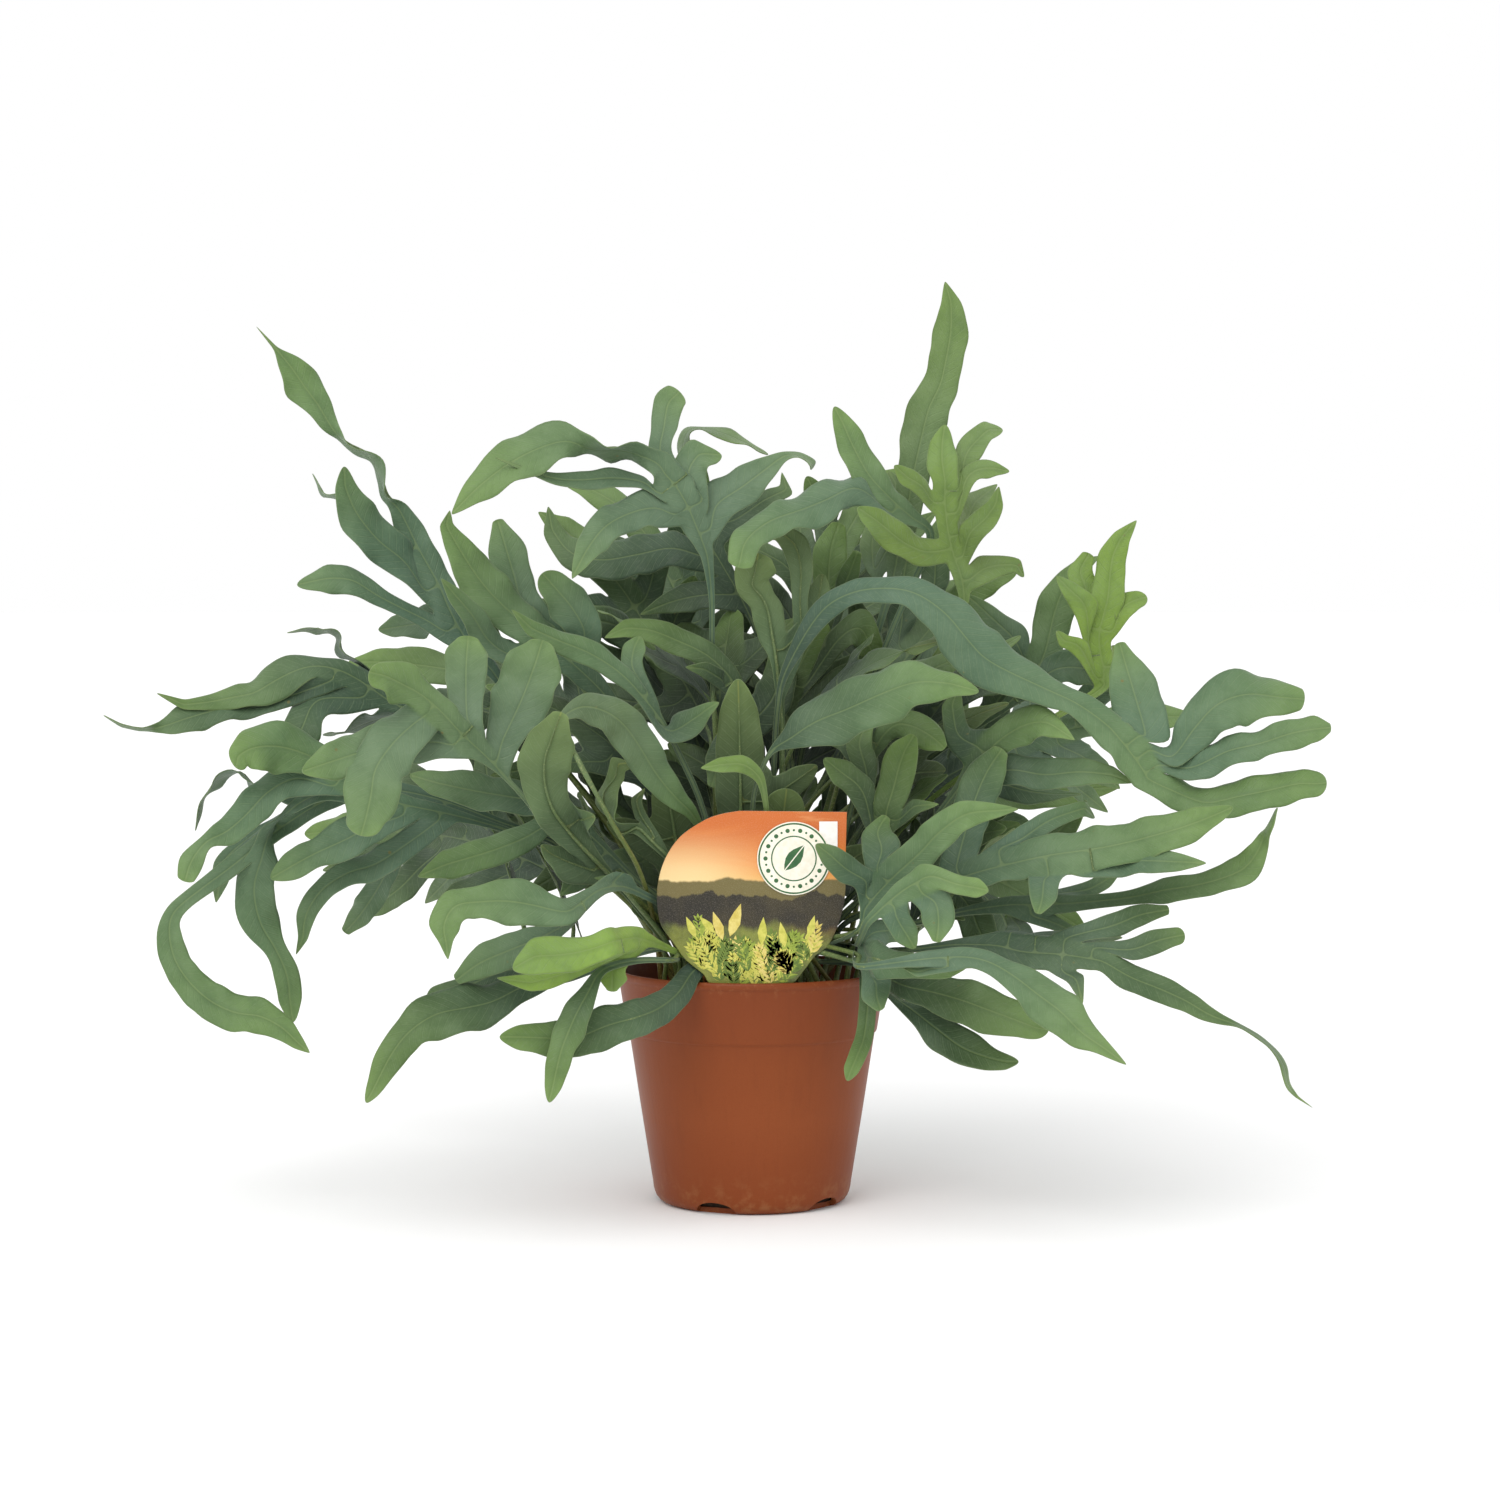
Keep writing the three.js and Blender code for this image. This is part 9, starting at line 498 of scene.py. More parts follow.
     [(1, 10, (176.7,-64.1,135.1), [(151.3,-75,129.2,-2.15,1.69,4.35), (163.7,-69.5,133.3,-1.13,1.68,4.32), (175.8,-64.1,134.9,-0.3,0.79,2.02)]),
      (1, 12, (181.6,-78.4,125.8), [(158.2,-81.8,119.8,-1.02,2.08,4.24), (169.3,-80.1,123.4,-1.17,2.26,4.61), (178.6,-78.8,125.4,-0.57,1.73,3.53)]),
      (-1, 10, (137.7,-91.1,98.2), [(135.3,-85.1,108.4,-3.54,-0.68,-1.36)]),
      (1, 8, (159.7,-41.3,120.6), [(139,-63.8,123,-0.66,2.51,3.47), (150.9,-51.5,122.5,0.2,2.03,2.8)]),
      (1, 6, (110.3,-34.5,130.7), [(114.2,-57.1,125.7,-5.96,0.11,0.22), (110.9,-34.6,129.9,-1.74,-0.69,-1.29)])]),
    ('frond_32', -0.1, 3, (150.4,-142.8,80),
     [(42.4,-21,88.6,0.04,1.24,0.54), (24.4,-33.2,115.2,0.01,1.26,0.36), (42.8,-74.3,117.5,-0.09,-0.14,1.16), (43.1,-97.1,114.5,-0.1,0.79,1.16), (59.4,-104.6,117,-0.17,1.3,1.93), (70.7,-107.8,118.8,-0.26,2.11,3.12), (80.2,-110.7,119.9,-0.08,2.49,3.69), (89.2,-114.2,120.2,0.74,2.58,3.83), (97.7,-118.5,118.4,1.38,2.7,4.04), (106.6,-120.5,113.3,3.42,2.85,4.41), (115.3,-124,106.8,5.22,3.88,6.03), (124.7,-128.4,100,6.46,4.19,6.55), (132.8,-133.1,92.1,4.47,2.92,4.55), (140.9,-137.4,86.6,2.03,1.57,2.42)],
     [(-1, 6, (61.6,-104.1,115.3), [(74.4,-109,115.2,-1.07,1.45,2.04), (68,-106.7,113.2,0.2,1.41,1.91)])]),
    ('frond_33', 0.45, 2, (123.5,-92.8,87.6),
     [(26.9,-34.3,88.6,-0.25,1.3,0.25), (26.1,-22.6,107.7,-0.2,1.29,0.15), (34.2,-24.3,108.5,-0.03,0.58,1.22), (49.7,-46.1,110.1,1.23,0.91,1.97), (56.8,-60.5,106,2.15,1.34,2.91), (64.3,-72.9,103.6,2.12,2.05,4.39), (73.9,-76.6,101.9,1.81,3.11,6.6), (85.1,-80.3,99.4,2.95,3.93,8.37), (97.8,-84.3,95.3,3.56,4.02,8.57), (109.7,-88.2,91.2,2.88,3.12,6.65), (118.2,-91.1,88.2,1.44,1.96,4.16)],
     [(-1, 4, (112,-80.8,72.5), [(68.8,-68.9,92.1,-3.1,-1.62,-2.75), (78.4,-72.7,84.9,-4.52,-3.18,-5.3), (88.4,-75.5,77.7,-3.99,-3.72,-6.1), (97.9,-77.7,74.2,-1.99,-3.23,-5.19), (106.6,-79.6,72.3,-0.62,-1.93,-3.07)])]),
    ('frond_34', -0.05, 2, (89.9,-90.2,114),
     [(34.3,-33.6,88.6,-0.27,1.32,0.14), (23.6,-43.5,115.6,-0.29,1.28,0.08), (45.8,-71.7,113.3,-0.27,0.95,1.15), (48.4,-75.9,115.8,-1.41,4.82,5.83), (51.2,-88.5,117.1,0.91,5.69,6.82), (60.5,-87.4,114.5,1.4,4.64,5.6), (71.2,-88.7,113,0.68,3.47,4.16), (81.7,-89.8,112.3,0,2.55,3.04)],
     [(-1, 3, (54,-85.5,94.9), [(52,-77.6,105.7,-6.27,-1.68,-2.32), (52.1,-81.1,100.2,-5.96,-1.36,-1.89), (53.6,-85.3,95.7,-1.88,-0.63,-0.86)]),
      (1, 3, (65.4,-55.3,121.9), [(51.2,-68.8,125.8,-4.94,3.3,4.79), (59.4,-61.5,126,0.92,3.48,4.69)])]),
    ('frond_35', 0.35, 2, (39.9,-79,64.2),
     [(20,-38,88.6,0.76,1.11,0.07), (21.6,-24.4,108,0.76,1.07,0.04), (22.2,-24.7,110.5,0.63,0.83,1.04), (33.6,-13.1,113.7,1.9,2.31,2.9), (40.5,-5.8,110.4,2.29,2.64,3.33), (47.5,-11.9,115.8,2.1,2.35,2.96), (50,-44.9,101.8,3.76,0.47,0.67), (48.1,-59.4,82,3.65,-0.67,-0.93), (44.8,-69.1,74.4,3.48,-0.96,-1.32), (41.7,-75.4,68.4,3.09,-0.84,-1.16)],
     [(1, 4, (57.5,-30.5,89.8), [(56.6,-15.8,112.4,1.91,2.1,2.64), (58.6,-25.8,105.2,2.54,0.29,0.41)])]),
    ('frond_36', -0.4, 5, (2.6,-31.2,286.2),
     [(4.6,-7.3,88.6,-1.35,-0.04,0.1), (6.5,-8.7,114,-1.31,-0.04,0.06), (8.2,-9.5,134,-1.26,-0.04,0.13), (10.7,-10.4,157.7,-1.17,-0.04,0.12), (12.8,-11.8,182.3,-1.09,-0.04,0.06), (13.1,-14,204.7,-1.31,-0.03,-0.06), (12.2,-16.3,222.5,-1.75,-0.07,-0.13), (11.5,-17.2,229.8,-1.93,-0.1,-0.18), (10.8,-18.2,236.9,-2.26,-0.14,-0.26), (9.8,-19.1,243.9,-3.56,-0.32,-0.59), (8.7,-20,250.3,-6,-0.56,-1.04), (6.9,-22.6,260.7,-6.72,-0.96,-1.76), (4.3,-24.7,266.8,-5.22,-1.7,-3.08), (0,-27.1,272.4,-7.1,-1.03,-1.91), (1.3,-29.2,278,-8.47,0.91,1.69), (2.1,-31.2,283.2,-6.8,0.61,1.14)],
     [(-1, 7, (7.9,-8.2,294.3), [(20.9,-15.4,248.4,3.37,-0.41,-0.87), (20.9,-13.4,265.9,3.49,-0.02,-0.05), (21.4,-11.6,279.8,5.22,0.25,0.55), (18.3,-10,290.8,5.18,1.55,3.31), (11.4,-8.8,295.6,1.12,1.63,3.34)]),
      (-1, 9, (30.9,-1.1,277.2), [(26.2,-10.9,258,3.08,-1.73,-2.39), (29.8,-4.9,269.3,5.11,-0.83,-1.22), (30.8,-1.1,276.4,1.74,-0.15,-0.22)])]),
    ('frond_37', 0.45, 4, (32.9,15.6,255.9),
     [(12,0,88.6,-1.35,-0.05,0.05), (13,-0.9,114,-1.31,-0.05,0.04), (14.5,-3,134.9,-1.23,-0.07,0.1), (16.5,-5.6,159.5,-1.11,-0.05,0.06), (16.7,-4,182.2,-1.32,-0.05,-0.11), (15,2,205.4,-1.9,-0.01,-0.03), (15.1,4,213.5,-3.06,0.06,0.14), (15.8,6,220.8,-4.27,0.28,0.66), (17.8,8,228.4,-5.03,0.74,1.73), (20.4,10,235.6,-5.89,0.82,1.93), (25.8,12.3,245.8,-5.75,1.42,3.31), (30.3,14.4,252.4,-4,1.2,2.78)],
     [(-1, 6, (60.9,22,238.9), [(31.1,9.3,225,2.49,-1,-3.63), (42.7,14.2,231.9,2.63,-1.41,-5.1), (55.4,19.6,237.1,1.3,-0.91,-3.3)]),
      (-1, 8, (55.3,17,239.9), [(38.2,12,248,3.38,-1.19,-4.08), (48,14,253.3,-2.34,-2.65,-9.02), (52.6,15.9,244.4,-5.13,-0.78,-2.71)])]),
    ('frond_38', 0.3, 4, (39.3,35.6,300.5),
     [(9.3,27.6,88.6,-1.33,0.17,0.14), (12,24.2,114.2,-1.3,0.16,0.1), (14.6,24.4,138.5,-1.22,0.16,0.12), (17.6,27.9,167,-1.1,0.14,0.15), (21.6,26.4,193.9,-1.32,0.17,0.26), (27,27.4,220.8,-1.32,0.17,0.26), (31.2,28.5,241.6,-1.65,0.18,0.29), (32.6,29,251.6,-3,0.19,0.31), (33.4,29.5,260.7,-4.77,0.27,0.43), (34.2,30,270.2,-6.27,0.3,0.48), (34.6,31.7,280.9,-7.61,0.41,0.66), (36,33.7,290.8,-7,0.99,1.59), (38.8,35.6,299,-3.4,0.72,1.15)],
     [(-1, 7, (46.4,-4,287.4), [(40.5,13.9,270.2,3.65,-0.88,-1.58), (43.3,5.5,278.1,4.11,-0.86,-1.57), (46.1,-4,286.4,2.05,-0.42,-0.76)]),
      (1, 8, (-9.9,41.5,289.1), [(17.1,33.9,279.1,-3.8,-2.46,-3.87), (8.1,36.5,285.5,-2.79,-3.05,-4.67), (-1.8,39.3,290.4,-0.88,-3,-4.46)])]),
    ('frond_39', 0.1, 3, (82.8,-41.3,202.3),
     [(17.3,-11.8,88.6,-1.31,0.17,0.25), (21.3,-8.9,113.6,-1.29,0.17,0.17), (29.2,-14.8,134.6,-1.06,0.1,0.51), (38.4,-21.1,157,-1.27,0.16,0.29), (44,-21.9,178.9,-1.24,0.21,0.38), (47.8,-21.4,188.7,-1.49,0.34,0.6), (49.9,-21.4,193.5,-1.73,0.43,0.76), (52.1,-21.7,198.2,-2.13,0.6,1.05), (54.6,-22.3,202.9,-2.83,0.96,1.67), (57.1,-23.8,207.3,-3.71,1.2,2.11), (62.8,-27.4,212.2,-1.23,3.27,5.32), (70.3,-31.7,211.1,2.36,3.62,5.93), (77.7,-37,207,3.56,2.88,4.83), (82.1,-41.2,202.9,1.49,0.91,1.54)],
     [(1, 8, (92.9,-5,241), [(64.7,-16.7,226.7,-6.09,3.23,4.66), (80.2,-10.5,236.1,-2.69,3.91,5.31), (91.4,-5,240.4,-1.17,2.39,3.21)]),
      (1, 6, (28,-7,204.4), [(41.7,-15,203.9,-3.45,-2.4,-3.87), (33.7,-10.5,206.7,-0.31,-2.49,-3.82)])]),
    ('frond_40', 0.1, 3, (137.2,-55.9,206.6),
     [(24.7,-13.7,88.6,-1.05,0.77,0.36), (29.3,-1.1,112.8,-1.04,0.76,0.24), (37.1,-11.4,129.5,-0.7,0.53,0.78), (50.7,-24.7,144.3,-0.75,0.55,1), (68.1,-30.9,157.8,-0.89,0.48,0.89), (85.5,-32.9,179.6,-1.35,0.53,1.01), (89.7,-32.3,185.4,-1.88,0.67,1.27), (94.7,-32.2,192.6,-2.72,1.07,2.03), (100.6,-32.8,199.4,-3.29,1.82,3.4), (106.9,-34.5,205.6,-4.35,2.4,4.5), (115.9,-40.5,211.9,-2.73,4.07,7.39), (125.3,-46.8,213.9,1.32,3.43,6.18), (132.9,-52.4,209.5,1.41,1.16,2.14)],
     [(1, 8, (90,-14,226.6), [(89.3,-26.8,207.5,-5.13,-1.82,-3.29), (87.1,-19.2,220.2,-4.79,0,0)]),
      (-1, 7, (162.6,-50.2,188), [(112.1,-34.7,192.7,-0.65,-2.69,-6.72), (126,-39.5,190.8,-0.41,-2.69,-6.72), (140.6,-44.4,192.4,-0.2,-2.35,-5.88), (153.9,-48,191.3,-0.92,-1.47,-3.69)])]),
    ('frond_41', 0, 2, (-52.4,-55.6,196.8),
     [(-5.9,-40.2,88.6,-1.25,-0.46,-0.19), (-9.5,-40.6,114,-1.23,-0.46,-0.12), (-22.4,-42,137.1,-1.07,-0.41,-0.67), (-30.9,-45,150.3,-0.99,-0.49,-0.78), (-37,-46.6,156.8,-1,-0.64,-1.02), (-43.3,-48.3,162.9,-1.23,-0.83,-1.3), (-49.6,-50,168.7,-1.66,-1.17,-1.84), (-56.4,-50.6,167,-1.45,9.63,-3.03), (-61.5,-51.6,174.4,-3.19,10.55,-1.91), (-63.1,-52.8,183,-2.97,10.67,-0.19), (-58.4,-54,190.3,-3.53,0.91,1.53), (-57.1,-54.9,196.4,-3.17,1.74,2.81)],
     [(-1, 5, (-46.2,-36.3,185), [(-48.1,-43.5,173.8,2.4,0.54,0.84), (-49.9,-40,180.1,2.55,-0.29,-0.45)])]),
    ('frond_42', -0.7, 3, (-22,-62.1,195),
     [(3.3,-41.4,88.6,-1.35,-0.05,0.05), (4.3,-42.4,114,-1.31,-0.04,0.03), (6.4,-43.2,135.8,-1.17,-0.05,0.13), (7.5,-45.5,158.9,-1.07,-0.03,-0.06), (6.4,-49,174.2,-1.06,-0.06,-0.09), (4.4,-53.5,187.3,-1.62,-0.32,-0.52), (1,-55.7,193,-2.4,-1.09,-1.71), (-4.9,-57.4,196.5,-0.77,-2.49,-3.62), (-13.3,-59.6,196.2,0.35,-2.26,-3.27)],
     []),
    ('frond_43', 0.31, 4, (-100.2,93.5,306.6),
     [(-2.8,18.4,88.6,-1.32,-0.16,-0.22), (-8.6,23.8,113.9,-1.3,-0.16,-0.14), (-11.6,24.7,140.7,-1.21,-0.16,-0.18), (-16.9,28.7,171.8,-1.09,-0.13,-0.2), (-24,37.2,199,-1.37,-0.21,-0.44), (-27.2,42,208.3,-4.41,-0.68,-1.47), (-30.7,47,217.6,-5.48,-0.99,-2.12), (-34.7,52.1,226.8,-5.6,-1.13,-2.43), (-39.1,57.5,235.9,-5.77,-1.3,-2.78), (-43.8,62.8,244.8,-5.73,-1.43,-3.06), (-48.9,67.7,253.7,-5.1,-1.4,-3), (-54.4,72,262.3,-4.76,-1.46,-3.12), (-60.3,76.1,270.9,-5.55,-1.73,-3.71), (-68.7,79,281.1,-6.03,-2.59,-5.52), (-78.3,83.2,290.6,-5.44,-2.89,-6.14), (-88.8,88.2,299.1,-3.45,-2.28,-4.82)],
     [(1, 5, (-78.9,56.9,226), [(-45.5,46.5,217.3,-2.49,-2.52,-6.44), (-56.8,49.7,219.6,-1.72,-2.92,-7.45), (-67.9,53.2,222.4,-1.65,-2.19,-5.6)]),
      (1, 7, (-79.5,1.2,248.3), [(-51.3,37.5,236.4,-2.36,-3.59,-5.24), (-61,26.2,240,-1.2,5.61,-2.85), (-70.4,14,244,-1.67,-3.06,-4.46)]),
      (1, 9, (-81.3,20.4,259.4), [(-60.3,47.3,253.2,-2.73,-3.29,-7), (-70.8,34.2,256.6,-1.7,-3.25,-6.89)]),
      (1, 11, (-108.3,40.8,261.2), [(-72.2,63.8,263.1,0.13,-3.79,-5.54), (-84.4,56.6,262.6,-0.15,5.21,-2.79), (-96.4,49,262,0.46,-3.16,-4.61)]),
      (-1, 5, (-3.4,58,237.3), [(-17.4,47.7,221.5,5.58,-1.42,-4.43), (-10.2,52.6,229.2,5.14,-1.42,-4.43)]),
      (-1, 7, (-4.2,77.6,266.6), [(-24.5,59.1,239.1,5.33,-1.66,-4.35), (-17.3,65.2,247.9,6.04,-1.78,-4.66), (-10.5,71.4,257,4.8,-1.26,-3.33)]),
      (-1, 9, (-25.8,50.7,276.9), [(-35.1,60,257,6.26,-1.36,-3.87), (-30,56.2,266.8,6.34,-1.01,-2.9)]),
      (-1, 11, (-44.7,73.6,293.6), [(-46.6,73.2,273.3,6.17,-1.36,-2.89), (-44.5,73.5,283.3,6.42,-0.29,-0.62)])]),
    ('frond_44', 0.48, 3, (-173.2,152.2,123.5),
     [(-3.7,6.8,88.6,-1.15,-0.69,-0.1), (-9.4,12.7,114,-1.07,-0.77,-0.04), (-17.5,20.5,130.7,-1.01,-0.37,-0.47), (-29.8,33.5,142.9,-1.01,-1.1,-1.46), (-38.6,43.5,147.8,-1.89,-2.33,-3.07), (-48,52.9,151.9,-2.15,-3.58,-4.67), (-58.1,62.8,155,-1.94,-4.43,-5.72), (-68.7,74.2,157.2,-1.27,-4.36,-5.59), (-79.9,88,158.2,-0.7,-4.58,-5.84), (-91.4,102.4,158.2,-0.09,-4.91,-6.25), (-103,114.7,157.4,0.54,-4.76,-6.06), (-114.5,125.2,155.6,1.23,-4.43,-5.67), (-126.1,134.9,153,1.21,-4.14,-5.29), (-139.1,137.8,148.6,3.7,-5.68,-7.42), (-151.6,141.9,142.1,4.91,-5.13,-6.85), (-163,146.8,133.7,4.31,-3.21,-4.39)],
     [(1, 5, (-80.6,33.6,136.6), [(-60.3,45.4,145.2,3.55,-6.24,-5.95), (-70.3,35.8,141.4,3.14,-6.11,-5.76)]),
      (1, 7, (-99.4,19.3,135.5), [(-79,45,147.6,4.45,-4.1,-4.62), (-88.7,27.8,141.5,3.61,-4.37,-4.76)]),
      (1, 9, (-124.8,83.6,130), [(-102.9,96.5,144.7,4.54,-3.91,-3.98), (-113.3,90.1,136.4,3.57,-4.53,-4.35)]),
      (1, 11, (-146.2,150.1,117), [(-124.6,132,138.5,5.87,-3.23,-3.58), (-134.4,140.4,126.9,4.89,-4.07,-4.29)]),
      (-1, 4, (-40.5,-4.7,199.3), [(-39.9,31.4,165.3,6.74,0.22,0.37), (-39.6,20.7,176.7,7.41,0.11,0.19), (-39.9,8.5,188.1,5.58,0.23,0.4)]),
      (-1, 6, (-80.2,42.4,207.8), [(-65,57.9,173.1,6.27,1.17,2.29), (-68.9,53.7,185.2,6.83,1.38,2.7), (-74,48.6,196.9,2.46,-4.79,1.44)]),
      (-1, 8, (-109.1,120.9,195.6), [(-95.1,102.8,172.7,5.4,2.59,4.15), (-102.4,113.1,183.8,5.77,1.89,3.1)]),
      (-1, 10, (-136.7,83.6,205.9), [(-117.4,113.2,172.4,4.41,3.36,3.68), (-124.1,109.9,183.5,5.32,3.1,3.51), (-130.6,100.1,194.7,3.93,2.46,2.78)])]),
    ('frond_45', 0.33, 3, (182.9,183.3,172.3),
     [(-18.3,11.2,88.6,-1.25,0.31,0.41), (-8.7,17.2,113.9,-1.24,0.35,0.27), (7.4,32,129.5,-0.71,0.39,0.85), (26.7,44.4,140.5,-1.53,0.72,1.62), (34.3,55.9,146.1,-3.16,1.62,3.62), (42.5,69.1,151.1,-3.41,2.13,4.75), (51.3,83.4,155.4,-3.01,2.24,4.98), (60.5,97.7,159.2,-2.89,2.6,5.75), (70.3,111.9,162.4,-2.56,2.85,6.3), (80.5,126.2,164.9,-1.88,2.69,5.93), (91.1,140.6,166.8,-1.38,2.72,5.98), (102.1,155,168,-0.99,3.02,6.64), (113.4,169.4,168.3,-0.32,3.01,6.61), (124.9,183.8,168.2,-0.3,2.79,6.14), (139.4,183.7,169.3,-0.34,3.46,7.62), (153.9,183.6,170.4,-0.27,3.46,7.62), (168.4,183.5,171.4,-0.15,2.49,5.49)],
     [(1, 5, (36.8,38.8,196.1), [(38.3,59.2,168.7,-5.97,-0.29,-0.91), (36.8,49.2,182.5,-5.69,-0.02,-0.07)]),
      (1, 7, (61.2,53.6,211.5), [(63.2,86.1,176.7,-5.57,0.29,0.64), (63,76.2,188.4,-6.16,0,0), (62.3,64.4,200.1,-4.65,-0.07,-0.16)]),
      (1, 10, (105.9,163.6,222.9), [(90.7,145.6,183.9,-7.05,0.39,0.69), (94.7,151,197.2,-7.45,1.3,2.32), (99.8,157.1,210.2,-5.53,1.23,2.19)]),
      (1, 12, (135.1,151.9,207.6), [(118.5,163.9,186.1,-5.29,1.07,2.39), (125.6,158.3,197.9,-4.15,1.6,3.52)]),
      (-1, 4, (93.8,68.9,146.4), [(54.3,58.3,145.3,-0.24,-1.44,-5.22), (67.5,61.5,144.4,-0.05,-1.6,-5.79), (80.6,65.1,144.8,0.4,3.77,-2.33)]),
      (-1, 7, (108.6,84.3,145.2), [(72.5,94.7,149.1,-3.55,-2.1,-5.71), (84.2,91.5,145.4,-1.79,-2.65,-7.13), (96.4,88,144.1,0.21,4.68,-2.95)]),
      (-1, 9, (126.5,102,158.2), [(98.4,118.6,158,-2.05,-2.85,-6.34), (112.5,110.7,156.4,-0.39,-2.82,-6.23)]),
      (-1, 11, (149.5,152.1,142.8), [(118.4,154.2,158.3,-3.93,-3.32,-5.87), (128.2,153.6,152.1,-4.14,-3.76,-6.61), (138.6,152.9,146.9,-2.64,-3.03,-5.28)])]),
    ('frond_46', 0.59, 4, (124.3,172.4,276.1),
     [(-27.2,36.9,88.6,-1.26,0.18,0.44), (-17.7,37.3,114.2,-1.27,0.16,0.3), (-8.3,41.6,135.8,-1.08,0.14,0.59), (5.5,40.7,160.6,-0.98,0.18,0.51), (14.9,49.1,180.7,-1.99,0.25,0.47), (17.3,58.4,189.5,-3.98,0.57,1.08), (20.5,67.8,198.2,-5.37,1.09,2.05), (24.5,77.1,206.7,-6.17,1.57,2.95), (29.3,86.3,214.9,-5.91,1.84,3.44), (34.8,95.4,222.9,-5.37,2.01,3.74), (41,104.6,230.5,-5.13,2.29,4.24), (47.9,114.2,237.6,-4.69,2.49,4.59), (55.5,124.1,244.3,-4.06,2.56,4.69), (63.8,134.2,250.3,-3.53,2.79,5.08), (72.6,143.8,256,-3.63,2.86,5.22), (84.5,149.3,262.8,-3.1,3.45,6.23), (97.2,156.1,268.4,-2.46,3.64,6.56), (110.4,163.7,272.9,-1.28,2.74,4.91)],
     [(1, 6, (-2.4,97.1,234), [(8.4,76.8,210.3,-5.61,-2.81,-4.29), (1.7,86.4,221.5,-6.21,-1.71,-2.7)]),
      (1, 8, (3.9,137.7,272.5), [(19.4,98.1,231.9,-5.8,-1.72,-3.24), (12.4,110,244.5,-6.72,-1.63,-3.1), (7.2,123.3,258.1,-5.44,-0.86,-1.66)]),
      (1, 11, (30.3,142.8,275.1), [(36.7,122.9,249.9,-5.74,-1.8,-3.62), (32.5,132.3,262.2,-6.26,-0.81,-1.66)]),
      (1, 13, (49.2,156.2,299.7), [(58.1,138.6,265.4,-5.73,-1.04,-1.97), (54.9,143.6,276.7,-6.46,-0.97,-1.85), (51.9,149.6,288.1,-4.96,-0.68,-1.31)]),
      (-1, 5, (70.8,82.7,215.2), [(35.9,65.2,195.9,2.18,-4.59,-5.92), (48.5,71.2,200.4,2.99,-4.84,-6.34), (60.3,77,206.9,3.06,-3.29,-4.42)]),
      (-1, 8, (84.2,121.1,239.7), [(46.2,92.7,217.6,1.55,-3.49,-5.36), (59.4,99.9,223.4,2.91,-3.49,-5.47), (72.1,109.3,230.8,1.1,-3.95,-1.67)]),
      (-1, 10, (95.4,151.4,241.7), [(58.4,116.2,231.7,0.71,-4.31,-6.26), (70.9,128.3,233.8,1.58,-4.66,-6.81), (83.4,140.7,237.1,1.72,-3.44,-5.07)]),
      (-1, 12, (113.2,128,247.7), [(75.4,127.2,243.7,-0.3,-3.67,-5.62), (88.3,129.2,243.4,0.06,-4.06,-6.21), (101,128.6,244.7,0.64,-3.04,-4.67)])]),
    ('frond_47', 0.12, 4, (216.4,153.1,208.4),
     [(19.1,7.4,88.6,-1.21,0.48,0.37), (27.8,7.4,114.5,-1.18,0.53,0.24), (37.3,9.2,134.3,-1.05,0.46,0.46), (50.4,17.3,155.4,-0.92,0.34,0.54), (63.8,30,169.7,-0.78,0.57,1.06), (66.9,33.5,171.7,-1.47,1.05,1.97), (75.2,42.6,176.9,-3.11,2.37,4.44), (83.9,51.4,181.8,-3.33,2.95,5.5), (93,60.1,186.3,-2.87,2.89,5.38), (102.4,68.9,190.5,-2.56,2.96,5.49), (112.2,77.6,194.2,-2.21,2.98,5.52), (122.3,86.2,197.5,-1.82,2.91,5.38), (132.6,94.9,200.4,-1.49,2.9,5.35), (143.2,103.7,202.8,-1.2,2.96,5.47), (154,112.4,204.7,-0.8,2.92,5.38), (165.1,121.1,206.2,-0.75,2.76,5.1), (177.4,127.1,207.7,-0.52,3.96,7.32), (190.2,135,208.5,-0.13,4,7.39), (203.2,143.7,208.8,0.19,2.9,5.36)],
     [(1, 7, (101.1,90.7,233.9), [(84.6,60.2,198.3,-6.12,0.4,0.63), (88,69.4,210.8,-6.48,1.28,2), (93.5,79.7,222.8,-4.62,1.49,2.31)]),
      (1, 9, (118.7,28.4,229.8), [(107.3,54.9,208.7,-6.52,1.54,2.68), (111.7,42.8,220.2,-5.4,2.2,3.77)]),
      (1, 12, (137.2,145.1,239.5), [(131.7,110.3,215.4,-8.02,-0.12,-0.19), (134.4,126.7,227.3,-2.93,6.14,0.19)]),
      (1, 14, (174.7,63.6,238.5), [(160.4,97.1,220,-5.79,1.88,3.89), (167,81.3,230.2,-4.47,2.33,4.76)]),
      (-1, 6, (114.2,17.5,169.9), [(92,33.8,172,-2.11,-3.3,-6.49), (103,26.1,169.7,-1.1,-3.23,-6.32)]),
      (-1, 9, (153.2,73.4,175.5), [(115,69.8,180.9,-3.01,-2.05,-5.28), (127.4,70.9,177.1,-1.64,-2.54,-6.46), (140.2,72.1,175.3,-0.51,-4.29,-2.05)]),
      (-1, 11, (170.4,121.8,163.6), [(137.4,94.6,187.8,-3.22,-1.68,-4.61), (148.5,102.8,180.3,-2.09,-5.07,-2), (159.5,112,172.2,-3.04,-1.34,-3.71)]),
      (-1, 13, (176.3,123.7,174.8), [(157.5,110.8,190.7,-4.09,-2.28,-4.2), (166.4,116.9,182.4,-3.85,-2.2,-4.05)])]),
    ('frond_48', 0.37, 5, (-96.7,173.5,325),
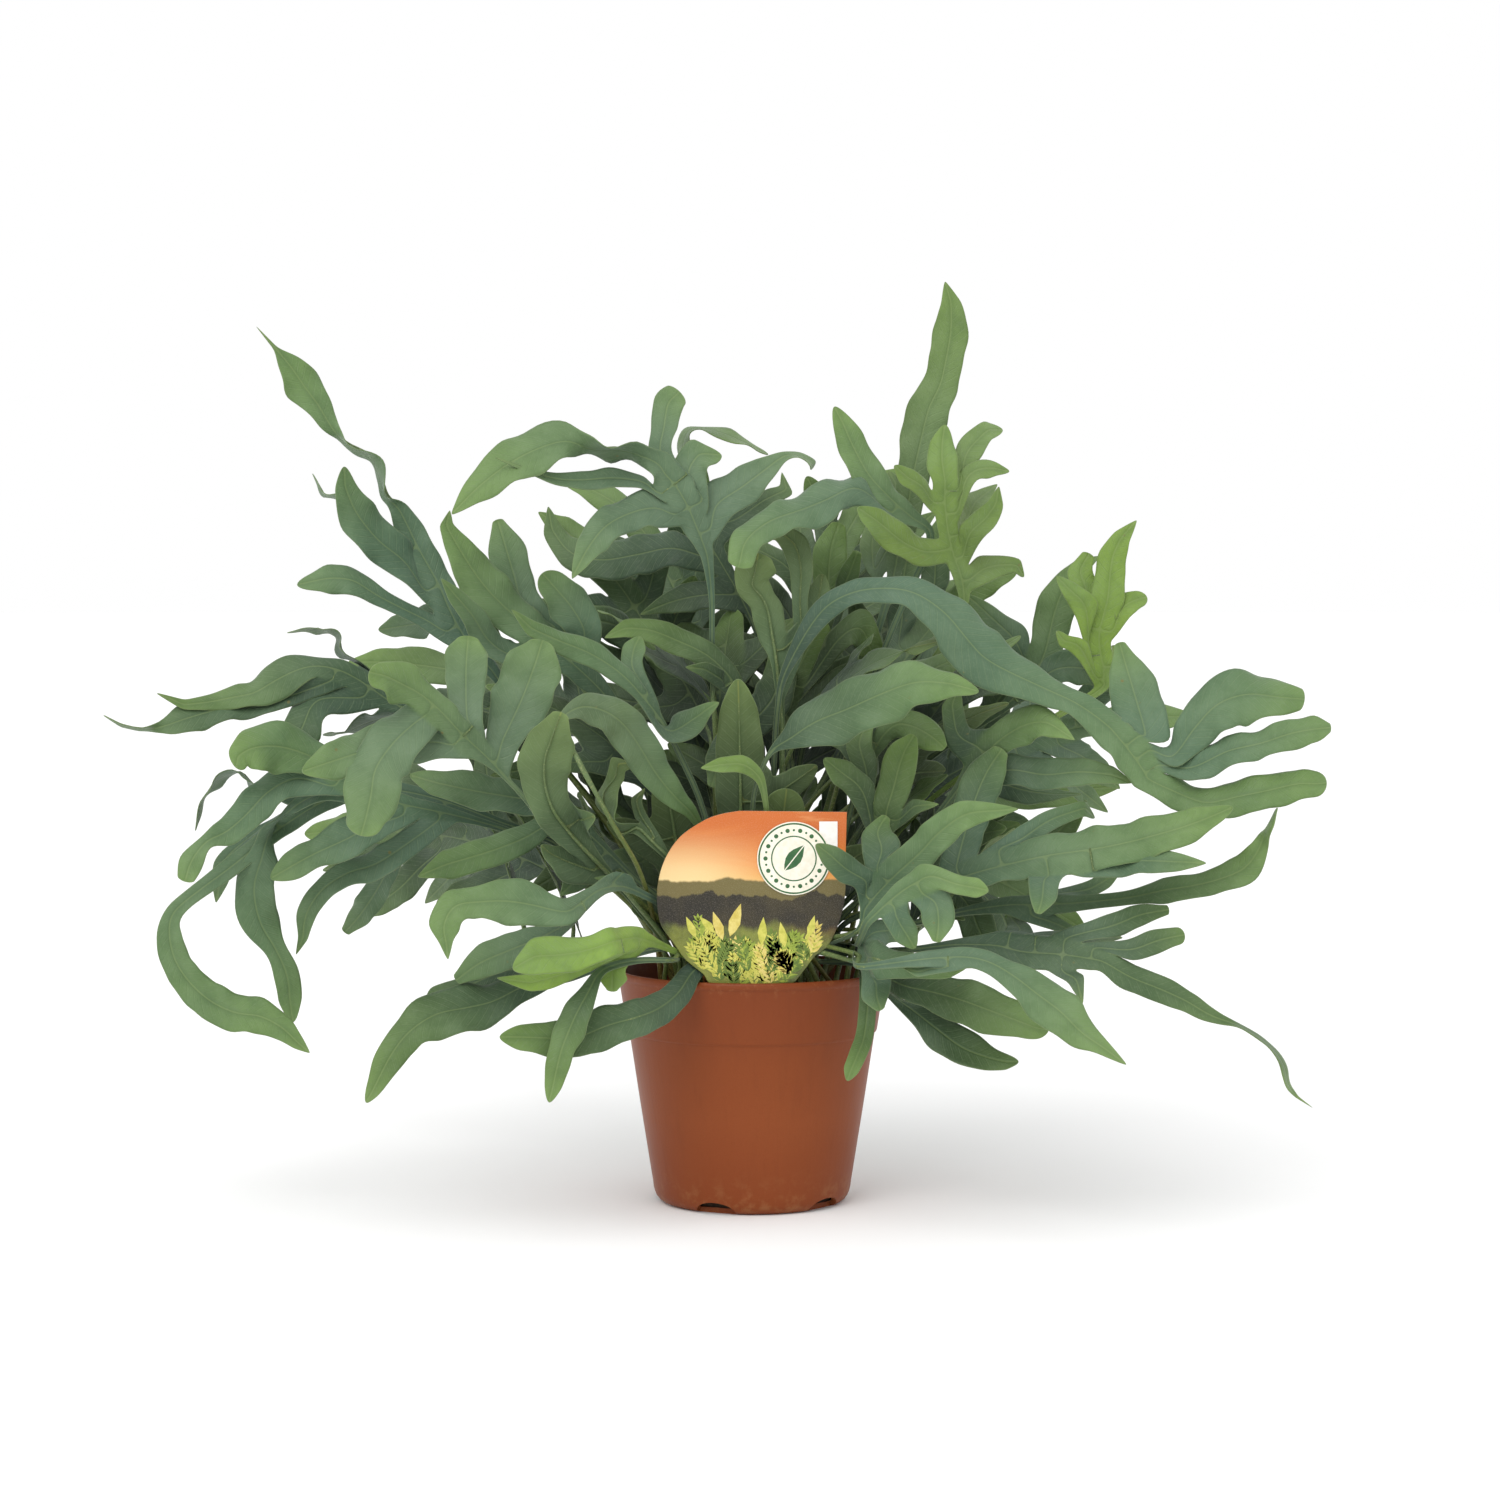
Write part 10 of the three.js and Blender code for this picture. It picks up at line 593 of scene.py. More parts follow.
     [(19.9,21.5,88.6,-1.3,-0.17,-0.34), (12.8,27.5,114.1,-1.29,-0.14,-0.23), (7.1,27.3,135.6,-1.21,-0.15,-0.33), (-0.6,30.9,160.9,-1.12,-0.15,-0.33), (-8.3,37.8,185.5,-1.04,-0.14,-0.27), (-13.7,50.1,204.2,-2.11,-0.25,-0.48), (-16.2,61.6,214,-4.98,-0.63,-1.2), (-19,72.9,223.8,-5.78,-0.85,-1.62), (-22.3,84,233.7,-5.51,-0.91,-1.73), (-25.8,94.8,243.7,-5.17,-0.95,-1.81), (-29.7,105.8,253.6,-5.69,-1.15,-2.19), (-34,117,263.6,-6.39,-1.41,-2.7), (-38.6,128.1,273.6,-5.66,-1.36,-2.6), (-43.7,139.3,283.5,-5.53,-1.47,-2.82), (-49,150.5,293.5,-6.17,-1.65,-3.16), (-58.1,154.9,304.8,-4.8,-2.58,-4.84), (-69.4,160.5,314,-3.69,-3.13,-5.79), (-82.4,166.8,320.9,-1.73,-2.56,-4.67)],
     [(1, 7, (-58.5,119.6,229.3), [(-34.5,87.2,224.7,-0.97,-2.56,-6.55), (-46.4,102.4,227,-1.45,-2.41,-6.19)]),
      (1, 9, (-71.1,69.9,261.6), [(-40.2,89.1,248.3,-1.95,-3.6,-5.66), (-50.6,83.3,252.7,-2.45,-3.87,-6.12), (-60.9,76.9,257.2,-1.85,-2.93,-4.65)]),
      (1, 11, (-67.4,140.9,280.2), [(-48.2,124.8,269,-2.89,-2.72,-6.61), (-58,132.4,274.1,-3.5,-2.42,-5.93)]),
      (1, 13, (-95.1,90.7,297.3), [(-60.8,127.8,286.5,-1.3,-4.53,-7.3), (-72.7,116.6,289.3,-1.96,-4.87,-7.89), (-84.2,104.1,292.9,-1.86,-3.59,-5.84)]),
      (-1, 6, (11.9,75.9,255), [(-6.2,67.1,232.2,5.79,-2.47,-3.54), (2.5,71.7,243.8,5.09,-2.8,-3.96)]),
      (-1, 8, (2.9,78.3,273.5), [(-10.6,82.5,250,5.58,-1.56,-3.92), (-2.8,80.7,261.2,5.62,-1.27,-3.21)]),
      (-1, 10, (-7.6,100.2,303), [(-23.3,104.3,271.9,4.97,-0.85,-2.07), (-17.7,103,282.2,5.28,-1.13,-2.73), (-12.5,101.7,292.5,4.07,-0.81,-1.97)]),
      (-1, 12, (-23.6,101.1,333.1), [(-33.1,120.8,294.9,7.21,-1.32,-2.07), (-28.6,114.8,307.4,7.93,-1.46,-2.31), (-25.4,108.2,320.2,6.15,-0.71,-1.13)])]),
    ('frond_49', 0.54, 4, (-202.8,207.8,233.9),
     [(-29.7,12,88.6,-1.33,-0.08,-0.23), (-34.8,24.8,113.9,-1.3,-0.16,-0.13), (-38.1,34,139.2,-1.22,-0.09,-0.14), (-43.6,44.6,167.6,-1.08,-0.02,-0.29), (-52.8,61.4,187,-1.72,-0.62,-1.52), (-59.6,73,193.6,-3.86,-1.48,-3.64), (-67.1,84.6,199.7,-3.99,-1.85,-4.53), (-75.1,96.2,205.4,-3.11,-1.68,-4.1), (-83.7,107.7,210.6,-3.05,-1.93,-4.72), (-92.8,119.3,215.3,-3,-2.26,-5.49), (-102.4,130.9,219.5,-2.62,-2.39,-5.8), (-112.4,142.5,223.1,-2.08,-2.35,-5.7), (-122.7,154.1,226,-1.46,-2.14,-5.19), (-133.5,165.7,228.2,-0.98,-2.22,-5.37), (-144.5,177.3,230,-1.07,-2.4,-5.83), (-158.6,183.1,232,-0.91,-3.55,-8.62), (-173.1,190.6,233.4,-0.43,-3.59,-8.71), (-187.8,198.9,234,0.04,-2.6,-6.32)],
     [(1, 6, (-121.1,66.5,184.5), [(-83.4,80.4,193,1.97,-1.93,-5.01), (-95.8,76.2,189.3,1.69,-2.19,-5.68), (-108.4,71.5,186.5,1.02,-1.69,-4.38)]),
      (1, 8, (-128,157.3,206.1), [(-102.9,125.8,208.8,0.65,-2.89,-6.85), (-115.3,140.8,207.2,0.55,-5.28,-2.79)]),
      (1, 11, (-151.6,93.5,199.4), [(-123.3,132.4,215,3.97,-2.24,-6.19), (-133.2,120.8,210.1,3.88,-2.56,-7.07), (-142.7,107.7,204.9,0.91,4.93,-2.59)]),
      (1, 13, (-166.7,118,201.6), [(-146.6,150.8,216.6,4.97,-3.45,-5.84), (-156.8,135.3,208.8,4.4,-3.4,-5.7)]),
      (-1, 5, (-50.1,98.4,235.6), [(-55.4,81.7,211.4,6.99,-0.99,-1.83), (-52,89.6,223.3,6.73,-0.82,-1.53)]),
      (-1, 8, (-90.6,119.1,256.3), [(-83.3,111,227.9,6.14,0.21,0.43), (-86.3,114.8,242.2,5.67,0.69,1.39)]),
      (-1, 10, (-104.4,150.8,262.6), [(-102.3,137.3,236.8,5.78,-0.01,-0.02), (-103,143.7,249.7,5.49,0.09,0.3)]),
      (-1, 12, (-138.9,141.1,269.9), [(-128.7,149.7,245.2,7.34,0.61,2.51), (-132.9,145.6,258,6.7,0.72,3)])]),
    ('frond_50', 0.37, 2, (153.8,58.2,113.1),
     [(25.7,39.5,88.6,-0.61,1.17,0.28), (26.8,36.6,113.8,-0.61,1.15,0.19), (31.9,21.7,141.2,-0.68,1.23,1.88), (41.7,26.7,144.1,-1.46,3.13,4.79), (52.4,30.5,146,-1.02,4.1,6.24), (63.4,34.1,146.9,-0.31,4.15,6.3), (74.3,38.1,146.8,0.33,3.44,5.22), (85,42.9,145.5,0.83,3.09,4.71), (95.5,48,143.2,1.42,3.17,4.85), (105.8,53.2,139.8,2.39,3.74,5.76), (115.7,58.5,135.3,3.23,3.58,5.58), (125.3,63.7,129.9,2.85,3.09,4.82), (132.7,62.7,126,3.7,3.69,5.76), (139.8,61.3,121.9,3.88,3.61,5.65), (146.9,59.8,117.6,2.92,2.54,3.99)],
     [(1, 4, (57.3,65.8,196.1), [(53.4,38.1,161.2,-6.72,0.21,0.33), (55.2,45.4,172.8,-7.43,0.49,0.79), (56.2,54.6,184.4,-2.76,-4.85,0.52)]),
      (1, 6, (113.5,42.2,171), [(83.8,38.6,157.5,-3.81,2.44,4), (92.8,39.5,163.8,-3.01,3.29,5.25), (102.8,40.8,168.3,-1.03,-4.12,2.33)]),
      (1, 8, (122.3,44.5,164.1), [(104.8,46.8,154.3,-3.81,1.68,3.99), (113,45.7,160.2,-2.44,1.96,4.6)]),
      (1, 10, (151.1,32,175.6), [(127.8,52.3,147,-4.79,2.81,5.18), (136.1,46.2,156.3,-5.58,2.92,5.44), (143.9,39.3,165.8,-4.4,2.11,3.96)]),
      (-1, 3, (74.9,68,116.6), [(56.2,39.9,132.6,-4.85,-3.4,-5.39), (65.4,52.7,124.4,-4.57,-3.31,-5.23)]),
      (-1, 5, (93.5,-16.7,125.8), [(76.4,15.2,135.9,-3.77,-2.85,-3.75), (84.6,-0.1,129.8,-3.1,-3.01,-3.87)]),
      (-1, 7, (111.5,3.6,95.7), [(96.7,32.5,129.2,-6.33,-1.65,-3.66), (101.9,23.7,117.9,-7.36,-1.46,-3.24), (106.8,14,106.7,-5.61,-1.07,-2.38)]),
      (-1, 9, (130,104.4,78.3), [(115.7,67,119.7,-5.9,-1.15,-2.18), (120,78.4,106.1,-3.45,-5.74,-0.26), (124.8,90.9,92.3,-5.16,-0.81,-1.54)])]),
    ('frond_51', 0.53, 5, (72.2,150,328.2),
     [(29.1,11.3,88.6,-1.34,-0.02,-0.12), (27.4,23,113.8,-1.31,0.03,-0.09), (24.5,26.3,136.2,-1.25,0.02,-0.17), (20.8,32,162.9,-1.17,0,-0.15), (18.1,41.3,189.1,-1.09,-0.01,-0.06), (18.3,56.1,210,-2.14,0.15,0.29), (19.7,66.7,219.9,-5.33,0.43,0.82), (21.5,76.4,229.9,-5.83,0.6,1.16), (23.8,82.7,240,-5.11,0.63,1.21), (26.8,91.1,250.1,-5.11,0.73,1.41), (30.2,99.6,260.1,-5.35,0.88,1.69), (34,108,270.1,-5.69,1.05,2.04), (38.1,116.8,280.1,-5.91,1.22,2.37), (42.5,125.8,290.1,-5.9,1.39,2.69), (47.2,135,300,-5.84,1.39,2.69), (52.1,137.9,308,-6.56,2.4,4.61), (58,141.6,315.5,-5.95,2.83,5.4), (64.7,145.6,322.2,-3.78,2.33,4.41)],
     [(1, 7, (-13,49.5,251.9), [(7.3,64.3,237.6,-3.24,-4.25,-5.4), (-2.8,56.8,244.8,-3.39,-3.8,-4.9)]),
      (1, 9, (-2.4,55,281.6), [(14.7,79,262,-4.45,-2.99,-4.22), (6.1,67.4,271.9,-4.36,-2.66,-3.81)]),
      (1, 11, (23.1,149.8,312.2), [(25.9,121.2,285.5,-5.66,-0.86,-2.3), (23,134.7,298.6,-5.8,-0.27,-0.71)]),
      (1, 13, (26,127.2,324.5), [(35.8,126.5,304.6,-6.29,-1.25,-2.95), (30.9,126.9,314.5,-5.93,-1.23,-2.91)]),
      (-1, 6, (51.1,72.4,235.9), [(33.2,70.7,227.4,3.17,-2.78,-6.44), (42.1,72.3,231.4,1.15,-5.83,-2.67)]),
      (-1, 8, (75.4,117.4,273.4), [(39.6,93.6,253.2,3.21,-2.64,-4.21), (51.2,99.9,260.2,3.07,-3.18,-5.02), (63.3,107.9,266.9,2.23,-2.48,-3.92)]),
      (-1, 10, (61.4,135.9,288.8), [(46.2,112.9,271.9,4.63,-2.11,-5.63), (54.9,123.4,279.4,5.28,-1.69,-4.56)]),
      (-1, 12, (87.8,116.2,307.3), [(56.6,115.9,289.5,2.44,-2.29,-5.33), (67.9,115.6,294,2.76,-2.52,-5.87), (78.3,115.8,300,2.64,-1.77,-4.17)])]),
    ('frond_52', 0.6, 5, (-225,205,147.3),
     [(23.3,32.4,88.6,-0.98,-0.78,-0.52), (8.7,34.9,113.9,-0.97,-0.82,-0.35), (-7.8,32.8,126.9,-0.3,-0.61,-1.06), (-35.5,26,133.8,-0.09,-0.59,-1.01), (-65,37.9,135.9,-0.19,-0.61,-0.88), (-87,54.2,138.3,-0.71,-0.94,-1.43), (-96.7,65.9,142,-1.46,-2.04,-3.09), (-105.9,75.1,145.4,-1.67,-2.9,-4.37), (-115.5,84.1,148.2,-1.64,-3.5,-5.26), (-126.1,99.1,150,-1.48,-4.06,-6.09), (-137.4,117.2,151.1,-1.13,-4.22,-6.33), (-149.2,135.4,151.7,-0.69,-4.06,-6.07), (-161.1,152.4,151.8,-0.29,-3.84,-5.74), (-173.3,168.9,151.4,0.15,-3.81,-5.69), (-185.7,185.4,150.5,0.2,-3.95,-5.9), (-195.3,189.1,150.2,0.7,-5.54,-8.3), (-205.1,193.9,149.6,1.02,-5.55,-8.31), (-215,199.3,148.6,0.96,-3.99,-5.99)],
     [(1, 7, (-147.6,81.6,123.4), [(-120.5,75.4,134.8,4.2,-4.35,-6.19), (-133.6,77.8,128.5,3.08,-4.54,-6.33)]),
      (1, 9, (-159.5,152.3,117.1), [(-139.4,118.3,137.2,4.29,-2.55,-4.07), (-149.5,134.6,127.5,4.23,-2.37,-3.79)]),
      (1, 11, (-196.7,163.7,108.6), [(-160.6,142.2,135.8,5.35,-1.86,-4.06), (-171.1,148.7,125.2,5.1,-2.5,-5.39), (-183.3,155.9,116,3.26,-2.17,-4.6)]),
      (1, 13, (-210.8,162.5,132.5), [(-187.2,166.8,140.4,4.8,-5.26,-6.16), (-198.6,164.7,135,0.39,5.69,-3.64)]),
      (-1, 6, (-104.8,63.9,178.3), [(-99.7,65.6,158.4,6.91,0.77,1.38), (-101.4,65.7,168.5,6.42,1.05,1.87)]),
      (-1, 8, (-127.4,100,202), [(-121.3,83.9,166.1,6.16,0.73,1.63), (-122.9,84.6,178.3,7.02,0.47,1.05), (-124.8,89.2,190.3,5.37,0.36,0.81)]),
      (-1, 10, (-183.1,164.9,194.8), [(-152.2,130.2,166.7,4.49,2.12,3.58), (-161.3,141.3,176.9,4.91,2.41,4.08), (-171.6,152.9,186.3,3.37,2.1,3.52)]),
      (-1, 13, (-204.1,189,180.8), [(-180.6,174.5,165,4.69,1.73,3.49), (-191.6,181.3,173.7,3.25,2.25,4.46)])]),
    ('frond_53', 0.39, 4, (127.2,133.1,278.5),
     [(-10.7,27.2,88.6,-1.21,0.31,0.5), (1.6,24.9,114.4,-1.23,0.31,0.34), (10.9,19.6,142.3,-1.07,0.31,0.52), (25.2,22.2,173.4,-0.97,0.26,0.48), (38.4,31.8,195.5,-1.32,0.38,0.82), (43.8,42.3,202.9,-2.93,0.86,1.84), (49.2,52.1,210.4,-4.04,1.26,2.71), (54.9,64.8,217.8,-4.68,1.54,3.31), (61,79.1,225,-4.95,1.72,3.69), (67.5,93.6,232.3,-4.9,1.79,3.85), (74,106.1,239.6,-4.7,1.81,3.9), (80.7,117.5,246.9,-4.79,1.94,4.18), (87.9,131,254.2,-4.77,2.06,4.43), (95.6,144.7,261.4,-4.77,2.07,4.47), (102.6,142.7,267.3,-3.87,2.61,5.56), (110.2,139.7,272.2,-3.04,2.86,6.05), (118.5,136.5,276,-1.55,2.2,4.62)],
     [(1, 6, (28.5,71.1,252.5), [(40.2,56.1,226.4,-6.58,-1.04,-3.36), (34.2,62,239.3,-6.43,-0.89,-2.88)]),
      (1, 8, (40.8,37.6,276.4), [(55.1,66.6,241.3,-6.18,-1.13,-2.09), (50.7,57.9,253.3,-6.74,-1.3,-2.4), (45.9,48.9,265,-2.11,4.6,-0.92)]),
      (1, 10, (77.5,133.3,295.1), [(71.3,113.2,256.8,-7.3,-0.29,-0.77), (71.5,120.2,269.7,-8.11,0.19,0.5), (73.6,127.1,282.5,-6.05,0.49,1.31)]),
      (1, 12, (93.9,138.6,309.8), [(87.5,134.5,271.9,-6.6,-0.02,-0.03), (88.3,136.4,284.7,-7.23,0.47,0.77), (90.4,137.6,297.4,-5.4,0.72,1.19)]),
      (-1, 5, (83.2,46,212.5), [(61.4,42.4,206.4,1.17,-1.79,-6.16), (72.5,43.6,208.6,1.6,-1.67,-5.74)]),
      (-1, 7, (101.7,64,221), [(75,64.8,217,-0.3,-4.9,-6.97), (88.6,64.9,217.4,0.75,-4.59,-6.54)]),
      (-1, 9, (107.2,116.1,246.3), [(86.1,102.4,238.4,2.22,-2.2,-6.95), (96.7,108.2,241.6,2.46,-2.06,-6.51)]),
      (-1, 12, (133.3,104.4,240.3), [(100.1,123.3,247,-2.43,-1.93,-5.79), (110.9,115.8,244.7,-1.57,-2.25,-6.71), (122.1,110.4,242.4,-1.15,-1.71,-5.1)])]),
]


def end_rows(c, e, tip, k):
    """rows between the last full row and the tip; blunt or pointed by their proportions"""
    L = np.linalg.norm(tip - c)
    w = np.linalg.norm(e)
    if L < 1.25 * w:
        s = [0.35, 0.62, 0.84, 0.96]
        g = [math.sqrt(1 - x * x) for x in s]
    else:
        s = [0.25, 0.5, 0.72, 0.9]
        p = 0.62 if L < 2.2 * w else 0.85
        g = [(1 - x) ** p for x in s]
    return [(c + (tip - c) * x, e * y) for x, y in zip(s, g)]


def strip_grid(C, E, rng, amp_side=(1, 1), fade0=0.0, cup=None, lam=None, amp=None):
    """n x 7 x 3 points of a strip with wavy margins; C middles, E half-width vectors (ordered along)"""
    s = arclen(C)
    W = np.linalg.norm(E, axis=1)
    T = unit(np.gradient(C, axis=0))
    N = unit(np.cross(T, E))
    G = C[:, None, :] + U[None, :, None] * E[:, None, :]
    total = max(s[-1], 1)
    lam = lam or rng.uniform(17, 27)
    amp = amp if amp is not None else rng.uniform(0.16, 0.26)
    cup = cup if cup is not None else rng.uniform(-0.02, 0.16)
    ph = rng.uniform(0, 6.28, 4)
    grow = np.clip((W - 2.2) / 4.0, 0, 1)
    fade = np.clip((s - fade0) / 9.0, 0, 1) * np.clip((total - s) / 8.0, 0, 1)
    warp = s + 3.0 * np.sin(s / 21.0 + ph[2])
    for j, u in enumerate(U):
        side = 0 if u > 0 else 1
        w = amp * W * grow * fade * abs(u) ** 1.7 * np.sin(6.2832 * warp / lam + ph[side] + 0.5 * side) * amp_side[side]
        w2 = 0.05 * W * grow * fade * abs(u) ** 2 * np.sin(6.2832 * warp / (lam * 0.41) + ph[side + 2])
        c = -cup * W * grow * u * u
        rim = -0.22 * grow if u == 0 else 0.0
        G[:, j] += N * (w + w2 + c + rim)[:, None]
        if abs(u) > 0.9:
            G[:, j] += E * (np.sign(u) * 0.045 * grow * fade * np.sin(6.2832 * warp / (lam * 0.55) + ph[1 - side]))[:, None]
    return G, s, W, N


def tint_with_painted_shade(P, tint):
    """painted shade: leaves deep inside the crown are darkened, as the inside of the crown lies in shade"""
    if tint < -0.45:
        return np.full(len(P), tint)
    d = np.linalg.norm((P - np.array([6.0, 22.0, 178.0])) * np.array([0.8, 1.0, 1.0]), axis=1)
    return np.clip(tint + 0.62 * np.clip((118 - d) / 70, 0, 1), -1, 1)


def build_frond(fr, seed, own=True):
    name, tint, nst, tip, axis, lobes = fr
    rng = np.random.default_rng(seed)
    A = np.array(axis, float)
    tip = np.array(tip, float)
    # ---- blade strip, from the first row above the bare stalk
    b0 = max(nst - 1, 0)
    rows = A[b0:, :6]
    fine = catmull(rows, K)
    C, E = fine[:, :3], fine[:, 3:6]
    ends = end_rows(C[-1], E[-1], tip, K)
    C2 = np.vstack([C] + [c[None] for c, _ in ends])
    E2 = np.vstack([E] + [e[None] for _, e in ends])
    nfull = len(C)
    used = {1: np.zeros(len(C2)), -1: np.zeros(len(C2))}
    for side, at, _, _ in lobes:
        i0 = (at - 1 - b0) * K
        i1 = (at + 1 - b0) * K
        used[side][max(i0, 0):i1 + 1] = 1
    G, s, W, N = strip_grid(C2, E2, rng, fade0=6)
    # margins inside a lobe's foot stay flat
    for side, col in ((1, 0), (-1, 6)):
        k = used[side][:, None]
        flat = C2 + U[col] * E2
        G[:, col] = G[:, col] * (1 - 0.85 * k) + flat * 0.85 * k
    V = [G.reshape(-1, 3)]
    st = [np.stack([np.outer(np.ones(len(C2)), U) * W[:, None], np.outer(s, np.ones(7))], -1).reshape(-1, 2)]
    F, FU = [], []
    n = len(C2)
    for i in range(n - 1):
        for j in range(6):
            f = (i * 7 + j, i * 7 + j + 1, (i + 1) * 7 + j + 1, (i + 1) * 7 + j)
            F.append(f)
            FU.append([st[0][k] for k in f])
    count = n * 7
    V.append(tip[None])
    tipi = count
    count += 1
    tst = np.array([0.0, s[-1] + np.linalg.norm(tip - C2[-1])])
    for j in range(6):
        a, b = (n - 1) * 7 + j, (n - 1) * 7 + j + 1
        F.append((a, b, tipi))
        FU.append([st[0][a], st[0][b], tst])
    ribs = [C2]
    young = [np.outer((s / s[-1]) ** 2.2, np.ones(7)).reshape(-1), np.ones(1)]
    tubes = []
    # ---- lobes
    for side, at, ltip, lrows in lobes:
        ltip = np.array(ltip, float)
        R = np.array(lrows, float)
        col = 0 if side == 1 else 6
        i0 = (at - 1 - b0) * K
        ids = [(i0 + q) * 7 + col for q in range(7)]
        if ids[0] < 0 or ids[-1] >= nfull * 7:
            continue
        base = G[i0:i0 + 7, col]                       # proximal to distal
        c0 = base[3]
        e0 = (base[0] - base[6]) / 2
        ax = G[i0 + 3, 3]
        Cc = np.vstack([c0[None], R[:, :3]])
        Ee = np.vstack([e0[None], R[:, 3:6]])
        # the middle line, starting with the direction away from the strip
        pre = np.vstack([ax[None], Cc, (2 * Cc[-1] - Cc[-2])[None]])
        preE = np.vstack([Ee[0][None], Ee, Ee[-1][None]])
        C3, E3 = [], []
        for i in range(1, len(pre) - 2):
            p0, p1, p2, p3 = pre[i - 1], pre[i], pre[i + 1], pre[i + 2]
            q0, q1, q2, q3 = preE[i - 1], preE[i], preE[i + 1], preE[i + 2]
            span = np.linalg.norm(p2 - p1)
            kk = max(2, int(round(span / 3.6)))
            for j in range(kk):
                u = j / kk
                f = lambda a, b, c, d: 0.5 * (2 * b + (-a + c) * u + (2 * a - 5 * b + 4 * c - d) * u * u + (-a + 3 * b - 3 * c + d) * u ** 3)
                C3.append(f(p0, p1, p2, p3))
                E3.append(f(q0, q1, q2, q3))
        C3.append(Cc[-1])
        E3.append(Ee[-1])
        for c, e in end_rows(Cc[-1], Ee[-1], ltip, K):
            C3.append(c)
            E3.append(e)
        C3, E3 = np.array(C3), np.array(E3)
        g, ls, lw, ln = strip_grid(C3, E3, rng, fade0=3)
        g[0] = base
        # the first row is the strip's own edge, so the foot has no step
        V.append(g[1:].reshape(-1, 3))
        m = len(C3)
        loc = np.zeros((m, 7), int)
        loc[0] = ids
        loc[1:] = count + np.arange((m - 1) * 7).reshape(m - 1, 7)
        count += (m - 1) * 7
        lst = np.stack([np.outer(lw, U), np.outer(ls, np.ones(7))], -1)
        y0 = (s[i0 + 3] / s[-1])
        yl = np.clip((ls / max(ls[-1], 1)), 0, 1)
        young.append(np.outer(np.maximum(0.25 * y0, 0) + (0.45 + 0.35 * y0) * yl ** 2.2, np.ones(7))[1:].reshape(-1))
        V.append(ltip[None])
        young.append(np.array([0.6 + 0.3 * y0]))
        tp = count
        count += 1
        for i in range(m - 1):
            for j in range(6):
                q = [(i, j), (i, j + 1), (i + 1, j + 1), (i + 1, j)]
                if side != 1:
                    q = q[::-1]
                F.append(tuple(loc[a] for a in q))
                FU.append([lst[a] for a in q])
        lt = np.array([0.0, ls[-1] + np.linalg.norm(ltip - C3[-1])])
        for j in range(6):
            q = [(m - 1, j), (m - 1, j + 1)]
            tri = [loc[q[0]], loc[q[1]], tp]
            tu = [lst[q[0]], lst[q[1]], lt]
            if side != 1:
                tri, tu = tri[::-1], tu[::-1]
            F.append(tuple(tri))
            FU.append(tu)
        start = np.array([ax + (c0 - ax) * t for t in (0, 0.5)])
        rp = np.vstack([start, C3])
        ribs.append(rp)
        nn = ln if side == 1 else -ln
        tubes.append((np.vstack([start, g[:, 3]]), np.vstack([nn[0], nn[0], nn]), 0.42, 0.12))
    V = np.vstack(V)
    Y = np.concatenate(young)
    # the upper face looks up
    F = [list(f) for f in F]
    # ---- distances to the nearest rib and to the margin, in mm
    dense = []
    for r in ribs:
        q = catmull(r, 3) if len(r) > 2 else r
        dense.append(q)
    dense = np.vstack(dense)

    def near(P, Q):
        out = np.empty(len(P))
        for a in range(0, len(P), 400):
            out[a:a + 400] = np.sqrt(((P[a:a + 400, None] - Q[None]) ** 2).sum(-1).min(1))
        return out
    rib = near(V, dense)
    cnt = {}
    for f in F:
        for a, b in zip(f, f[1:] + f[:1]):
            k = (a, b) if a < b else (b, a)
            cnt[k] = cnt.get(k, 0) + 1
    bd = sorted({i for k, c in cnt.items() if c == 1 for i in k})
    bp = []
    for (a, b), c in cnt.items():
        if c == 1:
            bp.append(V[a])
            bp.append((V[a] + V[b]) / 2)
    margin = near(V, np.array(bp))
    margin[bd] = 0
    # the middle column lies on its rib
    rib[rib < 0.45] = 0
    # area-weighted normal: decides which face is the upper one
    tot = np.zeros(3)
    for f in F[:(n - 1) * 6]:
        p = V[list(f)]
        tot += np.cross(p[2] - p[0], p[3] - p[1])
    flip = tot[2] < -0.15 * np.linalg.norm(tot)
    if flip:
        F = [f[::-1] for f in F]
        FU = [u[::-1] for u in FU]
    # the tint attribute carries each frond's own tone plus painted shade deep in the crown
    o = make(name + "_blade", V, F, [LEAF_TOP, LEAF_UNDER],
             attrs={"tint": tint_with_painted_shade(V, tint), "young": np.clip(Y, 0, 1), "rib": rib, "margin": margin},
             replaces=(name,) if own else ())
    uvl = o.data.uv_layers.new(name="strip")
    flat = np.array([c for u in FU for c in u], float)
    uvs = np.stack([flat[:, 0] / 100 + 0.5, flat[:, 1] / 100 * 1.0], -1)
    uvl.data.foreach_set("uv", uvs.astype(np.float32).reshape(-1))
    sub = o.modifiers.new("smooth", "SUBSURF")
    sub.levels = sub.render_levels = 1
    sol = o.modifiers.new("thick", "SOLIDIFY")
    sol.thickness = 0.36 * MM
    sol.offset = 0
    sol.material_offset = 1
    sol.use_even_offset = False
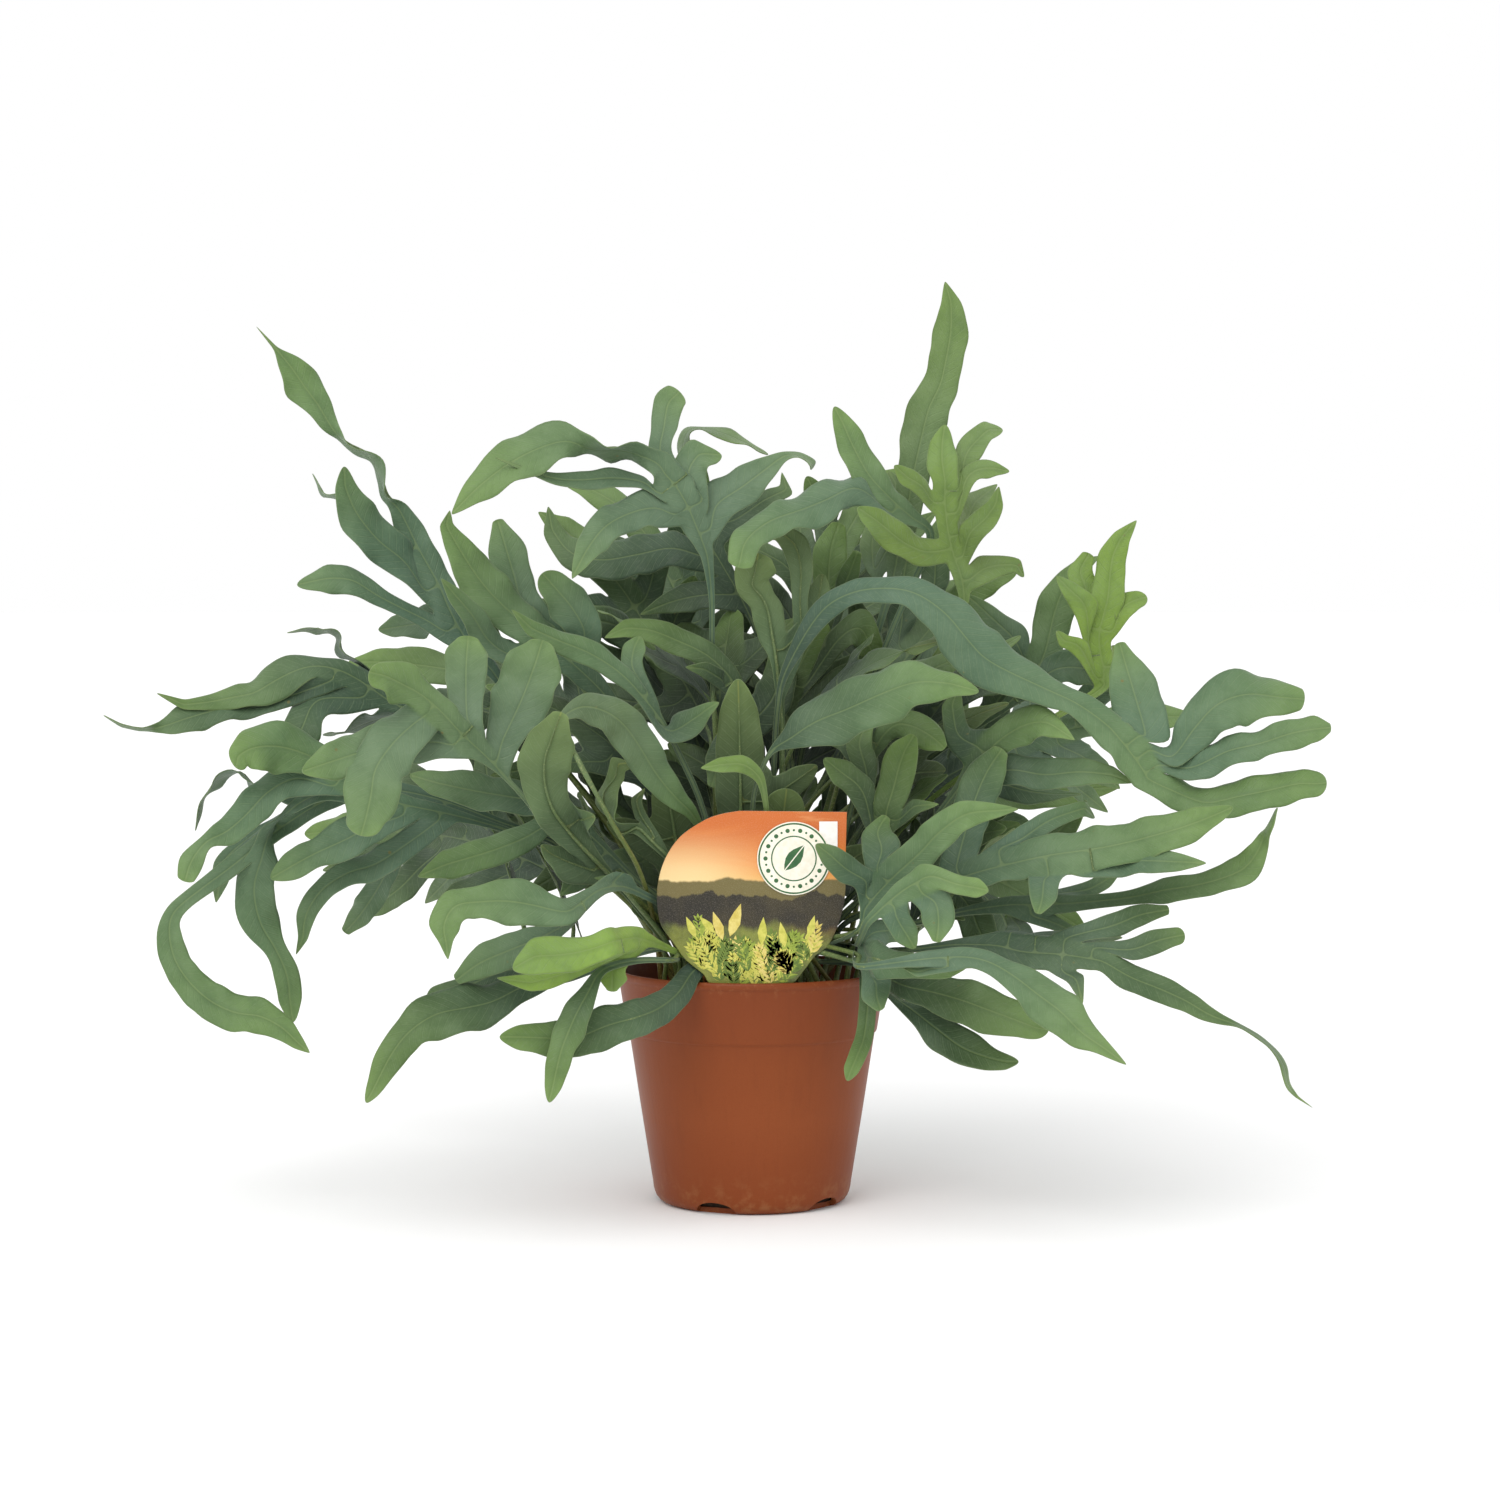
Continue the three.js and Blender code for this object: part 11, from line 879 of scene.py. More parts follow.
    # ---- stalk and midrib: one tapered tube, under the blade once it starts
    sg = -1.0 if flip else 1.0
    full = catmull(A[:, :3], 4)
    nb = b0 * 4
    T = unit(np.gradient(full, axis=0))
    Eall = catmull(A[:, 3:6], 4)
    NN = unit(np.cross(T, Eall)) * sg
    sl = arclen(full)
    x = np.clip((sl - sl[nb]) / max(sl[-1] - sl[nb], 1), 0, 1)
    r0 = 1.28 if len(lobes) > 1 else 1.05
    Rr = np.where(np.arange(len(full)) < nb, r0 * (1.12 - 0.22 * sl / max(sl[nb], 1)), r0 * 0.9 * (1 - x) ** 0.8 + 0.16)
    off = np.clip((sl - sl[nb] + 4) / 10, 0, 1) * (Rr + 0.12)
    path = full - NN * off[:, None]
    foot = full[0] - np.array([0, 0, 5.0])
    path = np.vstack([foot[None], path])
    Rr = np.concatenate([[r0 * 1.15], Rr])
    tv, tf = tube(path, Rr, 8)
    yy = np.concatenate([[0], np.clip(sl / max(sl[nb], 1), 0, 1)])
    ya = np.repeat(yy, 8)
    for P, nn, ra, rb in tubes:
        m = len(P)
        rr = np.linspace(ra, rb, m)
        v2, f2 = tube(P - nn * sg * (rr + 0.10)[:, None], rr, 6)
        tf += [tuple(i + len(tv) for i in f) for f in f2]
        tv = np.vstack([tv, v2])
        ya = np.concatenate([ya, np.ones(len(v2))])
    make(name + "_stalk", tv, tf, [STALK], attrs={"young": ya})


for i, fr in enumerate(FRONDS):
    build_frond(fr, 100 + i)


def inner_leaf(name, rng):
    """a short dark lobed leaf in the heart of the crown, darkened further by painted shade, aimed at a random place
    there
    """
    mid = np.array([rng.normal(14, 42), rng.uniform(-34, 74), rng.uniform(140, 246)])
    foot = np.array([mid[0] * 0.22 + rng.normal(0, 7), 4 + mid[1] * 0.25 + rng.normal(0, 6), 112.0])
    out = np.array([mid[0] - foot[0], mid[1] - foot[1], 0])
    if np.linalg.norm(out) < 5:
        out = np.array([rng.normal(), rng.normal(), 0])
    out /= np.linalg.norm(out)
    half = rng.uniform(34, 50)
    lean = rng.uniform(0.15, 1.1)
    way = unit((out * lean + np.array([0, 0, 1.0]))[None])[0]
    a, b = mid - way * half, mid + way * half * 0.9 + out * half * 0.35 * lean - np.array([0, 0, half * 0.25 * lean])
    ctrl = foot + np.array([0, 0, max(12.0, (a[2] - foot[2]) * 0.7)])
    P = [(1 - t) ** 2 * foot + 2 * t * (1 - t) * ctrl + t * t * a for t in (0, 0.5)]
    m = 2 * mid - (a + b) / 2
    P += [(1 - t) ** 2 * a + 2 * t * (1 - t) * m + t * t * b for t in np.linspace(0, 0.86, 6)]
    P, tip = np.array(P), b
    T = unit(np.gradient(P, axis=0))
    turn = rng.normal(0, 0.5)
    side = unit(np.cross(T, np.array([0, 0, 1.0]) * 0.35 + out))
    side = unit(side * math.cos(turn) + np.cross(T, side) * math.sin(turn))
    w = rng.uniform(8.5, 12.5)
    W = np.array([0.9, 0.9, 1.6, w * 0.72, w, w, w * 0.9, w * 0.68])
    rows = [tuple(P[i]) + tuple(side[i] * W[i]) for i in range(len(P))]
    lobes = []
    for sd, at in ((1, 4), (-1, 5), (1, 6), (-1, 4))[:int(rng.integers(1, 4))]:
        if any(l[0] == sd and abs(l[1] - at) < 2 for l in lobes):
            continue
        base = P[at] + sd * side[at] * W[at]
        go = unit((sd * side[at] * 0.85 + T[at] * 0.75 - np.array([0, 0, 0.15]))[None])[0]
        back = -unit((T[at] - go * (T[at] @ go))[None])[0]
        L, lw = rng.uniform(15, 24), rng.uniform(6.0, 8.0)
        lr = [tuple(base + go * L * 0.5) + tuple(back * lw), tuple(base + go * L) + tuple(back * lw * 0.8)]
        lobes.append((sd, at, tuple(base + go * L * 1.5), lr))
    return (name, float(rng.uniform(0.25, 0.6)), 3, tuple(tip), rows, lobes)


# seeds whose leaf stays clear of the fronds and of the other inner leaves
CLEAR = [5, 12, 29, 149, 194, 202, 237, 541, 598, 831, 1142, 1446, 1640, 1820, 2837, 3057, 3136, 3230, 3499, 3576, 3760, 4712, 5412, 5824, 6150, 6466, 6842, 8179, 8597, 11318, 11609, 13183, 13455]
INNER = [inner_leaf("inner_leaf_%02d" % (i + 1), np.random.default_rng(k)) for i, k in enumerate(CLEAR)]
for i, fr in enumerate(INNER):
    build_frond(fr, 900 + i, own=False)

# ---------------------------------------------------------------- pot
RIM_R, POT_H = 60.0, 103.0
PROFILE = [(0, 0), (37.4, 0), (38.6, 0.1), (40.2, 0.55), (41.4, 1.35), (42.6, 2.9), (43.2, 4.4), (43.7, 6.4), (44.0, 8.8),
           (46.6, 25), (49.3, 42), (51.9, 59), (54.25, 74.2), (54.38, 75.0), (54.62, 75.4), (55.2, 75.9), (55.45, 76.7), (56.6, 84), (57.9, 92), (58.95, 98.9),
           (59.15, 99.5), (59.65, 99.95), (59.95, 100.6), (60.0, 101.5), (59.85, 102.35), (59.45, 102.85), (58.8, 103.0), (58.2, 102.9), (57.9, 102.5), (57.75, 101.5),
           (57.4, 99), (56.2, 91), (54.1, 77.2), (53.6, 76.2), (53.05, 75), (50.4, 58), (47.8, 41), (45.1, 25), (42.6, 9), (42.0, 6.4), (41.0, 4.4), (39.8, 3.1), (38.4, 2.3), (0, 2.2)]
SEG = 240


def lathe(profile, seg, dent=None):
    V, F = [], []
    ring = []
    for r, z in profile:
        if r < 1e-6:
            ring.append([len(V)])
            V.append((0, 0, z))
        else:
            a = []
            for k in range(seg):
                w = 2 * math.pi * k / seg
                rr = r
                if dent:
                    rr += dent(r, z, w)
                a.append(len(V))
                V.append((rr * math.cos(w), rr * math.sin(w), z))
            ring.append(a)
    for a, b in zip(ring[:-1], ring[1:]):
        if len(a) == 1 and len(b) == 1:
            continue
        for k in range(seg):
            q = (k + 1) % seg
            if len(a) == 1:
                F.append((a[0], b[q], b[k]))
            elif len(b) == 1:
                F.append((a[k], a[q], b[0]))
            else:
                F.append((a[k], a[q], b[q], b[k]))
    return np.array(V, float), F


def tool_mesh(name, V, F):
    me = bpy.data.meshes.new(name)
    me.from_pydata([tuple(v) for v in np.asarray(V) * MM], [], F)
    me.update()
    o = bpy.data.objects.new(name, me)
    bpy.context.scene.collection.objects.link(o)
    return o


pv, pf = lathe(PROFILE, SEG)
pot = make("pot_shell", pv, pf, [POT], replaces=("pot",))
# arched recesses round the foot and the drain holes, cut from the lathe
cut_v, cut_f = [], []


def add_tool(V, F):
    base = len(cut_v)
    cut_v.extend([tuple(v) for v in V])
    cut_f.extend([tuple(i + base for i in f) for f in F])


def prism(outline, r0, r1, ang):
    """outline (t, z) across the radius at an angle, from r0 to r1"""
    ca, sa = math.cos(ang), math.sin(ang)
    V = []
    for r in (r0, r1):
        for t, z in outline:
            V.append((r * ca - t * sa, r * sa + t * ca, z))
    n = len(outline)
    F = [tuple(range(n))[::-1], tuple(range(n, 2 * n))]
    for k in range(n):
        q = (k + 1) % n
        F.append((k, q, n + q, n + k))
    return V, F


for k in range(5):
    a = math.radians(-112.7 + 72 * k)
    arch = [(-9.25, -3), (9.25, -3)] + [(9.25 * math.cos(t) , 5.4 * max(math.sin(t), 0) ** 0.8) for t in np.linspace(0, math.pi, 19)]
    add_tool(*prism(arch, 37.5, 52, a))
for k in range(6):
    a = math.radians(30 + 60 * k)
    cx, cy = 24 * math.cos(a), 24 * math.sin(a)
    ring = [(cx + 3.4 * math.cos(t), cy + 3.4 * math.sin(t)) for t in np.linspace(0, 2 * math.pi, 33)[:-1]]
    V = [(x, y, -2) for x, y in ring] + [(x, y, 5) for x, y in ring]
    n = 32
    F = [tuple(range(n))[::-1], tuple(range(n, 2 * n))] + [(i, (i + 1) % n, n + (i + 1) % n, n + i) for i in range(n)]
    add_tool(V, F)
tool = tool_mesh("pot_cutter", cut_v, cut_f)
bm = pot.modifiers.new("cut", "BOOLEAN")
bm.operation, bm.solver, bm.object = "DIFFERENCE", "EXACT", tool
dg = bpy.context.evaluated_depsgraph_get()
cut = bpy.data.meshes.new_from_object(pot.evaluated_get(dg))
pot.modifiers.clear()
old = pot.data
pot.data = cut
bpy.data.meshes.remove(old)
bpy.data.objects.remove(tool)
pot.data.materials.clear()
pot.data.materials.append(POT)
pot.data.shade_smooth()
try:
    pot.data.set_sharp_from_angle(angle=math.radians(48))
except Exception:
    pass

# ---------------------------------------------------------------- potting mix
MIX_TOP, MIX_R = 87.8, 55.2
rng = np.random.default_rng(5)


def hash_noise(x, y, seed):
    r = np.random.default_rng(seed)
    out = np.zeros_like(x)
    for _ in range(26):
        f = r.uniform(0.12, 0.75)
        a = r.uniform(0, 6.283)
        out += np.sin(f * (x * math.cos(a) + y * math.sin(a)) * 2.2 + r.uniform(0, 6.283)) / (1 + 2.5 * f)
    return out / 5.0


NR, NA = 46, 150
sv, sf = [], []
for i in range(NR + 1):
    r = MIX_R * (i / NR) ** 0.8
    for k in range(NA):
        w = 2 * math.pi * k / NA
        sv.append((r * math.cos(w), r * math.sin(w), 0))
sv = np.array(sv, float)
edge = np.clip((MIX_R - np.hypot(sv[:, 0], sv[:, 1])) / 5, 0, 1)
sv[:, 2] = MIX_TOP - 0.9 + (1.1 * hash_noise(sv[:, 0], sv[:, 1], 3) + 0.5 * hash_noise(sv[:, 0] * 3.1, sv[:, 1] * 3.1, 4)) * edge - 0.8 * (1 - edge)
sv[:NA, 2] = sv[:NA, 2].mean()
for i in range(NR):
    for k in range(NA):
        q = (k + 1) % NA
        sf.append((i * NA + k, (i + 1) * NA + k, (i + 1) * NA + q, i * NA + q))
# the side goes down inside the pot to the floor
lowring = []
top0 = NR * NA
for rr, zz in ((54.4, 80), (48.4, 45), (42.3, 9.4), (38.2, 2.7)):
    a = len(sv)
    sv = np.vstack([sv, [(rr * math.cos(2 * math.pi * k / NA), rr * math.sin(2 * math.pi * k / NA), zz) for k in range(NA)]])
    for k in range(NA):
        q = (k + 1) % NA
        sf.append((top0 + k, a + k, a + q, top0 + q))
    top0 = a
sf.append(tuple(top0 + k for k in range(NA))[::-1])
make("mix_body", sv, sf, [SOIL], replaces=("potting_mix",))


def mix_height(x, y):
    e = np.clip((MIX_R - np.hypot(x, y)) / 5, 0, 1)
    return MIX_TOP - 0.9 + (1.1 * hash_noise(x, y, 3) + 0.5 * hash_noise(x * 3.1, y * 3.1, 4)) * e - 0.8 * (1 - e)


ICO = None


def ico_points():
    t = (1 + 5 ** 0.5) / 2
    v = [(-1, t, 0), (1, t, 0), (-1, -t, 0), (1, -t, 0), (0, -1, t), (0, 1, t), (0, -1, -t), (0, 1, -t), (t, 0, -1), (t, 0, 1), (-t, 0, -1), (-t, 0, 1)]
    f = [(0, 11, 5), (0, 5, 1), (0, 1, 7), (0, 7, 10), (0, 10, 11), (1, 5, 9), (5, 11, 4), (11, 10, 2), (10, 7, 6), (7, 1, 8),
         (3, 9, 4), (3, 4, 2), (3, 2, 6), (3, 6, 8), (3, 8, 9), (4, 9, 5), (2, 4, 11), (6, 2, 10), (8, 6, 7), (9, 8, 1)]
    return np.array(v, float) / math.sqrt(1 + t * t), f


IV, IF = ico_points()


def rand_rot(r, flat=1.0):
    a = r.uniform(0, 6.283)
    tx, ty = r.normal(0, 0.5 * flat, 2)
    Rz = np.array([[math.cos(a), -math.sin(a), 0], [math.sin(a), math.cos(a), 0], [0, 0, 1]])
    Rx = np.array([[1, 0, 0], [0, math.cos(tx), -math.sin(tx)], [0, math.sin(tx), math.cos(tx)]])
    Ry = np.array([[math.cos(ty), 0, math.sin(ty)], [0, 1, 0], [-math.sin(ty), 0, math.cos(ty)]])
    return Rz @ Rx @ Ry


def scatter(n, size, shape, seed, lift):
    r = np.random.default_rng(seed)
    V, F = [], []
    done = 0
    while done < n:
        a, q = r.uniform(0, 6.283), MIX_R * math.sqrt(r.uniform(0, 1)) * 0.985
        x, y = q * math.cos(a), q * math.sin(a)
        s = r.uniform(*size)
        if abs(x) < 10.5 and -57 < y < -51.5:
            continue
        if np.hypot(x, y) + s * 0.6 > MIX_R:
            continue
        dims = np.array(shape) * s * r.uniform(0.75, 1.25, 3) * 0.5
        P = IV * dims * r.uniform(0.78, 1.2, (12, 1))
        P = P @ rand_rot(r).T
        z = float(mix_height(np.array([x]), np.array([y]))[0])
        P = P + np.array([x, y, z + lift * s])
        base = len(V) * 12
        V.append(P)
        F += [tuple(i + base for i in f) for f in IF]
        done += 1
    return np.vstack(V), F


bv, bf = scatter(1500, (1.6, 4.6), (1.25, 0.8, 0.5), 11, 0.08)
make("bark_chips", bv, bf, [BARK], smooth=False)
cv, cf = scatter(2600, (0.7, 1.7), (1.1, 0.9, 0.8), 12, 0.05)
make("peat_crumbs", cv, cf, [SOIL], smooth=False)
wv, wf = scatter(110, (0.9, 2.1), (1, 0.95, 0.9), 13, 0.1)
make("perlite_grains", wv, wf, [PERLITE], smooth=False)
# fibres
fv, ff = np.zeros((0, 3)), []
for k in range(170):
    a, q = rng.uniform(0, 6.283), 52 * math.sqrt(rng.uniform(0, 1))
    x, y = q * math.cos(a), q * math.sin(a)
    if abs(x) < 12 and y < -46:
        continue
    th, bend, L = rng.uniform(0, 6.283), rng.normal(0, 0.12), rng.uniform(6, 20)
    pts = []
    for i in range(8):
        rr = min(np.hypot(x, y), 53.5) / max(np.hypot(x, y), 1e-6)
        x, y = x * rr, y * rr
        pts.append((x, y, float(mix_height(np.array([x]), np.array([y]))[0]) + 0.55 + 0.5 * math.sin(i * 0.9 + k)))
        x += L / 7 * math.cos(th)
        y += L / 7 * math.sin(th)
        th += bend + rng.normal(0, 0.15)
    v2, f2 = tube(catmull(np.array(pts), 2), np.full(15, rng.uniform(0.12, 0.24)), 5)
    ff += [tuple(i + len(fv) for i in f) for f in f2]
    fv = np.vstack([fv, v2])
make("mix_fibres", fv, ff, [FIBRE])

# ---------------------------------------------------------------- rhizomes
RHIZOMES = [(5.0, [(-23.9, 17.0), (-20.9, 24.8), (-16.5, 32.0), (-10.9, 38.2), (-4.3, 43.2), (3.1, 47.0)]),
            (5.0, [(12.6, -28.4), (7.5, -24.7), (1.8, -22.0), (-4.2, -20.4), (-10.4, -19.8), (-16.7, -20.3)]),
            (3.6, [(-38.1, 20.0), (-39.7, 12.8), (-41.1, 5.5), (-42.3, -1.7), (-43.5, -9.1), (-44.4, -16.4)])]
for i, (radius, pts) in enumerate(RHIZOMES):
    P = catmull(np.array([(x, y, MIX_TOP + 0.35 + radius) for x, y in pts], float), 3)
    s = arclen(P)
    t = s / s[-1]
    r = radius * (0.9 + 0.06 * np.sin(s * 0.55 + i) + 0.04 * np.sin(s * 1.3))
    r = r * np.clip(np.minimum(t, 1 - t) / 0.09, 0.0, 1) ** 0.5
    r = np.maximum(r, 0.4)
    v, f = tube(P, r, 14)
    young = np.full(len(v), 0.25)
    rr = np.random.default_rng(40 + i)
    T = unit(np.gradient(P, axis=0))
    # narrow papery scales, laid along the rhizome like shingles
    sv2, sf2, sy = [], [], []
    for k in range(int(s[-1] * 17)):
        u = rr.uniform(0.01, 0.99)
        j = int(u * (len(P) - 1))
        a = rr.uniform(0, 6.283)
        side = unit(np.cross(T[j], [0, 0, 1]))
        upv = np.cross(side, T[j])
        nrm = math.cos(a) * side + math.sin(a) * upv
        tan = np.cross(nrm, T[j])
        L, w = rr.uniform(1.8, 3.6), rr.uniform(0.25, 0.5)
        p0 = P[j] + nrm * r[j] * 0.97
        d = unit(T[j] * rr.choice([1, 1, 1, -1]) + 0.35 * rr.normal(0, 1) * tan + nrm * rr.uniform(0.12, 0.42))
        p1 = p0 + d * L * 0.5 + nrm * 0.18
        p2 = p0 + d * L + nrm * rr.uniform(-0.1, 0.35)
        if min(p0[2], p1[2], p2[2]) < MIX_TOP + 0.1:
            continue
        b = len(sv2)
        sv2 += [p0 - tan * w * 0.6, p0 + tan * w * 0.6, p1 - tan * w, p1 + tan * w, p2]
        sf2 += [(b, b + 1, b + 3, b + 2), (b + 2, b + 3, b + 4)]
        tone = rr.uniform(0, 1)
        sy += [tone * 0.6, tone * 0.6, tone * 0.8, tone * 0.8, min(1, tone + 0.25)]
    f = list(f) + [tuple(q + len(v) for q in g) for g in sf2]
    v = np.vstack([v, np.array(sv2)])
    young = np.concatenate([young, sy])
    make("rhizome_%d_scaly" % (i + 1), v, f, [SCALE], attrs={"young": young}, replaces=("rhizome_%d" % (i + 1),))

# ---------------------------------------------------------------- label
LABEL_Y, LABEL_T = -53.4, 0.8
OUT = [(-5.6, 176.3), (40.4, 175.8), (40, 160), (39.6, 139.5), (36.7, 127.5), (32.4, 118.5), (26.9, 114.2), (22.6, 108.6), (18.3, 103.1),
       (13, 98.5), (8.5, 90), (6.5, 82), (0, 79), (-6.5, 82), (-8.5, 90), (-13, 98.5), (-18.8, 103.1), (-21, 106.5), (-28.7, 112.9), (-34.2, 120.7),
       (-38.9, 127.5), (-40.6, 137.4), (-40.1, 145.9), (-37.1, 155.8), (-30.7, 165.2), (-20.9, 172), (-13.7, 174.8)]


def smooth_outline(pts, corner, k=6):
    """closed outline through the points; the listed points stay square corners with a small radius"""
    n = len(pts)
    P = np.array(pts, float)
    out = []
    for i in range(n):
        p0, p1, p2, p3 = P[(i - 1) % n], P[i], P[(i + 1) % n], P[(i + 2) % n]
        if i in corner:
            p0 = 2 * p1 - p2
        if (i + 1) % n in corner:
            p3 = 2 * p2 - p1
        for j in range(k):
            u = j / k
            out.append(0.5 * (2 * p1 + (-p0 + p2) * u + (2 * p0 - 5 * p1 + 4 * p2 - p3) * u * u + (-p0 + 3 * p1 - 3 * p2 + p3) * u ** 3))
    return np.array(out)


def inset(pts, d):
    n = len(pts)
    T = unit(np.roll(pts, -1, 0) - np.roll(pts, 1, 0))
    area = 0.5 * np.sum(pts[:, 0] * np.roll(pts[:, 1], -1) - np.roll(pts[:, 0], -1) * pts[:, 1])
    N = np.stack([-T[:, 1], T[:, 0]], -1) * (1 if area > 0 else -1)
    return pts + N * d


def plate(outline, y_front, thick, bevel=0.18):
    """a thin upright plate with softened edges; the front is the first cap"""
    a = inset(outline, bevel)
    rings = [(a, y_front), (outline, y_front + bevel), (outline, y_front + thick - bevel), (a, y_front + thick)]
    V, F = [], []
    n = len(outline)
    for p, y in rings:
        V += [(q[0], y, q[1]) for q in p]
    for r in range(3):
        for k in range(n):
            q = (k + 1) % n
            F.append((r * n + k, (r + 1) * n + k, (r + 1) * n + q, r * n + q))
    area = 0.5 * np.sum(outline[:, 0] * np.roll(outline[:, 1], -1) - np.roll(outline[:, 0], -1) * outline[:, 1])
    cap0, cap1 = tuple(range(n)), tuple(3 * n + k for k in range(n))
    if area > 0:        # counter-clockwise in x, z: seen from -y this is the front
        F.append(cap0)
        F.append(cap1[::-1])
    else:
        F = [f[::-1] for f in F]
        F.append(cap0[::-1])
        F.append(cap1)
    if area > 0:
        F = [f if len(f) > 4 else f[::-1] for f in F]
    else:
        F = [f if len(f) > 4 else f[::-1] for f in F]
    return np.array(V), F


def label_material():
    m = Mat("label_print", 0.36, 0.4)
    c = m.coord()
    sep = m.n("SeparateXYZ")
    m.link(c, sep.inputs[0])
    x, z = sep.outputs[0], sep.outputs[2]
    zz = m.smooth(z, 0.098, 0.176)
    n1 = m.noise(45, 4, 0.6)
    st = m.n("Mapping")
    st.inputs["Scale"].default_value = (16, 1, 70)
    m.link(c, st.inputs["Vector"])
    cloud = m.noise(1.0, 5, 0.6, st.outputs[0], 0.6)
    sky = m.ramp(m.math("ADD", zz, m.math("MULTIPLY", m.math("SUBTRACT", cloud, 0.5), 0.22)),
                 [(0.30, srgb("#b28a3c")), (0.44, srgb("#d9b15c")), (0.56, srgb("#eacb86")), (0.68, srgb("#e2a455")), (0.82, srgb("#dd8438")), (0.96, srgb("#c96a2b"))])
    # the left of the sky is paler, as towards a low sun
    warm = m.math("MULTIPLY", m.smooth(x, 0.018, -0.030), m.smooth(z, 0.172, 0.146))
    sky = m.mix(m.math("MULTIPLY", warm, 0.75), sky, srgb("#f4dfa6"))
    sky = m.mix(m.smooth(cloud, 0.56, 0.74, 0.0, 0.5), sky, srgb("#f0bd7c"))
    # low hills, two ridges, in x with a noisy crest
    def ridge(base, amp, freq, seed):
        v = m.n("CombineXYZ")
        m.link(m.math("MULTIPLY_ADD", x, freq, seed), v.inputs[0])
        nn = m.noise(1.0, 5, 0.6, v.outputs[0])
        return m.math("ADD", base, m.math("MULTIPLY", m.math("SUBTRACT", nn, 0.5), amp))
    r1 = ridge(0.1470, 0.014, 26, 3.1)
    r2 = ridge(0.1400, 0.018, 60, 9.7)
    r3 = ridge(0.1275, 0.022, 44, 5.2)
    col = m.mix(m.smooth(m.math("SUBTRACT", r1, z), -0.0006, 0.0006), sky, srgb("#6f6438"))
    dark = m.mix(m.smooth(n1, 0.35, 0.65), srgb("#231f16"), srgb("#3c3520"))
    col = m.mix(m.smooth(m.math("SUBTRACT", r2, z), -0.0005, 0.0005), col, dark)
    low = m.mix(m.smooth(m.noise(90, 4, 0.6), 0.35, 0.65), srgb("#4c5524"), srgb("#7c8234"))
    low = m.mix(m.math("MULTIPLY", m.smooth(x, 0.005, 0.035), m.smooth(z, 0.118, 0.132)), low, srgb("#6b3a26"))
    col = m.mix(m.smooth(m.math("SUBTRACT", r3, z), -0.001, 0.003), col, low)
    # printed dots, very fine
    col = m.mix(m.smooth(m.noise(2600, 1, 0.5), 0.5, 0.7, 0.0, 0.06), col, srgb("#fff4dc"))
    m.link(col, m.p.inputs["Base Color"])
    m.link(m.smooth(n1, 0.3, 0.7, 0.30, 0.42), m.p.inputs["Roughness"])
    m.link(m.bump(m.noise(160, 2, 0.5), 0.08, 0.0003), m.p.inputs["Normal"])
    return m.m


def print_material(name, a, b, rough=0.38, scale=400):
    m = Mat(name, rough, 0.4)
    n1 = m.noise(scale, 3, 0.6)
    m.link(m.mix(m.smooth(n1, 0.3, 0.7), srgb(a), srgb(b)), m.p.inputs["Base Color"])
    m.link(m.smooth(n1, 0.2, 0.8, rough - 0.04, rough + 0.06), m.p.inputs["Roughness"])
    m.link(m.bump(m.noise(300, 2, 0.5), 0.05, 0.0003), m.p.inputs["Normal"])
    return m.m


LABEL = label_material()
LABEL_BACK = print_material("label_back", "#efece4", "#f7f5ef")
outline = smooth_outline(OUT, {0, 1})
lv, lf = plate(outline, LABEL_Y - LABEL_T / 2, LABEL_T)
n_out = len(outline)
fm = [1] * len(lf)
for k, f in enumerate(lf):
    ys = [lv[i][1] for i in f]
    if max(ys) <= LABEL_Y - LABEL_T / 2 + 0.19:
        fm[k] = 0
label = make("label_board", lv, lf, [LABEL, LABEL_BACK], face_mat=fm, smooth=False, replaces=("label",))

# printed foliage: sprays of pointed leaves low on the label, a thin raised print
LEAF_A = print_material("print_leaf_a", "#b9b84a", "#d3cd63")
LEAF_B = print_material("print_leaf_b", "#869a35", "#a0ad45")
LEAF_C = print_material("print_leaf_c", "#59702a", "#6f8433")
LEAF_D = print_material("print_leaf_d", "#c9b552", "#e0cf7a")


def inside(p, poly):
    x, z = p
    c = False
    j = len(poly) - 1
    for i in range(len(poly)):
        xi, zi = poly[i]
        xj, zj = poly[j]
        if (zi > z) != (zj > z) and x < (xj - xi) * (z - zi) / (zj - zi) + xi:
            c = not c
        j = i
    return c


IN = inset(outline, 0.9)
y_print = LABEL_Y - LABEL_T / 2 - 0.03
dv, df, dm = [], [], []
rp = np.random.default_rng(77)


def decal_leaf(x, z, ang, L, w, mat, layer):
    ca, sa = math.cos(ang), math.sin(ang)
    prof = [(0, 0), (0.18, 0.62), (0.42, 1.0), (0.7, 0.66), (1, 0), (0.7, -0.66), (0.42, -1.0), (0.18, -0.62)]
    pts = [(x + ca * L * a - sa * w * b, z + sa * L * a + ca * w * b) for a, b in prof]
    if not all(inside(p, IN) for p in pts):
        return
    b = len(dv)
    yy = y_print - 0.006 * layer
    dv.extend([(px, yy, pz) for px, pz in pts])
    df.append(tuple(b + i for i in range(8)))
    dm.append(mat)


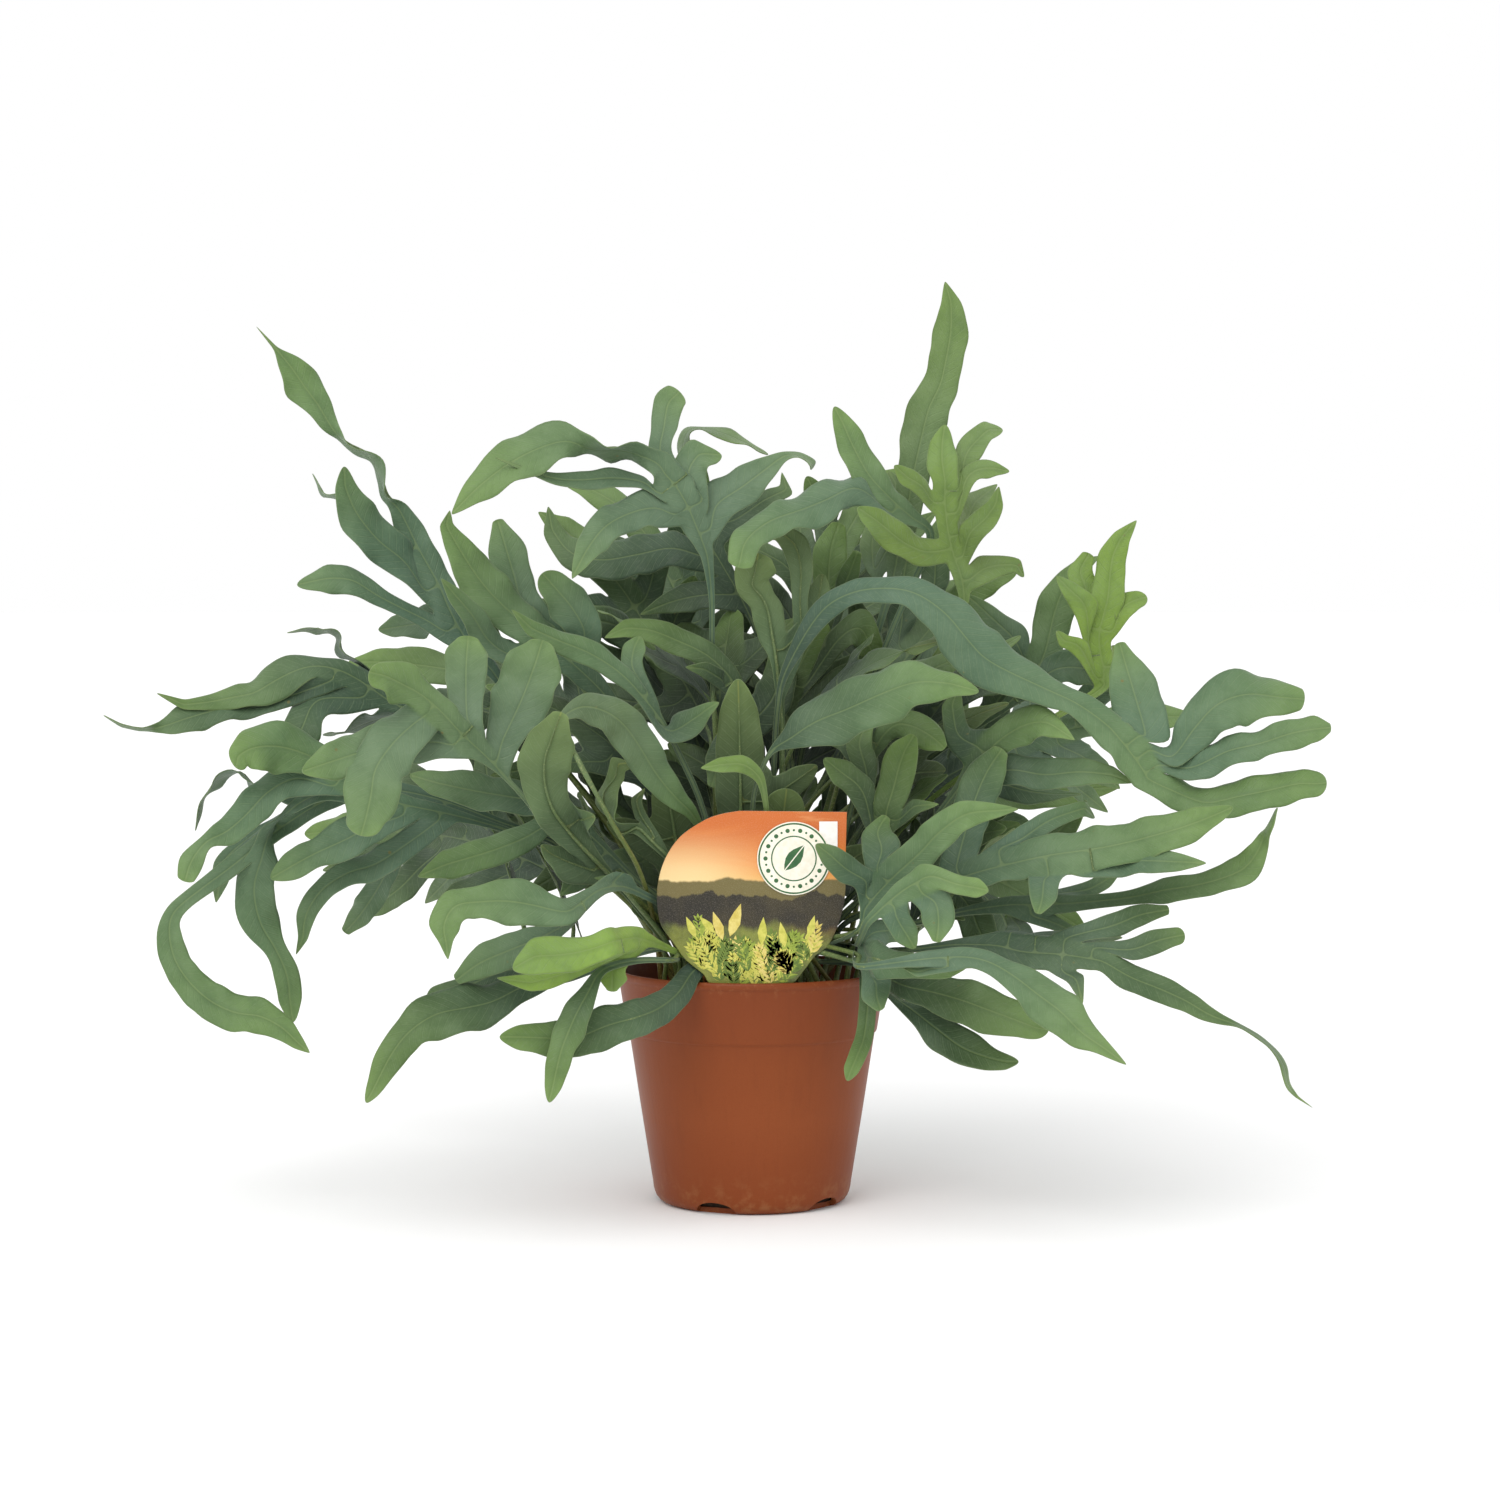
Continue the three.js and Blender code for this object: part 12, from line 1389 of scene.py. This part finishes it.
layer = 0
for k in range(72):
    x0 = rp.uniform(-26, 26)
    z0 = 101 + 0.030 * x0 * x0 * 0.4 + rp.uniform(-2, 8)
    stem = math.pi / 2 + rp.normal(0, 0.42)
    L = rp.uniform(9, 19)
    mat = int(rp.choice([0, 0, 1, 1, 2, 3]))
    nl = int(rp.integers(6, 11))
    layer = k % 12
    for i in range(nl):
        u = (i + 1) / (nl + 1)
        px, pz = x0 + math.cos(stem) * L * u, z0 + math.sin(stem) * L * u
        ll = (4.6 * math.sin(math.pi * (0.18 + 0.72 * u)) + 0.9) * rp.uniform(0.8, 1.1)
        for sd in (1, -1):
            decal_leaf(px, pz, stem + sd * rp.uniform(0.55, 0.85), ll, 0.62, mat, layer)
    decal_leaf(x0 + math.cos(stem) * L * 0.9, z0 + math.sin(stem) * L * 0.9, stem, 3.4, 0.7, mat, layer)
for x0, z0, ang, L in ((-12.5, 121, 1.9, 13), (-9.5, 122.5, 1.25, 15), (-15.5, 124, 2.35, 10), (4, 119, 1.5, 12), (24, 122, 1.3, 10), (-24, 122, 2.0, 10), (14, 118, 1.75, 11)):
    decal_leaf(x0, z0, ang, L, L * 0.17, 3 if L > 12 else 0, 14)
decals = make("label_foliage", dv, df, [LEAF_A, LEAF_B, LEAF_C, LEAF_D], face_mat=dm, smooth=False)

# ---- badge: a plain round sticker with rings, a ring of dots and one simple leaf
BX, BZ, BR = 17.8, 156.0, 15.7
BY = LABEL_Y - LABEL_T / 2 - 0.3 - 0.4
CREAM = print_material("badge_cream", "#ece6d2", "#f6f1e2", 0.34)
GREEN = print_material("badge_green", "#2d5a34", "#3c6b3d", 0.36)
circle = np.array([(BX + BR * math.cos(t), BZ + BR * math.sin(t)) for t in np.linspace(0, 2 * math.pi, 97)[:-1]])
bv2, bf2 = plate(circle, BY, 0.4, 0.1)
make("badge_disc", bv2, bf2, [CREAM], smooth=False, replaces=("label_badge",))
gv, gf = [], []


def ring_decal(r0, r1, n=96):
    b = len(gv)
    for t in np.linspace(0, 2 * math.pi, n + 1)[:-1]:
        for r in (r0, r1):
            gv.append((BX + r * math.cos(t), BY - 0.02, BZ + r * math.sin(t)))
    for k in range(n):
        q = (k + 1) % n
        gf.append((b + 2 * k, b + 2 * q, b + 2 * q + 1, b + 2 * k + 1))


ring_decal(14.5, 15.2)
ring_decal(9.2, 9.75)
for k in range(28):
    t = 2 * math.pi * k / 28
    cx, cz = BX + 12.1 * math.cos(t), BZ + 12.1 * math.sin(t)
    big = 0.95 if k % 2 == 0 else 0.5
    b = len(gv)
    for q in range(10):
        w = 2 * math.pi * q / 10
        gv.append((cx + big * math.cos(w), BY - 0.02, cz + big * math.sin(w)))
    gf.append(tuple(b + q for q in range(10)))
# one plain oval leaf, split by its midrib
ang = math.radians(52)
for sd in (1, -1):
    b = len(gv)
    prof = [(-6.4, 0.22), (-4.4, 1.7), (-2.0, 2.9), (0.6, 3.2), (3.0, 2.5), (5.2, 1.3), (7.0, 0.22)]
    for a, w in prof:
        w = w * sd
        gv.append((BX + a * math.cos(ang) - w * math.sin(ang), BY - 0.02, BZ + a * math.sin(ang) + w * math.cos(ang)))
    for a in (4.0, 0.5, -3.0):
        w = 0.24 * sd
        gv.append((BX + a * math.cos(ang) - w * math.sin(ang), BY - 0.02, BZ + a * math.sin(ang) + w * math.cos(ang)))
    gf.append(tuple(b + q for q in range(len(prof) + 3)))
make("badge_marks", gv, gf, [GREEN], smooth=False)
wv3 = [(28.6, BY + 0.36, 159.0), (36.4, BY + 0.36, 159.0), (36.4, BY + 0.36, 171.8), (28.6, BY + 0.36, 171.8)]
make("label_blank_patch", wv3, [(0, 1, 2, 3)], [LABEL_BACK], smooth=False)

# ---------------------------------------------------------------- floor, light, camera
fl = bpy.data.meshes.new("floor")
R = 30.0
fl.from_pydata([(R * math.cos(t), R * math.sin(t), 0) for t in np.linspace(0, 2 * math.pi, 65)[:-1]], [], [tuple(range(64))])
floor = bpy.data.objects.new("floor", fl)
bpy.context.scene.collection.objects.link(floor)
fmat = Mat("floor_pale", 0.9, 0.1)
fn = fmat.noise(3.0, 2, 0.5)
fmat.link(fmat.mix(fmat.smooth(fn, 0.3, 0.7), (0.93, 0.93, 0.93, 1), (0.95, 0.95, 0.95, 1)), fmat.p.inputs["Base Color"])
fl.materials.append(fmat.m)

world = bpy.data.worlds.new("studio")
bpy.context.scene.world = world
world.use_nodes = True
bg = world.node_tree.nodes["Background"]
bg.inputs[0].default_value = (1.0, 1.0, 1.0, 1)
bg.inputs[1].default_value = 1.0


def area(name, loc, aim, size, power, color=(1, 1, 1)):
    l = bpy.data.lights.new(name, "AREA")
    l.shape = "SQUARE"
    l.size = size
    l.energy = power
    l.color = color
    o = bpy.data.objects.new(name, l)
    bpy.context.scene.collection.objects.link(o)
    o.location = loc
    o.rotation_euler = (Vector(aim) - Vector(loc)).to_track_quat("-Z", "Y").to_euler()
    return o


sun = bpy.data.lights.new("sky_soft", "SUN")
sun.energy = 0.8
sun.angle = math.radians(50)
so = bpy.data.objects.new("sky_soft", sun)
bpy.context.scene.collection.objects.link(so)
so.rotation_euler = (math.radians(34), math.radians(-14), 0)
area("key", (-0.8, -1.7, 1.5), (0, 0, 0.15), 1.2, 9, (1.0, 0.99, 0.97))

cam = bpy.data.cameras.new("camera")
cam.sensor_width = 36
cam.lens = 81.62
cam.clip_start, cam.clip_end = 0.05, 200
co = bpy.data.objects.new("camera", cam)
bpy.context.scene.collection.objects.link(co)
co.location = (-0.0009, -1.5, 0.273)
co.rotation_euler = (math.radians(87.2), 0, 0)
bpy.context.scene.camera = co
bpy.context.scene.view_settings.view_transform = "Standard"
bpy.context.scene.view_settings.look = "None"
